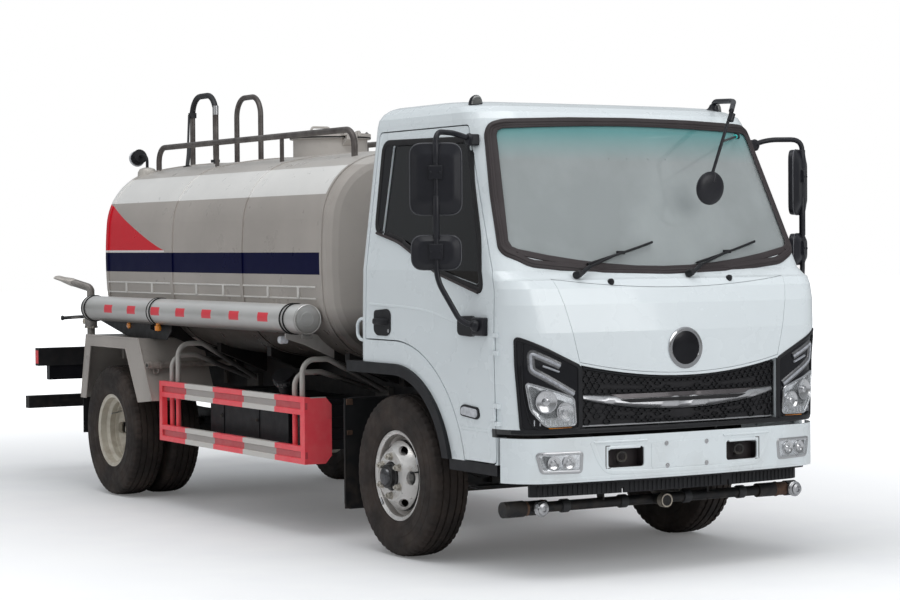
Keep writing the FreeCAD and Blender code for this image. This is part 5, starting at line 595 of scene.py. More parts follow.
class Form:
    """Collects simple solids into one mesh."""

    def __init__(self):
        self.points, self.faces = [], []

    def add(self, points, faces):
        base = len(self.points)
        self.points.extend(Vector(point) for point in points)
        self.faces.extend([base + index for index in face] for face in faces)
        return self

    def box(self, centre, size, turn=None):
        half = [value / 2 for value in size]
        corners = [Vector((x * half[0], y * half[1], z * half[2]))
                   for x in (-1, 1) for y in (-1, 1) for z in (-1, 1)]
        if turn is not None:
            corners = [turn @ corner for corner in corners]
        faces = [(0, 1, 3, 2), (4, 6, 7, 5), (0, 4, 5, 1), (2, 3, 7, 6), (0, 2, 6, 4), (1, 5, 7, 3)]
        return self.add([corner + Vector(centre) for corner in corners], faces)

    def rows(self, rows, around=True, closed=False, capped=True):
        """Skin over rows of points; around closes every row and closed joins the last row to the first."""
        count, width = len(rows), len(rows[0])
        faces = []
        for index in range(count if closed else count - 1):
            here, following = index * width, (index + 1) % count * width
            for place in range(width if around else width - 1):
                up = (place + 1) % width
                faces.append((here + place, here + up, following + up, following + place))
        if capped and not closed:
            faces += [range(width), range((count - 1) * width, count * width)]
        return self.add([point for row in rows for point in row], faces)

    def lathe(self, centre, axis, profile, segments=32, closed=False):
        """Turns (height, radius) points about an axis; the ends are capped unless the profile is closed."""
        turn, centre, base = turned_to(axis), Vector(centre), len(self.points)
        rows = [[centre + turn @ Vector((radius * cos, radius * sin, height)) for height, radius in profile]
                for cos, sin in circle(segments)]
        self.rows(rows, around=closed, closed=True)
        if not closed:
            for end in (0, len(profile) - 1):
                self.faces.append([base + end + step * len(profile) for step in range(segments)])
        return self

    def rod(self, start, end, radius, top=None, segments=16):
        start, end = Vector(start), Vector(end)
        length = (end - start).length
        profile = [(0, radius), (length, radius if top is None else top)]
        return self.lathe(start, end - start, profile, segments)

    def sweep(self, path, section, closed=False, upward=None):
        """Moves a closed section of (across, out) points along a path; upward gives the out direction."""
        path = [Vector(point) for point in path]
        count = len(path)
        rows, out = [], None
        for index, point in enumerate(path):
            before = path[index - 1] if index or closed else point
            after = path[(index + 1) % count] if index < count - 1 or closed else point
            way = (after - before).normalized()
            if upward is not None:
                out = upward[index]
            elif out is None:
                out = way.orthogonal()
            out = (out - way * out.dot(way)).normalized()
            across = way.cross(out)
            rows.append([point + across * side + out * rise for side, rise in section])
        return self.rows(rows, closed=closed)

    def tube(self, path, radius, segments=10, closed=False):
        return self.sweep(path, [(radius * cos, radius * sin) for cos, sin in circle(segments)], closed)

    def make(self, name, material, body, bevel=0.0, angle=35):
        mesh = bpy.data.meshes.new(name)
        mesh.from_pydata(self.points, [], self.faces)
        built = bmesh.new()
        built.from_mesh(mesh)
        bmesh.ops.recalc_face_normals(built, faces=built.faces)
        built.to_mesh(mesh)
        built.free()
        for face in mesh.polygons:
            face.use_smooth = True
        mesh.set_sharp_from_angle(angle=math.radians(angle))
        mesh.materials.append(material)
        obj = bpy.data.objects.new(name, mesh)
        bpy.context.scene.collection.objects.link(obj)
        if bevel:
            soft = obj.modifiers.new("Soft", "BEVEL")
            soft.width, soft.segments, soft.limit_method = bevel, 2, "ANGLE"
            soft.angle_limit = math.radians(angle)
        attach(obj, body)
        return obj


def flowing(points, steps=8):
    """Smooth line through points."""
    points = [Vector(point) for point in points]
    count = len(points)
    line = []
    for index in range(count - 1):
        b, c = points[index], points[index + 1]
        a = points[index - 1] if index else b * 2 - c
        d = points[index + 2] if index + 2 < count else c * 2 - b
        for step in range(steps):
            t = step / steps
            line.append(0.5 * (2 * b + (c - a) * t + (2 * a - 5 * b + 4 * c - d) * t**2
                               + (3 * b - a - 3 * c + d) * t**3))
    return line + [points[-1]]


def along_lines(corners, step=0.02, closed=False, rounding=0.0):
    """Evenly spaced points along straight lines, with each corner rounded off."""
    corners = [Vector(corner) for corner in corners]
    count = len(corners)
    smooth = []
    for index, corner in enumerate(corners):
        if not closed and index in (0, count - 1):
            smooth.append(corner)
            continue
        before, after = corners[index - 1], corners[(index + 1) % count]
        reach = min(rounding, (before - corner).length * 0.45, (after - corner).length * 0.45)
        start = corner + (before - corner).normalized() * reach
        end = corner + (after - corner).normalized() * reach
        for part in range(7):
            t = part / 6
            smooth.append(start * (1 - t) ** 2 + corner * 2 * t * (1 - t) + end * t**2)
    if closed:
        smooth.append(smooth[0])
    line = []
    for start, end in zip(smooth, smooth[1:]):
        pieces = max(1, round((end - start).length / step))
        line.extend(start.lerp(end, part / pieces) for part in range(pieces))
    return line if closed else line + [smooth[-1]]


class Skin:
    """Finds places on the surface of some nodes."""

    def __init__(self, *names):
        points, faces = [], []
        for name in names:
            mesh = nodes[name].data
            base = len(points)
            points.extend(vertex.co.copy() for vertex in mesh.vertices)
            faces.extend([base + index for index in face.vertices] for face in mesh.polygons)
        self.tree = BVHTree.FromPolygons(points, faces)

    def cast(self, start, way):
        hit, normal, _, _ = self.tree.ray_cast(Vector(start), Vector(way))
        if hit is None:
            nearest, normal, _, _ = self.tree.find_nearest(Vector(start) + Vector(way) * 3)
            return nearest, normal
        return hit, normal if normal.dot(Vector(way)) < 0 else -normal

    def front(self, y, z):
        return self.cast((4, y, z), (-1, 0, 0))

    def side(self, x, z, sign):
        return self.cast((x, sign * 3, z), (0, -sign, 0))

    def top(self, x, y):
        return self.cast((x, y, 4), (0, 0, -1))


FLAT_SEAL = [(-1, 0), (-0.8, 0.75), (-0.35, 1), (0.35, 1), (0.8, 0.75), (1, 0), (0.8, -0.3), (-0.8, -0.3)]


def section(width, height):
    return [(across * width / 2, rise * height) for across, rise in FLAT_SEAL]


def strip_on(skin_call, outline, closed=True, lift=0.0):
    """Path and outward directions for a strip that lies on a surface along a 2-D outline."""
    path, outward = [], []
    for point in outline:
        place, normal = skin_call(point[0], point[1])
        path.append(place + normal * lift)
        outward.append(normal)
    smooth = []
    count = len(outward)
    for index in range(count):
        places = [index + shift for shift in (-2, -1, 0, 1, 2)]
        around = [outward[place % count if closed else min(max(place, 0), count - 1)] for place in places]
        smooth.append(sum(around, Vector()).normalized())
    return path, smooth


def seal(name, skin_call, outline, width, height, body, material=SEAL, closed=True, lift=0.0):
    path, outward = strip_on(skin_call, outline, closed, lift)
    return Form().sweep(path, section(width, height), closed, outward).make(name, material, body)


def plate_on(skin_call, outline, rise, sink=0.004, form=None):
    """Plate that follows a surface inside an outline, standing out by its rise."""
    form = form or Form()
    found = [skin_call(point[0], point[1]) for point in outline]
    middle = sum((place for place, _ in found), Vector()) / len(found)
    normal = sum((way for _, way in found), Vector()).normalized()
    count = len(found)
    points = [place - normal * sink for place, _ in found] + [place + normal * rise for place, _ in found]
    points += [middle - normal * sink, middle + normal * rise]
    faces = [(step, (step + 1) % count, count + (step + 1) % count, count + step) for step in range(count)]
    faces += [((step + 1) % count, step, 2 * count) for step in range(count)]
    faces += [(count + step, count + (step + 1) % count, 2 * count + 1) for step in range(count)]
    return form.add(points, faces)


def trim(name, skin_call, corners, width, height, body, material=SEAL, step=0.02, rounding=0.0, closed=False,
         lift=0.0):
    """Strip on a surface along straight lines with rounded corners."""
    outline = along_lines(corners, step, closed, rounding)
    seal(name, skin_call, outline, width, height, body, material, closed, lift)


def patch(name, skin_call, corners, rise, body, material, step=0.02, rounding=0.0, bevel=0.0):
    """Plate on a surface inside straight lines with rounded corners."""
    outline = along_lines(corners, step, True, rounding)
    plate_on(skin_call, outline, rise).make(name, material, body, bevel=bevel)


def studs(name, skin_call, places, profile, segments, body, material):
    """Small turned pieces that stand on a surface."""
    form = Form()
    for place in places:
        spot, way = skin_call(*place)
        form.lathe(spot, way, profile, segments)
    form.make(name, material, body)


# Tyres and wheels

TREAD_BLOCKS = 56
CROWN_RADIUS = 0.3872
RIM_RADIUS = 0.2159
BEAD = 0.2032
DISC_FACE = 0.116
STUD_CIRCLE = 0.0925
REAR_FACE_Y = REAR_WHEEL_Y + 0.018


def tyre_form(form, axle_x, centre_y, side):
    """Tyre with bead, ribbed wall, shoulder steps and four grooved ribs; side is the outward direction."""
    wall = [
        (-0.0690, BEAD + 0.0015), (-0.0695, RIM_RADIUS + 0.0012), (-0.0835, RIM_RADIUS + 0.0014),
        (-0.0870, 0.2215), (-0.0895, 0.232), (-0.093, 0.240), (-0.0925, 0.243), (-0.097, 0.262),
        (-0.0995, 0.285),
        (-0.1003, 0.292), (-0.0990, 0.294), (-0.0985, 0.318), (-0.0970, 0.332), (-0.0955, 0.334),
        (-0.0950, 0.348), (-0.0925, 0.360), (-0.0890, 0.369), (-0.0840, 0.3765), (-0.0780, 0.3800),
    ]
    tread = [(-0.070, 0.3822)]
    for place in (-0.054, -0.020, 0.020, 0.054):
        crown = CROWN_RADIUS - 0.0045 * (abs(place) / 0.078) ** 2
        tread += [(place - 0.0055, crown), (place - 0.0035, crown - 0.009), (place + 0.0035, crown - 0.009),
                  (place + 0.0055, crown)]
    tread.append((0.070, 0.3822))
    whole = wall + tread + [(-across, radius) for across, radius in reversed(wall)]
    rows = []
    for step, (cos, sin) in enumerate(circle(TREAD_BLOCKS * 3)):
        row = []
        for across, radius in whole:
            if step % 3 == 0 and radius > 0.366 and abs(across) > 0.056:
                radius -= 0.006
            elif step % 3 == 1 and radius > 0.381 and 0.024 < abs(across) < 0.05:
                radius -= 0.003
            row.append((axle_x + radius * sin, centre_y + side * across, WHEEL_Z + radius * cos))
        rows.append(row)
    form.rows(rows, closed=True)


def hex_nut(form, centre, outward, radius, height):
    """Hexagonal nut with a washer face and a rounded top on a stud."""
    turn, centre = turned_to(outward), Vector(centre)
    levels = ((0, radius), (height * 0.8, radius), (height, radius * 0.82))
    form.rows([[centre + turn @ Vector((reach * cos, reach * sin, level)) for cos, sin in circle(6)]
               for level, reach in levels])
    form.lathe(centre, outward, [(-0.001, radius * 1.2), (0.003, radius * 1.15)], 20)
    form.lathe(centre, outward, [(height * 0.7, radius * 0.5), (height * 1.35, radius * 0.46)], 12)


def nut_circle(name, middle, sign, ring, spots, size, height, material, body):
    """Nuts on a circle round a wheel's middle."""
    nuts = Form()
    for cos, sin in spots:
        hex_nut(nuts, middle + Vector((ring * sin, 0, ring * cos)), (0, sign, 0), size, height)
    nuts.make(name, material, body, angle=20)


def holed_disc(label, sign, centre, out):
    """Bowl-shaped disc with six hand holes, as points and faces."""
    body = "front_wheel_" + label
    disc, slots = Form(), Form()
    disc.lathe(centre, out, [
        (0.008, 0.1750), (0.034, 0.1750), (0.052, 0.1700), (0.066, 0.1625), (0.080, 0.1530), (0.092, 0.1430),
        (0.101, 0.1330), (0.108, 0.1240), (0.1135, 0.1190), (DISC_FACE, 0.1170), (DISC_FACE, 0.0690),
        (0.107, 0.0690), (0.107, 0.1130), (0.099, 0.1190), (0.090, 0.1300), (0.074, 0.1450), (0.058, 0.1570),
        (0.028, 0.1680), (0.008, 0.1690)], 96, True)
    for cos, sin in circle(6, 0.5):
        rows = []
        for depth in (0.02, 0.16):
            row = []
            for along, rise in circle(24):
                reach, sweep = 0.1425 + 0.0155 * rise, 0.034 * along * (1 + 0.16 * abs(along)) * 0.86
                row.append((AXLE + reach * sin + sweep * cos, sign * (FRONT_WHEEL_Y + depth),
                            WHEEL_Z + reach * cos - sweep * sin))
            rows.append(row)
        slots.rows(rows)
    plain = disc.make("Disc_" + label, FRONT_RIM_PAINT, body)
    cutter = slots.make("Slots_" + label, FRONT_RIM_PAINT, body)
    cut = plain.modifiers.new("Holes", "BOOLEAN")
    cut.operation, cut.solver, cut.object = "DIFFERENCE", "EXACT", cutter
    bpy.context.view_layer.update()
    holed = bpy.data.meshes.new_from_object(plain.evaluated_get(bpy.context.evaluated_depsgraph_get()))
    holed.transform(plain.matrix_world)
    for spare in (cutter, plain):
        bpy.data.objects.remove(spare)
    return [vertex.co.copy() for vertex in holed.vertices], [list(face.vertices) for face in holed.polygons]


def front_rim(label, sign):
    """Rim barrel with rounded flanges, the disc with its hand holes, and the hub behind it."""
    centre = (AXLE, sign * FRONT_WHEEL_Y, WHEEL_Z)
    out = (0, sign, 0)
    wheel = Form()
    wheel.lathe(centre, out, [
        (-0.082, 0.2150), (-0.0775, 0.2160), (-0.072, 0.2140), (-0.0700, 0.2050), (-0.066, 0.2030),
        (-0.038, 0.2012), (-0.024, 0.1812), (0.018, 0.1812), (0.038, 0.2012), (0.066, 0.2030),
        (0.0700, 0.2050),
        (0.072, 0.2140), (0.0775, 0.2160), (0.082, 0.2150), (0.0825, 0.2120), (0.0790, 0.2090),
        (0.0765, 0.2020),
        (0.0740, 0.1968), (0.068, 0.1950), (0.042, 0.1935), (0.022, 0.1742), (-0.028, 0.1742),
        (-0.042, 0.1935),
        (-0.068, 0.1950), (-0.0740, 0.1968), (-0.0790, 0.2090), (-0.0825, 0.2120)], 96, True)
    wheel.add(*holed_disc(label, sign, centre, out))
    wheel.lathe(centre, out, [(-0.045, 0.060), (-0.045, 0.150), (0.030, 0.150), (0.060, 0.118),
                              (0.090, 0.112), (0.104, 0.100), (0.104, 0.060)], 64, True)
    wheel.lathe(centre, out, [(0.020, 0.0), (0.020, 0.066), (0.118, 0.066), (0.124, 0.060), (0.124, 0.0)], 48)
    piece = wheel.make("FrontRim_" + label, FRONT_RIM_PAINT, "front_wheel_" + label, angle=28)
    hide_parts("front_rim_" + label)


def front_wheel_details(label, sign):
    """Nuts, hub with grease cap, valve and balance weights of a front wheel."""
    body = "front_wheel_" + label
    out = (0, sign, 0)
    face = Vector((AXLE, sign * (FRONT_WHEEL_Y + DISC_FACE), WHEEL_Z))
    front_rim(label, sign)
    nut_circle("WheelNuts_" + label, face, sign, STUD_CIRCLE, circle(6), 0.0165, 0.024, HUB_GREY, body)
    hub, cap, small, valve = Form(), Form(), Form(), Form()
    hub.lathe(face, out, [(-0.004, 0.067), (0.006, 0.066), (0.010, 0.058), (0.026, 0.056), (0.030, 0.050),
                          (0.030, 0.043)], 40)
    hub.make("HubRing_" + label, HUB_BLACK, body)
    cap.lathe(face, out, [(0.010, 0.043), (0.034, 0.042), (0.040, 0.038), (0.044, 0.026), (0.046, 0.010)], 36)
    cap.make("HubCap_" + label, HUB_METAL, body)
    for angle in (1.15, 4.0):
        reach = Vector((math.sin(angle), 0, math.cos(angle))) * 0.206
        centre = Vector((AXLE, sign * (FRONT_WHEEL_Y + 0.0795), WHEEL_Z)) + reach
        small.box(centre, (0.012, 0.010, 0.036), Matrix.Rotation(angle + math.pi / 2, 3, "Y"))
    small.make("RimWeights_" + label, SATIN_SILVER, body, bevel=0.002)
    start = Vector((AXLE + 0.172, sign * (FRONT_WHEEL_Y + 0.052), WHEEL_Z + 0.030))
    bend = start + Vector((-0.014, sign * 0.04, -0.003))
    valve.rod(start, bend, 0.0045, 0.0035)
    valve.rod(bend, bend + Vector((-0.002, sign * 0.01, 0)), 0.005)
    valve.make("Valve_" + label, HOSE_BLACK, body)


def rear_wheel_details(label, sign):
    """Nuts, half shaft bolts and valve of a pair of rear wheels."""
    body = "rear_wheel_" + label
    face = Vector((REAR_AXLE, sign * REAR_FACE_Y, WHEEL_Z))
    flange = face + Vector((0, sign * 0.052, 0))
    nut_circle("RearNuts_" + label, face, sign, STUD_CIRCLE, circle(6), 0.0165, 0.026, NUT_YELLOW, body)
    nut_circle("HalfShaftBolts_" + label, flange, sign, 0.046, circle(8, 0.5), 0.007, 0.008, CAST_METAL, body)
    start = Vector((REAR_AXLE - 0.13, sign * 0.80, WHEEL_Z + 0.11))
    ends = [Vector((0, 0, 0)), Vector((0.012, sign * 0.05, -0.012)), Vector((0.02, sign * 0.10, -0.02))]
    valve = Form().tube(flowing([start + end for end in ends], 5), 0.004)
    valve.make("RearValve_" + label, SATIN_SILVER, body)


def make_wheels():
    for label, sign in SIDES:
        front, rear = Form(), Form()
        tyre_form(front, AXLE, sign * FRONT_WHEEL_Y, sign)
        tyre = front.make("FrontTyre_" + label, TYRE_RUBBER, "front_wheel_" + label, angle=25)
        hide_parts("front_tyre_" + label)
        for shift in (-TWIN_SHIFT, TWIN_SHIFT):
            tyre_form(rear, REAR_AXLE, sign * (REAR_WHEEL_Y + shift), sign)
        tyres = rear.make("RearTyres_" + label, TYRE_RUBBER, "rear_wheel_" + label, angle=25)
        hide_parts("rear_tyres_" + label)
        front_wheel_details(label, sign)
        rear_wheel_details(label, sign)


make_wheels()


# Cab glass, seals and seams

SCREEN = [(-0.70, 1.397), (-0.35, 1.362), (0, 1.352), (0.35, 1.362), (0.70, 1.397), (0.800, 1.446),
          (0.812, 1.47),
          (0.786, 1.70), (0.742, 1.985), (0.725, 2.02), (0.68, 2.034), (0.34, 2.046), (0, 2.05),
          (-0.34, 2.046),
          (-0.68, 2.034), (-0.725, 2.02), (-0.742, 1.985), (-0.786, 1.70), (-0.812, 1.47), (-0.800, 1.446)]
WINDOW = [(-0.215, 1.552), (0.02, 1.505), (0.40, 1.362), (0.79, 1.27), (0.74, 1.513), (0.63, 1.773),
          (0.58, 1.961), (-0.225, 1.975)]
body_skin = Skin("cab_shell", "cab_glass", "front_panel")
door_skins = {"right": Skin("door_right", "door_glass_right"), "left": Skin("door_left", "door_glass_left")}
STANDING = Matrix.Rotation(math.pi / 2, 3, "X")


def windscreen_seal():
    trim("ScreenSeal", body_skin.front, SCREEN, 0.040, 0.009, "cab", rounding=0.03, closed=True)
    trim("ScreenSealLip", body_skin.front, SCREEN, 0.012, 0.004, "cab", rounding=0.03, closed=True,
         lift=0.009)


def door_handle(label, side, body):
    """Curved lever over the plate in the door."""
    start, normal = side(-0.175, 1.118)
    end, _ = side(-0.055, 1.118)
    path = [start + normal * 0.003, start.lerp(end, 0.18) + normal * 0.024,
            (start + end) / 2 + normal * 0.026,
            start.lerp(end, 0.85) + normal * 0.024, end + normal * 0.003]
    lever = Form().sweep(flowing(path, 6), section(0.030, 0.008), upward=[normal] * 25)
    lever.make("HandleLever_" + label, BLACK_TRIM, body)


def door_trim(label, sign):
    """Window seal, handle, door lines and side details of one door."""
    body = "door_" + label

    def side(x, z):
        return door_skins[label].side(at(x), z, sign)

    for name, corners, width, height, material, step, rounding, closed in (
        ("WindowSeal_", WINDOW, 0.030, 0.006, REVEAL_BLACK, 0.02, 0.05, True),
        ("BeltStrip_", [(-0.205, 1.541), (0.02, 1.495), (0.40, 1.352), (0.76, 1.268)], 0.014, 0.010, SEAL,
         0.03, 0.05, False),
        ("DoorCrease_", [(-0.24, 1.20), (0.30, 1.185), (0.72, 1.10)], 0.012, 0.0022, WHITE_PAINT, 0.03, 0.3,
         False),
        ("DoorFoldLow_", [(0.50, 0.70), (0.60, 0.655), (0.86, 0.655)], 0.016, 0.003, WHITE_PAINT, 0.03,
         0.08, False),
    ):
        trim(name + label, side, corners, width, height, body, material, step, rounding, closed)
    for name, corners, rise, material, step, rounding, bevel in (
        ("HandlePlate_", [(-0.19, 1.115), (-0.19, 1.17), (-0.06, 1.18), (-0.03, 1.16), (-0.03, 1.07),
                          (-0.06, 1.05), (-0.16, 1.05), (-0.19, 1.07)], 0.006, BLACK_TRIM, 0.03, 0.02, 0.002),
        ("SideLampTrim_", [(0.600, 0.712), (0.60, 0.75), (0.63, 0.765), (0.755, 0.755), (0.765, 0.715),
                           (0.74, 0.700)], 0.006, BLACK_TRIM, 0.02, 0.015, 0.0015),
        ("SideLampLens_", [(0.612, 0.718), (0.612, 0.745), (0.635, 0.755), (0.745, 0.747), (0.752, 0.720),
                           (0.735, 0.708)], 0.012, LENS_WHITE, 0.02, 0.012, 0.003),
        ("MirrorFootCover_", [(0.60, 1.075), (0.60, 1.16), (0.73, 1.165), (0.76, 1.13), (0.74, 1.07)], 0.016,
         BLACK_TRIM, 0.03, 0.03, 0.004),
    ):
        patch(name + label, side, corners, rise, body, material, step, rounding, bevel)
    door_handle(label, side, body)
    studs("DoorLock_" + label, side, [(-0.045, 1.075)], [(0, 0.009), (0.007, 0.009), (0.008, 0.006)], 20,
          body, SATIN_SILVER)
    studs("DoorClips_" + label, side, [(-0.24, height) for height in (0.62, 0.75, 0.92)],
          [(0, 0.006), (0.002, 0.006), (0.003, 0.004)], 14, body, BLACK_TRIM)
    band = Form()
    for rise in (0.0, 0.03, 0.06):
        spot, way = side(0.70 - rise * 0.35, 1.835 + rise)
        band.box(spot + way * 0.001, (0.055, 0.006, 0.012), turned_to(way) @ STANDING)
    band.make("PillarVent_" + label, BLACK_TRIM, body, bevel=0.002)


windscreen_seal()
for side_label, side_sign in SIDES:
    door_trim(side_label, side_sign)


# Front of the cab

lamp_skin = Skin("headlamps")
grille_skin = Skin("grille", "front_panel", "headlamps")
panel_skin = Skin("front_panel", "cab_shell")
bumper_skin = Skin("front_bumper", "chassis_lamps")


def mirrored(points, sign):
    return [(y * sign, z) for y, z in points]


def headlamp_details(label, sign):
    """Frame, daytime light, main lens with its bowls and small fixings of one headlamp."""
    hook = [(0.655, 0.948), (0.785, 1.008), (0.778, 0.930), (0.588, 0.822)]
    lens = [(0.800, 0.878), (0.588, 0.806), (0.580, 0.685), (0.725, 0.682), (0.782, 0.753)]
    for name, corners, width, height, material, step, rounding, closed in (
        ("LampFrame_", [(0.560, 0.668), (0.812, 0.664), (0.838, 1.074), (0.705, 1.014), (0.560, 0.942)],
         0.016, 0.006, BLACK_TRIM, 0.02, 0.018, True),
        ("LampFold_", [(0.583, 0.672), (0.777, 0.668), (0.808, 0.83), (0.812, 1.045)], 0.008, 0.009,
         BLACK_TRIM, 0.02, 0.05, False),
        ("DaylightBed_", hook, 0.036, 0.007, STRIP_BED, 0.012, 0.016, False),
        ("DaylightStrip_", hook, 0.015, 0.011, STRIP_LENS, 0.012, 0.016, False),
        ("DaylightTongue_", [(0.660, 0.922), (0.735, 0.950)], 0.010, 0.010, STRIP_LENS, 0.012, 0.0, False),
        ("LampLensRim_", lens, 0.012, 0.012, CHROME, 0.015, 0.02, True),
    ):
        trim(name + label, lamp_skin.front, mirrored(corners, sign), width, height, "cab", material, step,
             rounding, closed)
    edge = along_lines(mirrored(lens, sign), 0.015, closed=True, rounding=0.02)
    plate_on(lamp_skin.front, edge, 0.004).make("LampBowlBed_" + label, REFLECTOR, "cab")
    plate_on(lamp_skin.front, edge, 0.0135, sink=-0.012).make("LampCover_" + label, GLASS_CLEAR, "cab")
    turn = mirrored([(0.606, 0.668), (0.60, 0.676), (0.71, 0.676), (0.705, 0.668)], sign)
    plate_on(lamp_skin.front, turn, 0.006).make("LampLowerStrip_" + label, LENS_AMBER, "cab")
    bowls, ribs = Form(), Form()
    for y, z, radius in ((0.722, 0.792, 0.050), (0.634, 0.745, 0.043)):
        spot, way = lamp_skin.front(y * sign, z)
        profile = [(0, radius), (0.010, radius), (0.010, radius - 0.004), (0.004, radius * 0.7),
                   (0.002, radius * 0.35), (0.010, radius * 0.30), (0.013, radius * 0.18)]
        bowls.lathe(spot + way * 0.003, way, profile, 40)
    bowls.make("LampBowls_" + label, CHROME, "cab", angle=25)
    for step in range(9):
        spot, way = lamp_skin.front((0.592 + step * 0.022) * sign, 0.700)
        ribs.box(spot + way * 0.004, (0.004, 0.004, 0.026), turned_to(way) @ STANDING)
    ribs.make("LampRibs_" + label, LENS_WHITE, "cab")


GRILLE_DEPTH = 0.0235
CELL_PITCH, CELL_ROWS, CELL_COLUMNS = 0.034, 4, 17
CELL_RINGS = ((1.0, 1.0, 0.0), (1.0, 1.0, 0.008), (0.80, 0.768, 0.008), (0.76, 0.7296, -0.002))
WING_TIP, WING_SPAN = 0.535, 0.552


def hexagon_cells(form, low_edge, high_edge, skin_call):
    """Raised rims of long hexagons between two edges given as functions of y."""
    for row in range(CELL_ROWS):
        for column in range(-CELL_COLUMNS, CELL_COLUMNS + 1):
            y = (column + (0.5 if row % 2 else 0)) * CELL_PITCH
            if abs(y) > WING_TIP:
                continue
            low, high = low_edge(y), high_edge(y)
            half = (high - low) / CELL_ROWS * 0.50
            spot, way = skin_call(y, low + (high - low) * (row + 0.5) / CELL_ROWS)
            across = Vector((0, 0, 1)).cross(way).normalized()
            up = way.cross(across)
            rings = []
            for wide, tall, rise in CELL_RINGS:
                middle = spot + way * (rise + 0.001)
                aside, rise = CELL_PITCH * 0.60 * wide, half * 1.16 * tall
                rings.append([middle + across * (cos * aside) + up * (sin * rise) for cos, sin in circle(6)])
            form.rows(rings, capped=False)


def grille_edge(y):
    """Height of the grille's curved upper edge."""
    return 0.886 + 0.060 * (y / 0.548) ** 2


def wing_low(y):
    return 0.737 + 0.063 * (abs(y) / 0.555) ** 2.2


def set_back(y, z):
    """Place and outward direction on the grille's bed behind the panel's face."""
    spot, way = grille_skin.front(y, z)
    return spot - way * GRILLE_DEPTH, way


def grille_back(name, low, high, half=WING_TIP, rise=0.0012, sink=0.001):
    """Near-black bed between two heights given as functions of y, painted shade for the cavity behind the
    open cells.
    """
    form = Form()
    edges = [-half + 2 * half * step / 24 for step in range(25)]
    for start, end in zip(edges, edges[1:]):
        corners = [(start, low(start)), (end, low(end)), (end, high(end)), (start, high(start))]
        plate_on(set_back, corners, rise, sink, form)
    return form.make(name, GRILLE_SHADE_BED, "cab")


def grille_wing():
    """Silver wing with a black slot and a grey band along it."""
    rows = []
    for step in range(49):
        y = -WING_SPAN + 2 * WING_SPAN * step / 48
        low, high = wing_low(y), 0.809 + 0.006 * (y / 0.55) ** 2
        depth = 0.018 * min(1.0, (high - low) / 0.04) + 0.004
        heights = [(low + (high - low) * share, depth * rise) for share, rise in (
            (0, 0.0), (0.06, 0.7), (0.3, 1.0), (0.75, 0.72), (0.94, 0.5), (1, 0.0))]
        rows.append([(set_back(y, z)[0].x + out, y, z) for z, out in heights])
    Form().rows(rows, around=False, capped=False).make("GrilleWing", SATIN_SILVER, "cab", angle=50)
    for name, material, half, low, high, depth in (
        ("WingSlot", REVEAL_BLACK, 0.350, 0.774, 0.790, 0.0232),
        ("WingBand", WING_GREY, 0.395, 0.7925, 0.813, 0.0195),
    ):
        rows = []
        for step in range(41):
            y = -half + 2 * half * step / 40
            foot = low + max(0.0, (abs(y) - half + 0.05) / 0.05) * (high - low) * 0.9
            rows.append([(set_back(y, z)[0].x + out, y, z)
                         for z, out in ((foot, 0.0), (foot, depth), (high, depth), (high, 0.0))])
        Form().rows(rows).make(name, material, "cab", bevel=0.0015)


def grille_details():
    """Honeycomb in two zones with a silver wing between them, all set back behind the panel's face."""
    frame_back = grille_back("GrilleBack", lambda y: 0.662, lambda y: grille_edge(y) + 0.006, 0.566, 0.0,
                             0.012)
    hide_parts("grille")
    grille_back("MeshBedHigh", lambda y: 0.812, lambda y: grille_edge(y) - 0.012)
    grille_back("MeshBedLow", lambda y: 0.680, lambda y: wing_low(y) - 0.003)
    mesh = Form()
    hexagon_cells(mesh, lambda y: 0.816, lambda y: grille_edge(y) - 0.014, set_back)
    hexagon_cells(mesh, lambda y: 0.682, lambda y: wing_low(y) - 0.003, set_back)
    mesh.make("GrilleMesh", BLACK_TRIM, "cab", angle=20)
    trim("GrilleLowLine", set_back, [(-WING_TIP, 0.676), (WING_TIP, 0.676)], 0.010, 0.008, "cab",
         SATIN_SILVER, 0.03)
    upper = [(y / 100, grille_edge(y / 100) - 0.006) for y in range(-53, 54, 3)]
    seal("GrilleTopLip", set_back, upper, 0.014, 0.010, "cab", BLACK_TRIM, closed=False)
    posts("GrilleEnds", set_back, [(0.546, 0.68), (0.546, 0.93)], 0.007)
    grille_wing()


def posts(name, skin_call, line, height):
    """A black strip on each side of the front."""
    form = Form()
    for _, sign in SIDES:
        path, outward = strip_on(skin_call, along_lines(mirrored(line, sign), 0.03), False)
        form.sweep(path, section(0.012, height), upward=outward)
    form.make(name, BLACK_TRIM, "cab")


def kept_behind(form, front):
    """Flattens a form against the plane of the truck's front."""
    for point in form.points:
        point.x = min(point.x, front)
    return form


def front_disc():
    """Plain ringed disc at the middle of the front panel."""
    spot, way = panel_skin.front(0, 1.010)
    for name, material, front, profile, segments, closed in (
        ("FrontDiscRim", CHROME, 2.9974, [(-0.004, 0.094), (0.006, 0.094), (0.014, 0.088), (0.016, 0.082),
                                          (0.012, 0.076), (0.004, 0.075), (-0.004, 0.075)], 56, True),
        ("FrontDisc", LAMP_BLACK, 2.9970, [(-0.004, 0.076), (0.005, 0.076), (0.008, 0.060), (0.009, 0.02)],
         48, False),
    ):
        kept_behind(Form().lathe(spot, way, profile, segments, closed), front).make(name, material, "cab")


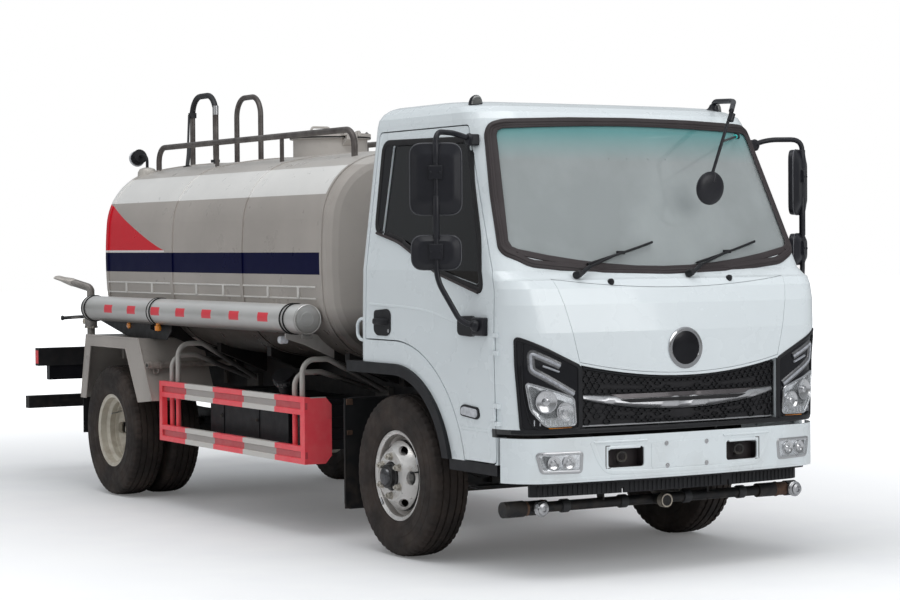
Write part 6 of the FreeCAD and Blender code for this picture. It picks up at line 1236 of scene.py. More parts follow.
def bumper_vent(label, sign):
    """Rimmed opening with a dark pocket and a tow eye in it."""
    slot_line = mirrored([(0.231, 0.490), (0.408, 0.488), (0.418, 0.578), (0.240, 0.578)], sign)
    trim("VentRim_" + label, bumper_skin.front, slot_line, 0.014, 0.005, "chassis", WHITE_PAINT, 0.015,
         0.014, True)
    front = bumper_skin.front(sign * 0.21, 0.53)[0].x - 0.012
    low, high = sorted((sign * 0.222, sign * 0.430))
    middle, wide = (low + high) / 2, high - low
    pocket = Form().box((front - 0.055, middle, 0.535), (0.004, wide, 0.100))
    for y in (low, high):
        pocket.box((front - 0.028, y, 0.535), (0.056, 0.003, 0.100))
    for z in (0.585, 0.486):
        pocket.box((front - 0.028, middle, z), (0.056, wide, 0.003))
    pocket.make("VentPocket_" + label, SEAL, "chassis")
    centre = Vector((front - 0.026, sign * 0.33, 0.532))
    ring = [centre + Vector((0.004 * sin, 0.022 * sin, 0.022 * cos)) for cos, sin in circle(20)]
    eye = Form().tube(ring, 0.006, 8, closed=True)
    eye.rod(centre + Vector((-0.026, 0, -0.02)), centre + Vector((0, 0, -0.02)), 0.008)
    eye.make("TowEye_" + label, CAST_METAL, "chassis")


def fog_lamp(label, sign):
    """Bed, bezel, two bowls and clear cover of a fog lamp."""
    fog = mirrored([(0.556, 0.479), (0.741, 0.483), (0.760, 0.562), (0.550, 0.562)], sign)
    outline = along_lines(fog, 0.015, closed=True, rounding=0.014)
    plate_on(bumper_skin.front, outline, 0.004).make("FogBed_" + label, REFLECTOR, "chassis")
    seal("FogBezel_" + label, bumper_skin.front, outline, 0.018, 0.008, "chassis", SATIN_SILVER)
    bowl = Form()
    for y in (0.615, 0.69):
        spot, way = bumper_skin.front(y * sign, 0.522)
        bowl.lathe(spot + way * 0.003, way, [(0, 0.030), (0.007, 0.030), (0.007, 0.027), (0.002, 0.015),
                                             (0.007, 0.008)], 30)
    bowl.make("FogBowls_" + label, CHROME, "chassis", angle=25)
    plate_on(bumper_skin.front, outline, 0.0100, sink=-0.0085).make("FogCover_" + label, GLASS_CLEAR,
                                                                    "chassis")


def bumper_details():
    """Plate pad, folds, vents and lamps of the bumper and the ridges of the valance below it."""
    pad = [(-0.192, 0.476), (0.200, 0.476), (0.200, 0.593), (-0.192, 0.593)]
    patch("PlatePad", bumper_skin.front, pad, 0.0018, "chassis", WHITE_PAINT, 0.03, 0.012, 0.0008)
    studs("PadScrews", bumper_skin.front, [(-0.111, 0.584), (0.114, 0.582), (-0.106, 0.484), (0.113, 0.484)],
          [(0, 0.011), (0.0022, 0.011), (0.0028, 0.007), (0.004, 0.006)], 18, "chassis", SATIN_SILVER)
    for name, corners, width, height, step, rounding in (
        ("BumperStep", [(-0.500, 0.606), (-0.465, 0.52), (-0.425, 0.470), (-0.21, 0.462), (0.21, 0.462),
                        (0.425, 0.470), (0.465, 0.52), (0.500, 0.606)], 0.022, 0.002, 0.02, 0.03),
        ("BumperLineRight", [(-0.49, 0.604), (-0.215, 0.604)], 0.010, 0.005, 0.02, 0.0),
        ("BumperLineLeft", [(0.215, 0.604), (0.49, 0.604)], 0.010, 0.005, 0.02, 0.0),
        ("BumperLowFold", [(-0.74, 0.447), (0.74, 0.447)], 0.014, 0.002, 0.03, 0.0),
    ):
        trim(name, bumper_skin.front, corners, width, height, "chassis", WHITE_PAINT, step, rounding)
    for label, sign in SIDES:
        bumper_vent(label, sign)
        fog_lamp(label, sign)
    ridges = Form()
    valance = Skin("front_valance")
    for y in (-0.72 + 1.44 * count / 59 for count in range(60)):
        if abs(abs(y) - 0.296) >= 0.02:
            ridges.box(valance.front(y, 0.392)[0] + Vector((0.001, 0, 0)), (0.006, 0.010, 0.046))
    ridges.make("ValanceRidges", BLACK_TRIM, "chassis", bevel=0.002)


def lower_trim():
    """Black strip under the headlamps and grille along the cab's lower edge."""
    line = [(y / 100, 0.6585) for y in range(-84, 85, 3)]
    seal("NoseStrip", panel_skin.front, line, 0.017, 0.004, "cab", BLACK_TRIM, closed=False)
    posts("LampPosts", panel_skin.front, [(0.5505, 0.668), (0.5505, 0.945)], 0.0045)


SPRAY_X, SPRAY_Z = at(0.88), 0.305
SPRAY_TIPS = (-0.655, 0.79)


def spray_bar_details():
    """Nozzles, couplings and the rubber end of the front spray pipe."""
    x, z = SPRAY_X, SPRAY_Z
    tips, rings, capsule, pipe, middle, collars = (Form() for _ in range(6))
    for y in SPRAY_TIPS:
        tips.lathe((x + 0.02, y, z), (1, 0, 0), [
            (0, 0.028), (0.020, 0.030), (0.026, 0.034), (0.040, 0.034), (0.044, 0.028), (0.052, 0.026),
            (0.056, 0.014), (0.048, 0.010)], 32)
        for shift in (0.050, 0.056):
            ring = [(x + shift, y + 0.0345 * sin, z + 0.0345 * cos) for cos, sin in circle(28)]
            rings.tube(ring, 0.0018, 6, closed=True)
    tips.make("SprayTips", SATIN_SILVER, "chassis", angle=28)
    rings.make("SprayTipRings", CHROME, "chassis")
    capsule.lathe((x, -0.827, z), (0, 1, 0), [(0, 0.022), (0.006, 0.031), (0.018, 0.0365), (0.105, 0.0365),
                                              (0.112, 0.034)], 32)
    capsule.make("SprayCapsule", FLAP_RUBBER, "chassis")
    pipe.lathe((x, -0.716, z), (0, 1, 0), [(0, 0.032), (0.012, 0.034), (0.016, 0.0315), (0.085, 0.0315),
                                           (0.090, 0.0345), (0.102, 0.0345)], 32)
    pipe.lathe((x, 0.700, z), (0, 1, 0), [(0, 0.033), (0.014, 0.0355), (0.018, 0.032), (0.116, 0.032)], 32)
    pipe.make("SprayRustyEnds", RUST, "chassis", angle=28)
    middle.lathe((x + 0.068, 0, z), (1, 0, 0), [(0, 0.033), (0.022, 0.033), (0.034, 0.031), (0.034, 0.025),
                                                (0.010, 0.023)], 36)
    middle.make("SprayMiddleRing", BRASS, "chassis", angle=28)
    for y in (-0.52, -0.20, 0.16, 0.48):
        collars.lathe((x, y, z), (0, 1, 0), [(0, 0.029), (0.004, 0.031), (0.036, 0.031), (0.040, 0.029)], 24)
    collars.make("SprayCollars", HOSE_BLACK, "chassis")


def wiper_form(form, rubber_form, foot_y):
    """Cranked arm with a spring cover, a bridge and a rubber blade."""
    def on_glass(reach, z, rise):
        spot, way = body_skin.front(foot_y + reach, z)
        return spot + way * rise

    ways = [Vector((1, 0, 0.4))] * 33
    foot, elbow, middle = (on_glass(*place) for place in (
        (0, 1.322, 0.022), (0.09, 1.368, 0.034), (0.285, 1.432, 0.026)))
    form.lathe(foot - Vector((0.03, 0, 0)), (1, 0, 0.25), [(0, 0.018), (0.03, 0.017), (0.038, 0.012),
                                                           (0.044, 0.012)], 20)
    for start, share, end, width, height in (
        (foot, 0.6, elbow, 0.020, 0.010),
        (elbow, 0.5, middle, 0.011, 0.007),
    ):
        form.sweep(flowing([start, start.lerp(end, share), end], 6), section(width, height), upward=ways)
    blade = [on_glass(reach, z, 0.014) for reach, z in ((0.095, 1.386), (0.20, 1.411), (0.285, 1.432),
                                                        (0.38, 1.456), (0.475, 1.482))]
    form.sweep(flowing(blade, 8), section(0.012, 0.008), upward=ways)
    rubber_form.sweep(flowing([point - Vector((0.007, 0, 0)) for point in blade], 8), section(0.006, 0.006),
                      upward=ways)
    form.box(middle - Vector((0.006, 0, 0)), (0.014, 0.040, 0.016))


def wipers():
    form, blades = Form(), Form()
    for foot_y in (-0.515, 0.093):
        wiper_form(form, blades, foot_y)
    piece = form.make("WiperArms", BLACK_TRIM, "cab", bevel=0.0008)
    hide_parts("wipers")
    blades.make("WiperRubber", SEAL, "cab")
    studs("WasherJets", panel_skin.front, [(-0.354, 1.311), (0.313, 1.319)],
          [(0, 0.016), (0.006, 0.015), (0.014, 0.010), (0.018, 0.006)], 18, "cab", BLACK_TRIM)


for side_label, side_sign in SIDES:
    headlamp_details(side_label, side_sign)
grille_details()
front_disc()
bumper_details()
lower_trim()
spray_bar_details()
wipers()


# Cab openings, mirrors and lamps

HOLE = [(y / 100, 1.370 + 0.080 * (y / 75) ** 2) for y in range(-75, 76, 15)]
HOLE += [(0.780, 1.464), (0.790, 1.496), (0.722, 1.972), (0.710, 2.004)]
HOLE += [(y / 100, 2.036 - 0.017 * (y / 68.2) ** 2) for y in range(68, -69, -17)]
HOLE += [(-0.710, 2.004), (-0.722, 1.972), (-0.790, 1.496), (-0.780, 1.464)]
DOOR_HOLE = [(-0.150, 1.530), (0.060, 1.490), (0.430, 1.362), (0.770, 1.300), (0.745, 1.420), (0.540, 1.962),
             (-0.130, 1.962)]
BACK_HOLE = [(-0.430, 1.480), (0.430, 1.480), (0.430, 1.860), (-0.430, 1.860)]


def middle_of(points):
    return sum((Vector(point) for point in points), Vector((0, 0))) / len(points)


def drawn_in(outline, inset):
    """Outline moved towards its middle; a negative inset moves it outwards."""
    middle = middle_of(outline)
    return [Vector(point) + (middle - Vector(point)).normalized() * inset for point in outline]


def reveal(name, skin_call, corners, low, high, body, rounding=0.0):
    """Thin lining of the cut edge of an opening, from low to high above the surface."""
    path, outward = strip_on(skin_call, along_lines(corners, closed=True, rounding=rounding))
    edge = [(-0.0012, low), (0.0012, low), (0.0012, high), (-0.0012, high)]
    Form().sweep(path, edge, True, outward).make(name, REVEAL_BLACK, body)


def at_angle(points, middle, angle):
    """Where a ray from the middle meets an outline."""
    way = Vector((math.cos(angle), math.sin(angle)))
    for start, end in zip(points, points[1:] + points[:1]):
        along = end - start
        cross = way.x * along.y - way.y * along.x
        if abs(cross) < 1e-9:
            continue
        reach = ((start.x - middle.x) * along.y - (start.y - middle.y) * along.x) / cross
        share = ((start.x - middle.x) * way.y - (start.y - middle.y) * way.x) / cross
        if reach > 0 and -1e-6 <= share <= 1 + 1e-6:
            return middle + way * reach
    return None


def ring_plate(name, skin_call, outer, inner, rise, body, material):
    """Thin plate between two outlines on a surface."""
    middle = middle_of(inner)
    outer, inner = (sorted((Vector(point) for point in outline),
                           key=lambda point: math.atan2(point.y - middle.y, point.x - middle.x))
                    for outline in (outer, inner))
    rows = []
    for step in range(144):
        far, near = (at_angle(outline, middle, 2 * math.pi * step / 144) for outline in (outer, inner))
        if far is None or near is None:
            continue
        row = []
        for share in (0, 0.5, 1):
            place = far.lerp(near, share)
            spot, way = skin_call(place.x, place.y)
            row.append(spot + way * rise)
        rows.append(row)
    Form().rows(rows, around=False, closed=True).make(name, material, body)


def openings():
    """Seals and linings of the windscreen and of the window in the cab's back."""
    trim("ScreenSealInner", body_skin.front, drawn_in(HOLE, -0.006), 0.032, 0.005, "cab", closed=True)
    reveal("ScreenReveal", body_skin.front, drawn_in(HOLE, 0.004), -0.046, 0.001, "cab")
    shell = Skin("cab_shell", "cab_glass")

    def back(y, z):
        return shell.cast((-4, y, z), (1, 0, 0))

    trim("RearWindowSeal", back, BACK_HOLE, 0.036, 0.007, "cab", rounding=0.05, closed=True)
    reveal("RearWindowReveal", back, drawn_in(BACK_HOLE, 0.006), -0.046, 0.001, "cab", 0.05)


BAR_Y = 1.045
MIRROR_AXLE_Y = 1.0475


def mirror_shell(form, glass_form, rim_form, axle, normal, middle, width, height):
    """One mirror head: bevelled back towards the front, flat glass towards the rear."""
    across = Vector((0, 0, 1)).cross(normal)
    corners = [(-width / 2, -height / 2), (width / 2, -height / 2), (width / 2, height / 2),
               (-width / 2, height / 2)]
    outline = along_lines(corners, 0.03, closed=True, rounding=0.055)
    centre = Vector((axle.x, axle.y, middle))

    def ring(depth, wide, tall):
        return [centre + normal * depth + across * (point[0] * wide) + Vector((0, 0, point[1] * tall))
                for point in outline]

    form.rows([ring(*level) for level in (
        (-0.0420, 0.93, 0.94), (-0.0425, 0.985, 0.99), (-0.037, 1.0, 1.0), (-0.020, 1.0, 1.0),
        (-0.011, 0.965, 0.975), (0.0, 0.76, 0.74), (0.0035, 0.70, 0.68), (0.0040, 0.60, 0.60))])
    # painted highlight: grey rim tube along the head's edge
    rim_form.tube(ring(-0.0185, 1.0, 1.0), 0.0024, 6, closed=True)
    glass_form.rows([ring(-0.0424, 0.92, 0.93), ring(-0.0428, 0.92, 0.93)])


def door_mirror(label, sign):
    """Two heads clamped to a bent bar that runs down their front."""
    body = "door_" + label
    turn = math.radians(36)
    normal = Vector((math.cos(turn), sign * math.sin(turn), 0))
    across = Vector((0, 0, 1)).cross(normal)
    axle = Vector((at(0.690), sign * MIRROR_AXLE_Y, 0))
    form, glass_form, rim_form, bar, clamps, feet = (Form() for _ in range(6))
    for middle, width, height in ((1.775, 0.232, 0.318), (1.448, 0.223, 0.153)):
        mirror_shell(form, glass_form, rim_form, axle, normal, middle, width, height)
    route = [(0.785, 0.870, 1.120), (0.760, 0.960, 1.135), (0.690, BAR_Y, 1.330), (0.690, BAR_Y, 1.985),
             (0.610, 0.900, 1.985), (0.603, 0.800, 1.957)]
    bar.tube(along_lines([(at(x), sign * y, z) for x, y, z in route], 0.012, rounding=0.055), 0.0125, 14)
    rod = Vector((at(0.690), sign * BAR_Y, 0))
    for low, high in ((1.515, 1.700), (1.845, 1.935)):
        bar.lathe(rod + Vector((0, 0, low)), (0, 0, 1), [(0, 0.0135), (0.003, 0.0155),
                                                         (high - low - 0.003, 0.0155),
                                                         (high - low, 0.0135)], 18)
    bar.make("MirrorBar_" + label, MIRROR_BLACK, body)
    frame_turn = Matrix((across, normal, (0, 0, 1))).transposed()
    for middle, tall in ((1.803, 0.058), (1.452, 0.066)):
        spot = rod + normal * 0.002 + Vector((0, 0, middle))
        clamps.box(spot, (0.060, 0.030, tall), frame_turn)
        clamps.box(spot + Vector((0, 0, tall / 2)), (0.064, 0.026, 0.006), frame_turn)
        for side in (-0.021, 0.021):
            clamps.lathe(spot + across * side + normal * 0.015, normal, [(0, 0.0065), (0.003, 0.0065),
                                                                         (0.004, 0.003)], 6)
    clamps.make("MirrorClamps_" + label, MIRROR_BLACK, body, bevel=0.003)
    feet.box((at(0.789), sign * 0.868, 1.118), (0.100, 0.058, 0.082))
    feet.lathe((at(0.785), sign * 0.890, 1.120), (-0.02, sign * 0.09, 0.015), [(0, 0.026), (0.022, 0.024),
                                                                               (0.034, 0.016)], 20)
    feet.box((at(0.603), sign * 0.800, 1.956), (0.052, 0.050, 0.052))
    feet.lathe((at(0.605), sign * 0.812, 1.957), (0, sign, 0.1), [(0, 0.030), (0.014, 0.029),
                                                                  (0.022, 0.018)], 20)
    feet.make("MirrorFeet_" + label, MIRROR_BLACK, body, bevel=0.008)
    shells = form.make("MirrorShells_" + label, MIRROR_BLACK, body, angle=28)
    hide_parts("mirror_" + label)
    glass_form.make("MirrorGlass_" + label, MIRROR, body)
    rim_form.make("MirrorRims_" + label, MIRROR_EDGE_HIGHLIGHT, body)


def front_mirror():
    """Round mirror ahead of the windscreen on two struts from the roof arm."""
    form, head, face, strut, joint = (Form() for _ in range(5))
    route = [(0.520, 0.630, 2.075), (0.520, 0.630, 2.170), (0.760, 0.570, 2.158), (1.008, 0.360, 2.092)]
    form.tube(along_lines([(at(x), y, z) for x, y, z in route], 0.012, rounding=0.055), 0.0125, 12)
    form.rod((at(1.005), 0.365, 2.100), (at(0.992), 0.262, 1.806), 0.0075)
    form.lathe((at(1.008), 0.366, 2.080), (0, -0.35, -1), [(0, 0.015), (0.036, 0.015), (0.040, 0.009)], 18)
    roof, way = Skin("cab_shell").top(at(0.520), 0.630)
    form.lathe(roof - way * 0.004, way, [(0, 0.033), (0.006, 0.033), (0.012, 0.026), (0.030, 0.020),
                                         (0.034, 0.014)], 26)
    piece = form.make("FrontMirrorArm", MIRROR_BLACK, "cab", angle=28)
    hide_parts("kerb_mirror")
    normal = Vector((1, 0, -0.1)).normalized()
    spot = Vector((at(0.9895), 0.245, 1.7348))
    head.lathe(spot, normal, [(0, 0.072), (0.001, 0.077), (0.008, 0.0775), (0.016, 0.070), (0.0225, 0.050),
                              (0.0240, 0.020)], 44)
    head.lathe(spot + normal * 0.020 + Vector((0, 0.008, 0.030)), (0, 0.30, 0.95), [
        (0, 0.010), (0.035, 0.010), (0.042, 0.007)], 16)
    head.make("FrontMirrorHead", MIRROR_BLACK, "cab", angle=30)
    face.lathe(spot - normal * 0.0006, normal, [(0, 0.070), (0.0008, 0.070)], 44)
    face.make("FrontMirrorFace", MIRROR, "cab")
    top, _ = body_skin.front(0.640, 1.995)
    low = Vector((at(0.998), 0.312, 1.950))
    strut.rod(top + Vector((0.006, 0, 0)), low, 0.0055)
    strut.lathe(top + Vector((-0.002, 0, 0)), (1, 0, 0.3), [(0, 0.017), (0.005, 0.017), (0.010, 0.011)], 18)
    strut.make("FrontMirrorStrut", MIRROR_BLACK, "cab")
    # painted glint: the strut joint is coloured teal
    joint.lathe(top.lerp(low, 0.10) + Vector((0.004, 0, 0)), low - top,
                [(0, 0.008), (0.006, 0.011), (0.020, 0.011),
                                                                        (0.026, 0.008)], 16)
    joint.make("FrontMirrorJoint", JOINT_TEAL_GLINT, "cab")


MARKER_LENGTH = 0.066


def marker_lamps():
    """Two bullet shaped marker lamps on black feet near the roof's front corners."""
    roof = Skin("cab_shell")
    housing, lens = Form(), Form()
    for sign in (-1, 1):
        spot, way = roof.top(at(0.455), sign * 0.690)
        rows = []
        for share in (step / 10 for step in range(11)):
            wide = 0.034 * math.cos(math.pi * (share - 0.5)) ** 0.5 if 0 < share < 1 else 0.0005
            tall = 0.012 + 0.033 * math.sin(math.pi * (0.15 + 0.6 * share))
            rows.append([spot + Vector((MARKER_LENGTH * (share - 0.5), wide * cos, tall * sin - 0.003))
                         for cos, sin in circle(24)[:13]])
        housing.rows(rows[:8], around=False, capped=False)
        lens.rows(rows[6:], around=False, capped=False)
        housing.lathe(spot - way * 0.004, way, [(0, 0.033), (0.008, 0.033), (0.010, 0.029)], 26)
    piece = housing.make("MarkerHousings", MIRROR_BLACK, "cab")
    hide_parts("roof_lamps")
    lens.make("MarkerLenses", SMOKED_LENS, "cab")


def cab_rear_handle():
    """White loop handle of the cab lock behind the right door."""
    form = Form()
    route = [(-0.350, -0.800, 1.122), (-0.440, -0.812, 1.122), (-0.468, -0.814, 1.100),
             (-0.468, -0.814, 1.040), (-0.440, -0.812, 1.018), (-0.350, -0.800, 1.018)]
    form.tube(along_lines([(at(x), y, z) for x, y, z in route], 0.012, rounding=0.02), 0.0085, 10)
    for height in (1.018, 1.122):
        form.lathe((at(-0.352), -0.800, height), (-1, 0, 0), [(0, 0.016), (0.006, 0.016), (0.008, 0.010)], 16)
    form.make("LockHandle", WHITE_PAINT, "cab")


def inside():
    """Sun visors, dashboard top with its instruments and the gear lever."""
    visors, panel, lever = Form(), Form(), Form()
    for y in (-0.40, 0.40):
        visors.box((at(0.500), y, 1.955), (0.150, 0.420, 0.018), Matrix.Rotation(math.radians(14), 3, "Y"))
    visors.make("SunVisors", LINER, "cab", bevel=0.008)
    panel.box((at(0.640), -0.38, 1.392), (0.055, 0.300, 0.012))
    for y in (-0.46, -0.33):
        panel.lathe((at(0.588), y, 1.345), (-1, 0, 0.3), [(0, 0.050), (0.010, 0.050), (0.012, 0.044),
                                                          (0.006, 0.043)], 28)
    for y in (-0.60, -0.05, 0.18, 0.60):
        panel.box((at(0.590), y, 1.255), (0.010, 0.110, 0.055))
    panel.box((at(0.572), 0.06, 1.215), (0.006, 0.18, 0.05))
    panel.make("DashInstruments", SEAL, "cab", bevel=0.004)
    lever.tube(flowing([(at(0.36), -0.14, 1.02), (at(0.38), -0.14, 1.20), (at(0.35), -0.14, 1.33)]), 0.009)
    lever.lathe((at(0.35), -0.14, 1.32), (-0.1, 0, 1), [(0, 0.010), (0.012, 0.020), (0.034, 0.023),
                                                        (0.046, 0.012)], 18)
    lever.lathe((at(0.36), -0.14, 1.004), (0, 0, 1), [(0, 0.060), (0.020, 0.050), (0.050, 0.024),
                                                      (0.070, 0.012)], 22)
    lever.make("GearLever", SEAL, "cab")


SEWN_SHARES = (0, 0.012, 0.035, 0.07, 0.13, 0.22, 0.32, 0.42, 0.5, 0.58, 0.68, 0.78, 0.87, 0.93, 0.965,
               0.988, 1)
SEAM_WIDTH, EDGE_WIDTH = 0.012, 0.07


def stuffed(name, low, high, profile, seams, material):
    """Stuffed seat part: a closed side profile between two Y values, crowned outwards, with sewn grooves."""
    outline = along_lines([(at(x), SEAT_FLOOR + z) for x, z in profile], 0.022, closed=True, rounding=0.05)
    centre = middle_of(outline)
    rows = []
    for share in SEWN_SHARES:
        shrink = 1 - 0.055 * (1 - min(1.0, min(share, 1 - share) / EDGE_WIDTH)) ** 2
        groove = sum(math.exp(-((share - seam) / SEAM_WIDTH) ** 2) for seam in seams)
        row = []
        for index, point in enumerate(outline):
            away = point - centre
            wrinkle = 0.0015 * math.sin(17 * share + index * 0.9)
            wrinkle += 0.001 * math.sin(41 * share + index * 0.37)
            fit = shrink * (1 - 0.05 * groove) - 0.008 + wrinkle / max(0.05, away.length) * 0.6
            spot = centre + away * fit
            row.append((spot.x, low + (high - low) * share, spot.y))
        rows.append(row)
    piece = Form().rows(rows).make(name, material, "cab", angle=60)
    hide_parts("seats")
    piping = Form()
    edge = [centre + (point - centre) * 0.984 for point in outline]
    for share in (0.045, 0.955):
        y = low + (high - low) * share
        piping.tube([(point.x, y, point.y) for point in edge], 0.0030, 6, closed=True)
    piping.make(name + "Piping", SEAM_GREY, "cab")


SEAT_FLOOR = 1.0003
SEAMS = (0.22, 0.78)


def seat_row():
    """Three seats on steel frames, each with a cushion, a back and a head rest."""
    for number, (low, high) in enumerate(((-0.690, -0.190), (-0.150, 0.270), (0.300, 0.690))):
        base = Form()
        middle = (low + high) / 2
        for side in (low + 0.055, high - 0.055):
            base.box((at(0.010), side, SEAT_FLOOR + 0.025), (0.430, 0.028, 0.050))
            base.box((at(0.010), side, SEAT_FLOOR + 0.150), (0.400, 0.020, 0.110))
            for leg in (-0.15, 0.17):
                base.box((at(leg), side, SEAT_FLOOR + 0.085), (0.050, 0.022, 0.120))
        base.box((at(0.010), middle, SEAT_FLOOR + 0.195), (0.420, high - low - 0.090, 0.020))
        base.make(f"BenchFrame{number}", BLACK_PAINT, "cab", bevel=0.003)
        stuffed(f"Cushion{number}", low, high, [(-0.230, 0.207), (0.270, 0.225), (0.275, 0.330),
                                                (-0.240, 0.300)],
                SEAMS, SEAT_FILM)
        stuffed(f"Backrest{number}", low + 0.010, high - 0.010,
                [(-0.215, 0.300), (-0.095, 0.305), (-0.165, 0.800), (-0.265, 0.800)], SEAMS, SEAT_FILM)
        stuffed(f"HeadRest{number}", middle - 0.130, middle + 0.130,
                [(-0.175, 0.800), (-0.175, 0.950), (-0.260, 0.950), (-0.260, 0.800)], (), SEAT_COVER)


def window_borders():
    """Black border between the opening of each door's glass and its seal, and the lining of its edge."""
    for label, sign in SIDES:
        def side(x, z, skin=door_skins[label], sign=sign):
            return skin.side(at(x), z, sign)

        body = "door_" + label
        ring_plate("WindowBorder_" + label, side, WINDOW, drawn_in(DOOR_HOLE, -0.0015), 0.0014, body,
                   LAMP_BLACK)
        reveal("WindowReveal_" + label, side, drawn_in(DOOR_HOLE, 0.004), -0.036, 0.0015, body, 0.02)


openings()
window_borders()
for side_label, side_sign in SIDES:
    door_mirror(side_label, side_sign)
front_mirror()
marker_lamps()
cab_rear_handle()
inside()
seat_row()


# Tank, hose tubes, guards and rear end

tank_skin = Skin("tank")
TUBE_Y, TUBE_Z = 0.900, 1.110
MANHOLE_X = at(-2.270)
STAY_X, STAY_Z = at(-2.732), 0.800


def side_lines():
    """Two narrow ledges along the tank's flanks with small lugs below them."""
    form, lugs = Form(), Form()
    for sign in (-1, 1):
        for height in (1.272, 1.212):
            outline = along_lines([(at(-3.57), height), (at(-0.86), height)], 0.08)
            path, outward = strip_on(lambda x, z: tank_skin.side(x, z, sign), outline, False)
            form.sweep(path, section(0.010, 0.005), False, outward)
        for offset in (-3.30, -2.92, -2.30, -1.95, -1.40, -1.05):
            place, normal = tank_skin.side(at(offset), 1.242, sign)
            lugs.box(place + normal * 0.003, (0.022, 0.010, 0.056))
    # painted highlight: the ledges' pale colour lightens them along the flanks
    form.make("TankLines", PALE_LINE, "chassis", angle=50)
    lugs.make("TankLugs", PALE_LINE, "chassis", bevel=0.002)


def manhole_details():
    """Gasket, clamp bolts and edge of the manhole's lid."""
    gasket, bolts, edge = Form(), Form(), Form()
    gasket.lathe((MANHOLE_X, 0, 2.097), (0, 0, 1), [(0, 0.2325), (0, 0.2352), (0.0075, 0.2352),
                                                    (0.0075, 0.2325)], 64, True)
    gasket.make("ManholeGasket", BAND_BLACK, "chassis")
    for cos, sin in circle(8, 0.5):
        hex_nut(bolts, (MANHOLE_X + 0.212 * cos, 0.212 * sin, 2.1215), (0, 0, 1), 0.011, 0.012)
    bolts.make("LidBolts", CAST_METAL, "manhole_lid", angle=20)
    edge.lathe((MANHOLE_X, 0, 2.1205), (0, 0, 1), [(0, 0.236), (0.0035, 0.2345), (0.0035, 0.228), (0, 0.226)],
               64, True)
    edge.make("LidRim", TANK_PAINT, "manhole_lid")


def tube_details():
    """Strap edges and cap rims of the hose tubes."""
    straps = Form()
    for label, sign in SIDES:
        for offset in (-3.685, -2.700, -1.005):
            for shift in (-0.0005, 0.0365):
                straps.lathe((at(offset) + shift, sign * TUBE_Y, TUBE_Z), (1, 0, 0), [
                    (0, 0.0745), (0, 0.0805), (0.002, 0.0812), (0.005, 0.0812), (0.007, 0.0805),
                    (0.007, 0.0745)], 48, True)
        rims = Form()
        face = (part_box("tube_cap_" + label)[1][0] - 0.0015, sign * TUBE_Y, TUBE_Z)
        rims.lathe(face, (1, 0, 0), [(0, 0.070), (0, 0.0765), (0.004, 0.0765), (0.006, 0.074),
                                     (0.004, 0.070)], 48,
                   True)
        rims.lathe(face, (1, 0, 0), [(0, 0.030), (0, 0.040), (0.003, 0.039), (0.003, 0.031)], 40, True)
        rims.make("CapRim_" + label, TUBE_SILVER, "tube_cap_" + label)
    straps.make("TubeStraps", BAND_BLACK, "chassis")


def under_tube_plates():
    """Dark plates between tubes and fenders with a side lamp, a hose plug and a fender stay pipe."""
    plates, lamps, plugs, pipes, ends = (Form() for _ in range(5))
    for sign in (-1, 1):
        outline = [(at(-3.63), 1.040), (at(-3.17), 0.949), (at(-2.62), 0.949), (at(-2.55), 1.000),
                   (at(-2.55), 1.040)]
        plates.rows([[(x, sign * y, z) for x, z in outline] for y in (0.881, 0.887)])
        lamps.lathe((at(-3.16), sign * 0.886, 1.018), (0, sign, 0), [(0, 0.020), (0.006, 0.020),
                                                                     (0.012, 0.015),
                                                                    (0.014, 0.006)], 28)
        plugs.lathe((at(-2.64), sign * 0.930, 1.000), (0, 0, 1), [(0, 0.013), (0.004, 0.019), (0.028, 0.019),
                                                                 (0.034, 0.012), (0.044, 0.012)], 24)
        for form, start, end, radius in ((pipes, 0.962, 0.40, 0.018), (pipes, 0.945, 0.929, 0.023),
                                         (pipes, 0.885, 0.869, 0.023), (ends, 0.9615, 0.9628, 0.0115)):
            form.rod((STAY_X, sign * start, STAY_Z), (STAY_X, sign * end, STAY_Z), radius)
        turns = [0.4 * step for step in range(16)]
        pipes.tube([(STAY_X, sign * 0.905 + 0.016 * math.cos(turn), 0.768 + 0.016 * math.sin(turn))
                    for turn in turns], 0.005, 8, closed=True)
    plates.make("TubePlates", BLACK_PAINT, "chassis", bevel=0.001)
    lamps.make("SideLamps", LENS_AMBER, "chassis")
    plugs.make("HosePlugs", LENS_AMBER, "chassis")
    pipes.make("FenderStays", PIPE_GREY, "chassis")
    ends.make("StayEnds", BAND_BLACK, "chassis")


def fender_edges():
    """Rolled edges of the fenders, and edges and clips of the mudguards."""
    form, clips, edges = Form(), Form(), Form()
    flap_x = at(-0.478)
    for sign in (-1, 1):
        for edge in ([(-3.739, 0.565), (-3.646, 0.949), (-2.850, 0.949), (-2.662, 0.600)],
                     [(-2.856, 0.582), (-3.040, 0.889), (-3.580, 0.889), (-3.664, 0.565)]):
            line = along_lines([(at(x), z) for x, z in edge], 0.05)
            form.tube([(x, sign * 0.963, z) for x, z in line], 0.0055, 8)
        for y in (0.625, 0.860):
            clips.box((flap_x + 0.003, sign * y, 0.712), (0.008, 0.036, 0.030))
            clips.box((flap_x + 0.003, sign * y, 0.560), (0.008, 0.030, 0.024))
        for y in (0.66, 0.78, 0.90):
            clips.box((at(-3.748), sign * y, 0.580), (0.008, 0.030, 0.022))
        corners = [(0.603, 0.728), (0.882, 0.728), (0.882, 0.188), (0.603, 0.188)]
        line = along_lines(corners, 0.05, closed=True, rounding=0.03)
        edges.tube([(flap_x - 0.004, sign * y, z) for y, z in line], 0.0065, 8, closed=True)
    form.make("FenderEdges", TANK_PAINT, "chassis", angle=60)
    clips.make("FlapClips", RUST, "chassis", bevel=0.002)
    edges.make("FlapEdges", FLAP_RUBBER, "chassis", angle=60)


BEAM_Z = 0.7725
BAND_STEP = 0.24


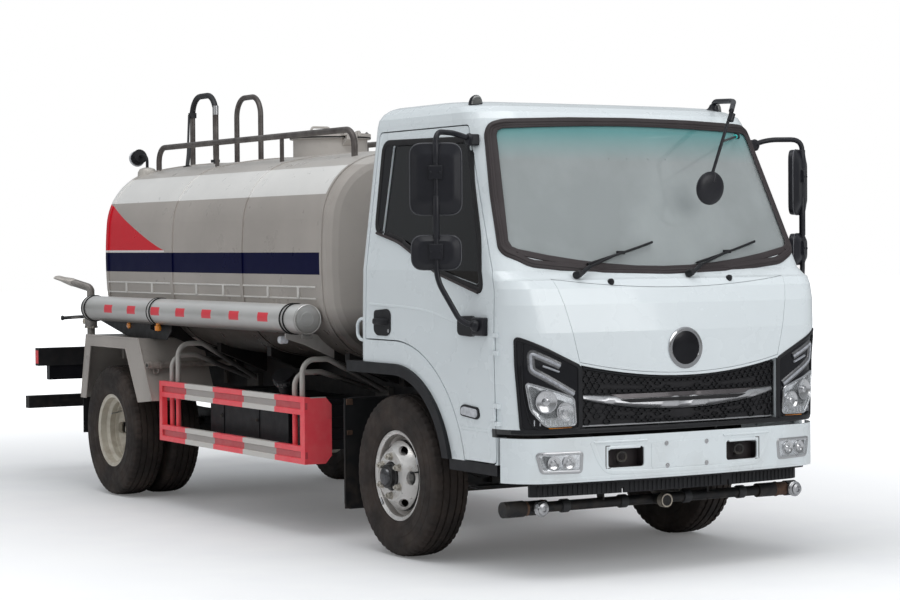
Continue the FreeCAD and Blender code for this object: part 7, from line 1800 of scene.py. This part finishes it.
def tail_reflectors():
    """Red and white bands and red ends of the tail beam."""
    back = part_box("chassis_lamps")[0][0] - 0.006
    red, white = Form(), Form()
    for sign in (-1, 1):
        red.box((back + 0.031, sign * 0.9055, BEAM_Z), (0.050, 0.002, 0.085))
        for place in (BAND_STEP, 2 * BAND_STEP, 3 * BAND_STEP):
            red.box((back - 0.0008, sign * place, BEAM_Z), (0.002, 0.12, 0.05))
            white.box((back - 0.0008, sign * (place + BAND_STEP / 2), BEAM_Z), (0.002, 0.115, 0.05))
    red.make("TailReflectors", REFLECTIVE_RED, "chassis")
    white.make("TailWhiteBands", PALE_LINE, "chassis")


NOZZLE_RINGS = ((-0.10, 0.022, 0.022), (0.10, 0.026, 0.026), (0.35, 0.042, 0.022), (0.70, 0.058, 0.015),
                (1.0, 0.066, 0.0125))


def spray_pipe_details():
    """Spread mouths of the rear spray nozzles, rounded valve levers and collars."""
    nozzles, levers, collars = Form(), Form(), Form()
    x = at(-3.850)
    for sign in (-1, 1):
        start = Vector((x - 0.078, sign * 0.928, 1.263))
        way = Vector((-0.075, sign * 0.075, 0.032)).normalized()
        wide = Vector((sign * way.y, -sign * way.x, 0)).normalized()
        thick = way.cross(wide).normalized()
        rows = []
        for share, half, deep in NOZZLE_RINGS:
            middle = start + way * 0.113 * share
            rows.append([middle + wide * half * cos + thick * deep * sin for cos, sin in circle(20)])
        nozzles.rows(rows)
        path = [(x, sign * 0.850, 1.045), (x - 0.030, sign * 0.890, 1.052), (x - 0.070, sign * 1.008, 1.046)]
        levers.tube(flowing(path, 6), 0.0105)
        levers.lathe((x - 0.068, sign * 1.000, 1.0462), (-0.04, sign * 0.12, 0), [
            (0, 0.010), (0.004, 0.014), (0.012, 0.016), (0.018, 0.013), (0.0205, 0.006)], 16)
        for height in (0.982, 1.062):
            collars.lathe((x, sign * 0.850, height), (0, 0, 1), [(0, 0.040), (0.006, 0.042),
                                                                 (0.012, 0.040)], 6)
        collars.lathe((x - 0.020, sign * 0.870, 1.0235), (-1, sign, 0), [(0, 0.020), (0.022, 0.018)], 6)
    nozzles.make("SprayNozzles", NOZZLE_PALE, "chassis", angle=50)
    levers.make("ValveLevers", HOSE_BLACK, "chassis")
    collars.make("ValveCollars", BRASS, "chassis", bevel=0.001)


def tank_side_fittings():
    """Fuel cap, fuel tank strap bolts and small lamps on the front tube brackets."""
    cap, lamp, bolts = Form(), Form(), Form()
    way = Vector((0.35, -0.45, 0.82)).normalized()
    top = Vector((at(-1.440), -0.690, 0.660)) + way * 0.130
    cap.lathe(top, way, [(-0.002, 0.058), (0.004, 0.0595), (0.024, 0.0595), (0.030, 0.054), (0.032, 0.020)],
              36)
    turn = turned_to(way)
    for cos, sin in circle(18):
        rib = top + turn @ Vector((cos, sin, 0)) * 0.0585
        cap.rod(rib + way * 0.002, rib + way * 0.025, 0.004, segments=8)
    cap.box(top + way * 0.036, (0.076, 0.014, 0.012), turn)
    cap.make("FuelCap", CAP_BLACK, "chassis", bevel=0.001)
    for sign in (-1, 1):
        lamp.lathe((at(-1.080), sign * 0.928, 1.000), (0, sign, 0), [(-0.030, 0.021), (0.006, 0.021),
                                                                    (0.012, 0.017), (0.014, 0.006)], 24)
    lamp.make("BracketLamps", LENS_WHITE, "chassis")
    for offset in (-2.080, -1.640):
        hex_nut(bolts, (at(offset), -0.795, 0.545), (0, -1, 0), 0.009, 0.008)
    bolts.make("StrapBolts", CAST_METAL, "chassis", angle=20)


HOOP_Y, HOOP_TOP, HOOP_BEND = -0.155, 2.305, 0.12


def hoop_fittings():
    """Black sleeve with a hose and a stay rod on the near ladder hoop."""
    back, front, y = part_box("ladder")[0][0] + 0.016, at(-3.490), HOOP_Y
    hose, rod, tape = Form(), Form(), Form()
    turns = [(HOOP_BEND * math.cos(turn), HOOP_BEND * math.sin(turn))
             for turn in (math.pi / 2 * step / 8 for step in range(9))]
    path = [(back + HOOP_BEND - cos, y, HOOP_TOP + sin) for cos, sin in turns]
    path += [(front - HOOP_BEND + sin, y, HOOP_TOP + cos) for cos, sin in turns[:7]]
    hose.tube(path, 0.0182, 16)
    drop = [(-0.024, 2.37), (-0.024, 2.22), (-0.022, 2.06), (-0.018, 2.004)]
    hose.tube(flowing([(front + x, y, z) for x, z in drop], 6), 0.0095)
    hose.box((front - 0.012, y, 2.012), (0.060, 0.034, 0.018))
    clamp = Vector((back, y, 2.312))
    hose.lathe(clamp - Vector((0, 0, 0.016)), (0, 0, 1), [(0, 0.026), (0.032, 0.026)], 20)
    hose.make("HoopHose", HOSE_BLACK, "chassis")
    foot, _ = tank_skin.top(at(-3.47), -0.36)
    rod.rod(clamp + Vector((0, -0.024, 0)), foot - Vector((0, 0, 0.006)), 0.007)
    rod.rod(foot, foot.lerp(clamp, 0.42), 0.0125)
    rod.lathe(foot - Vector((0, 0, 0.003)), (0, 0, 1), [(0, 0.026), (0.008, 0.024)], 16)
    rod.make("HoopStay", HOSE_BLACK, "chassis")
    tape.lathe((front, y, 2.30), (0, 0, 1), [(0, 0.0180), (0.055, 0.0180)], 20)
    tape.make("HoopTape", SATIN_SILVER, "chassis")


def work_lamp():
    """Lens, cooling rings, bezel and foot of the work lamp behind the tank's top."""
    lens, rings, rim, dome = Form(), Form(), Form(), Form()
    way = Vector((-1, 0, -0.25)).normalized()
    head = Vector((at(-3.69), -0.575, 2.045))
    lens.lathe(head + way * 0.0695, way, [(0, 0.036), (0.003, 0.035), (0.005, 0.020)], 32)
    lens.make("WorkLampLens", LENS_WHITE, "chassis")
    rings.lathe(head + way * 0.066, way, [(0, 0.0425), (0, 0.0445), (0.006, 0.0445), (0.006, 0.037)], 32,
                True)
    for step in range(5):
        rings.lathe(head + way * (0.006 + 0.009 * step), way, [(0, 0.043), (0, 0.0455), (0.003, 0.0455),
                                                              (0.003, 0.043)], 28, True)
    rings.make("WorkLampRim", BLACK_TRIM, "chassis")
    rim.lathe(head + way * 0.058, way, [(0, 0.0430), (0.002, 0.0500), (0.009, 0.0500), (0.011, 0.0430)], 32,
              True)
    rim.make("WorkLampBezel", LENS_WHITE, "chassis")
    dome.lathe((at(-3.59), -0.575, 1.900), (0, 0, 1), [(0, 0.060), (0.040, 0.058), (0.062, 0.046),
                                                       (0.070, 0.020)], 32)
    dome.make("WorkLampFoot", NOZZLE_PALE, "chassis")


side_lines()
manhole_details()
tube_details()
under_tube_plates()
fender_edges()
tail_reflectors()
spray_pipe_details()
tank_side_fittings()
hoop_fittings()
work_lamp()


# Lights and floor

FLOOR_HALF = 60.0
SKY_STRENGTH = 0.66
# painted shadow: reach of the lowered floor glow round the truck's footprint
SHADOW_GLOW_REACH, FULL_GLOW = 2.2, 7.0


def backdrop_material():
    """White floor: part of its brightness is its own, so that only the truck's shadow shows on it; that glow
    is turned down round the truck's footprint as a painted shadow.
    """
    graph = Graph("studio_floor")
    tint = graph.mix(graph.cloud(3.0, 6.0), (0.74, 0.74, 0.75), (0.77, 0.77, 0.77))
    graph.set(Base_Color=tint, Roughness=0.8, Specular_IOR_Level=0.1)
    tree = graph.tree
    path = tree.nodes.new("ShaderNodeLightPath")
    glow = tree.nodes.new("ShaderNodeEmission")
    glow.inputs["Color"].default_value = (1, 1, 1, 1)
    beside = [graph.math("MAXIMUM", graph.less(graph.math("ABSOLUTE", graph.axis(name)), half), 0.0)
              for name, half in (("x", 2.6), ("y", 0.8))]
    away = graph.reach(*beside)
    # painted shadow: the floor's own glow is lowest under and beside the truck
    near = graph.remap(away, 0.0, SHADOW_GLOW_REACH, 0.10, 0.36)
    far = graph.add(near, graph.remap(away, SHADOW_GLOW_REACH, FULL_GLOW, 0.0, 0.64))
    seen = graph.clamp(graph.add(path.outputs["Is Camera Ray"], path.outputs["Is Transmission Ray"]))
    tree.links.new(graph.both(seen, far), glow.inputs["Strength"])
    both = tree.nodes.new("ShaderNodeAddShader")
    tree.links.new(graph.shader.outputs[0], both.inputs[0])
    tree.links.new(glow.outputs[0], both.inputs[1])
    tree.links.new(both.outputs[0], tree.nodes["Material Output"].inputs["Surface"])
    return graph.material


def sky():
    """Soft overcast light; the camera sees plain white behind the truck."""
    world = bpy.data.worlds.new("World")
    bpy.context.scene.world = world
    world.use_nodes = True
    tree = world.node_tree
    background = tree.nodes["Background"]
    path = tree.nodes.new("ShaderNodeLightPath")
    seen = tree.nodes.new("ShaderNodeBackground")
    seen.inputs["Color"].default_value = (1, 1, 1, 1)
    seen.inputs["Strength"].default_value = 1.0
    coordinates = tree.nodes.new("ShaderNodeTexCoord")
    parts = tree.nodes.new("ShaderNodeSeparateXYZ")
    tree.links.new(coordinates.outputs["Generated"], parts.inputs[0])
    ramp = tree.nodes.new("ShaderNodeValToRGB")
    ends = ramp.color_ramp.elements
    ends[0].position, ends[0].color = 0.0, (0.30, 0.29, 0.27, 1)
    ends[1].position, ends[1].color = 1.0, (0.90, 0.95, 1.0, 1)
    ends.new(0.10).color = (0.42, 0.44, 0.45, 1)
    tree.links.new(parts.outputs["Z"], ramp.inputs[0])
    tree.links.new(ramp.outputs[0], background.inputs["Color"])
    background.inputs["Strength"].default_value = SKY_STRENGTH
    choice = tree.nodes.new("ShaderNodeMixShader")
    tree.links.new(path.outputs["Is Camera Ray"], choice.inputs[0])
    tree.links.new(background.outputs[0], choice.inputs[1])
    tree.links.new(seen.outputs[0], choice.inputs[2])
    tree.links.new(choice.outputs[0], tree.nodes["World Output"].inputs[0])


def studio():
    """White floor under the sky with one wide lamp above, one ahead and one to the right."""
    sky()
    for name, place, power, width, height in (
        ("LampHigh", (3.0, -2.0, 9.0), 360, 9.0, 6.0),
        ("LampFront", (9.0, 1.5, 4.0), 165, 5.0, 4.0),
        ("LampSide", (0.0, -9.0, 4.0), 75, 9.0, 3.0),
    ):
        data = bpy.data.lights.new(name, "AREA")
        data.shape, data.size, data.size_y, data.energy = "RECTANGLE", width, height, power
        lamp = bpy.data.objects.new(name, data)
        bpy.context.scene.collection.objects.link(lamp)
        aim = Vector((0.4, 0.0, 1.0)) - Vector(place)
        lamp.matrix_world = Matrix.Translation(place) @ aim.to_track_quat("-Z", "Y").to_matrix().to_4x4()
    mesh = bpy.data.meshes.new("Floor")
    corners = [(x * FLOOR_HALF, y * FLOOR_HALF, 0) for x, y in ((-1, -1), (1, -1), (1, 1), (-1, 1))]
    mesh.from_pydata(corners, [], [(0, 1, 2, 3)])
    mesh.materials.append(backdrop_material())
    floor = bpy.data.objects.new("Floor", mesh)
    bpy.context.scene.collection.objects.link(floor)


studio()
bpy.context.scene.view_settings.view_transform = "Standard"
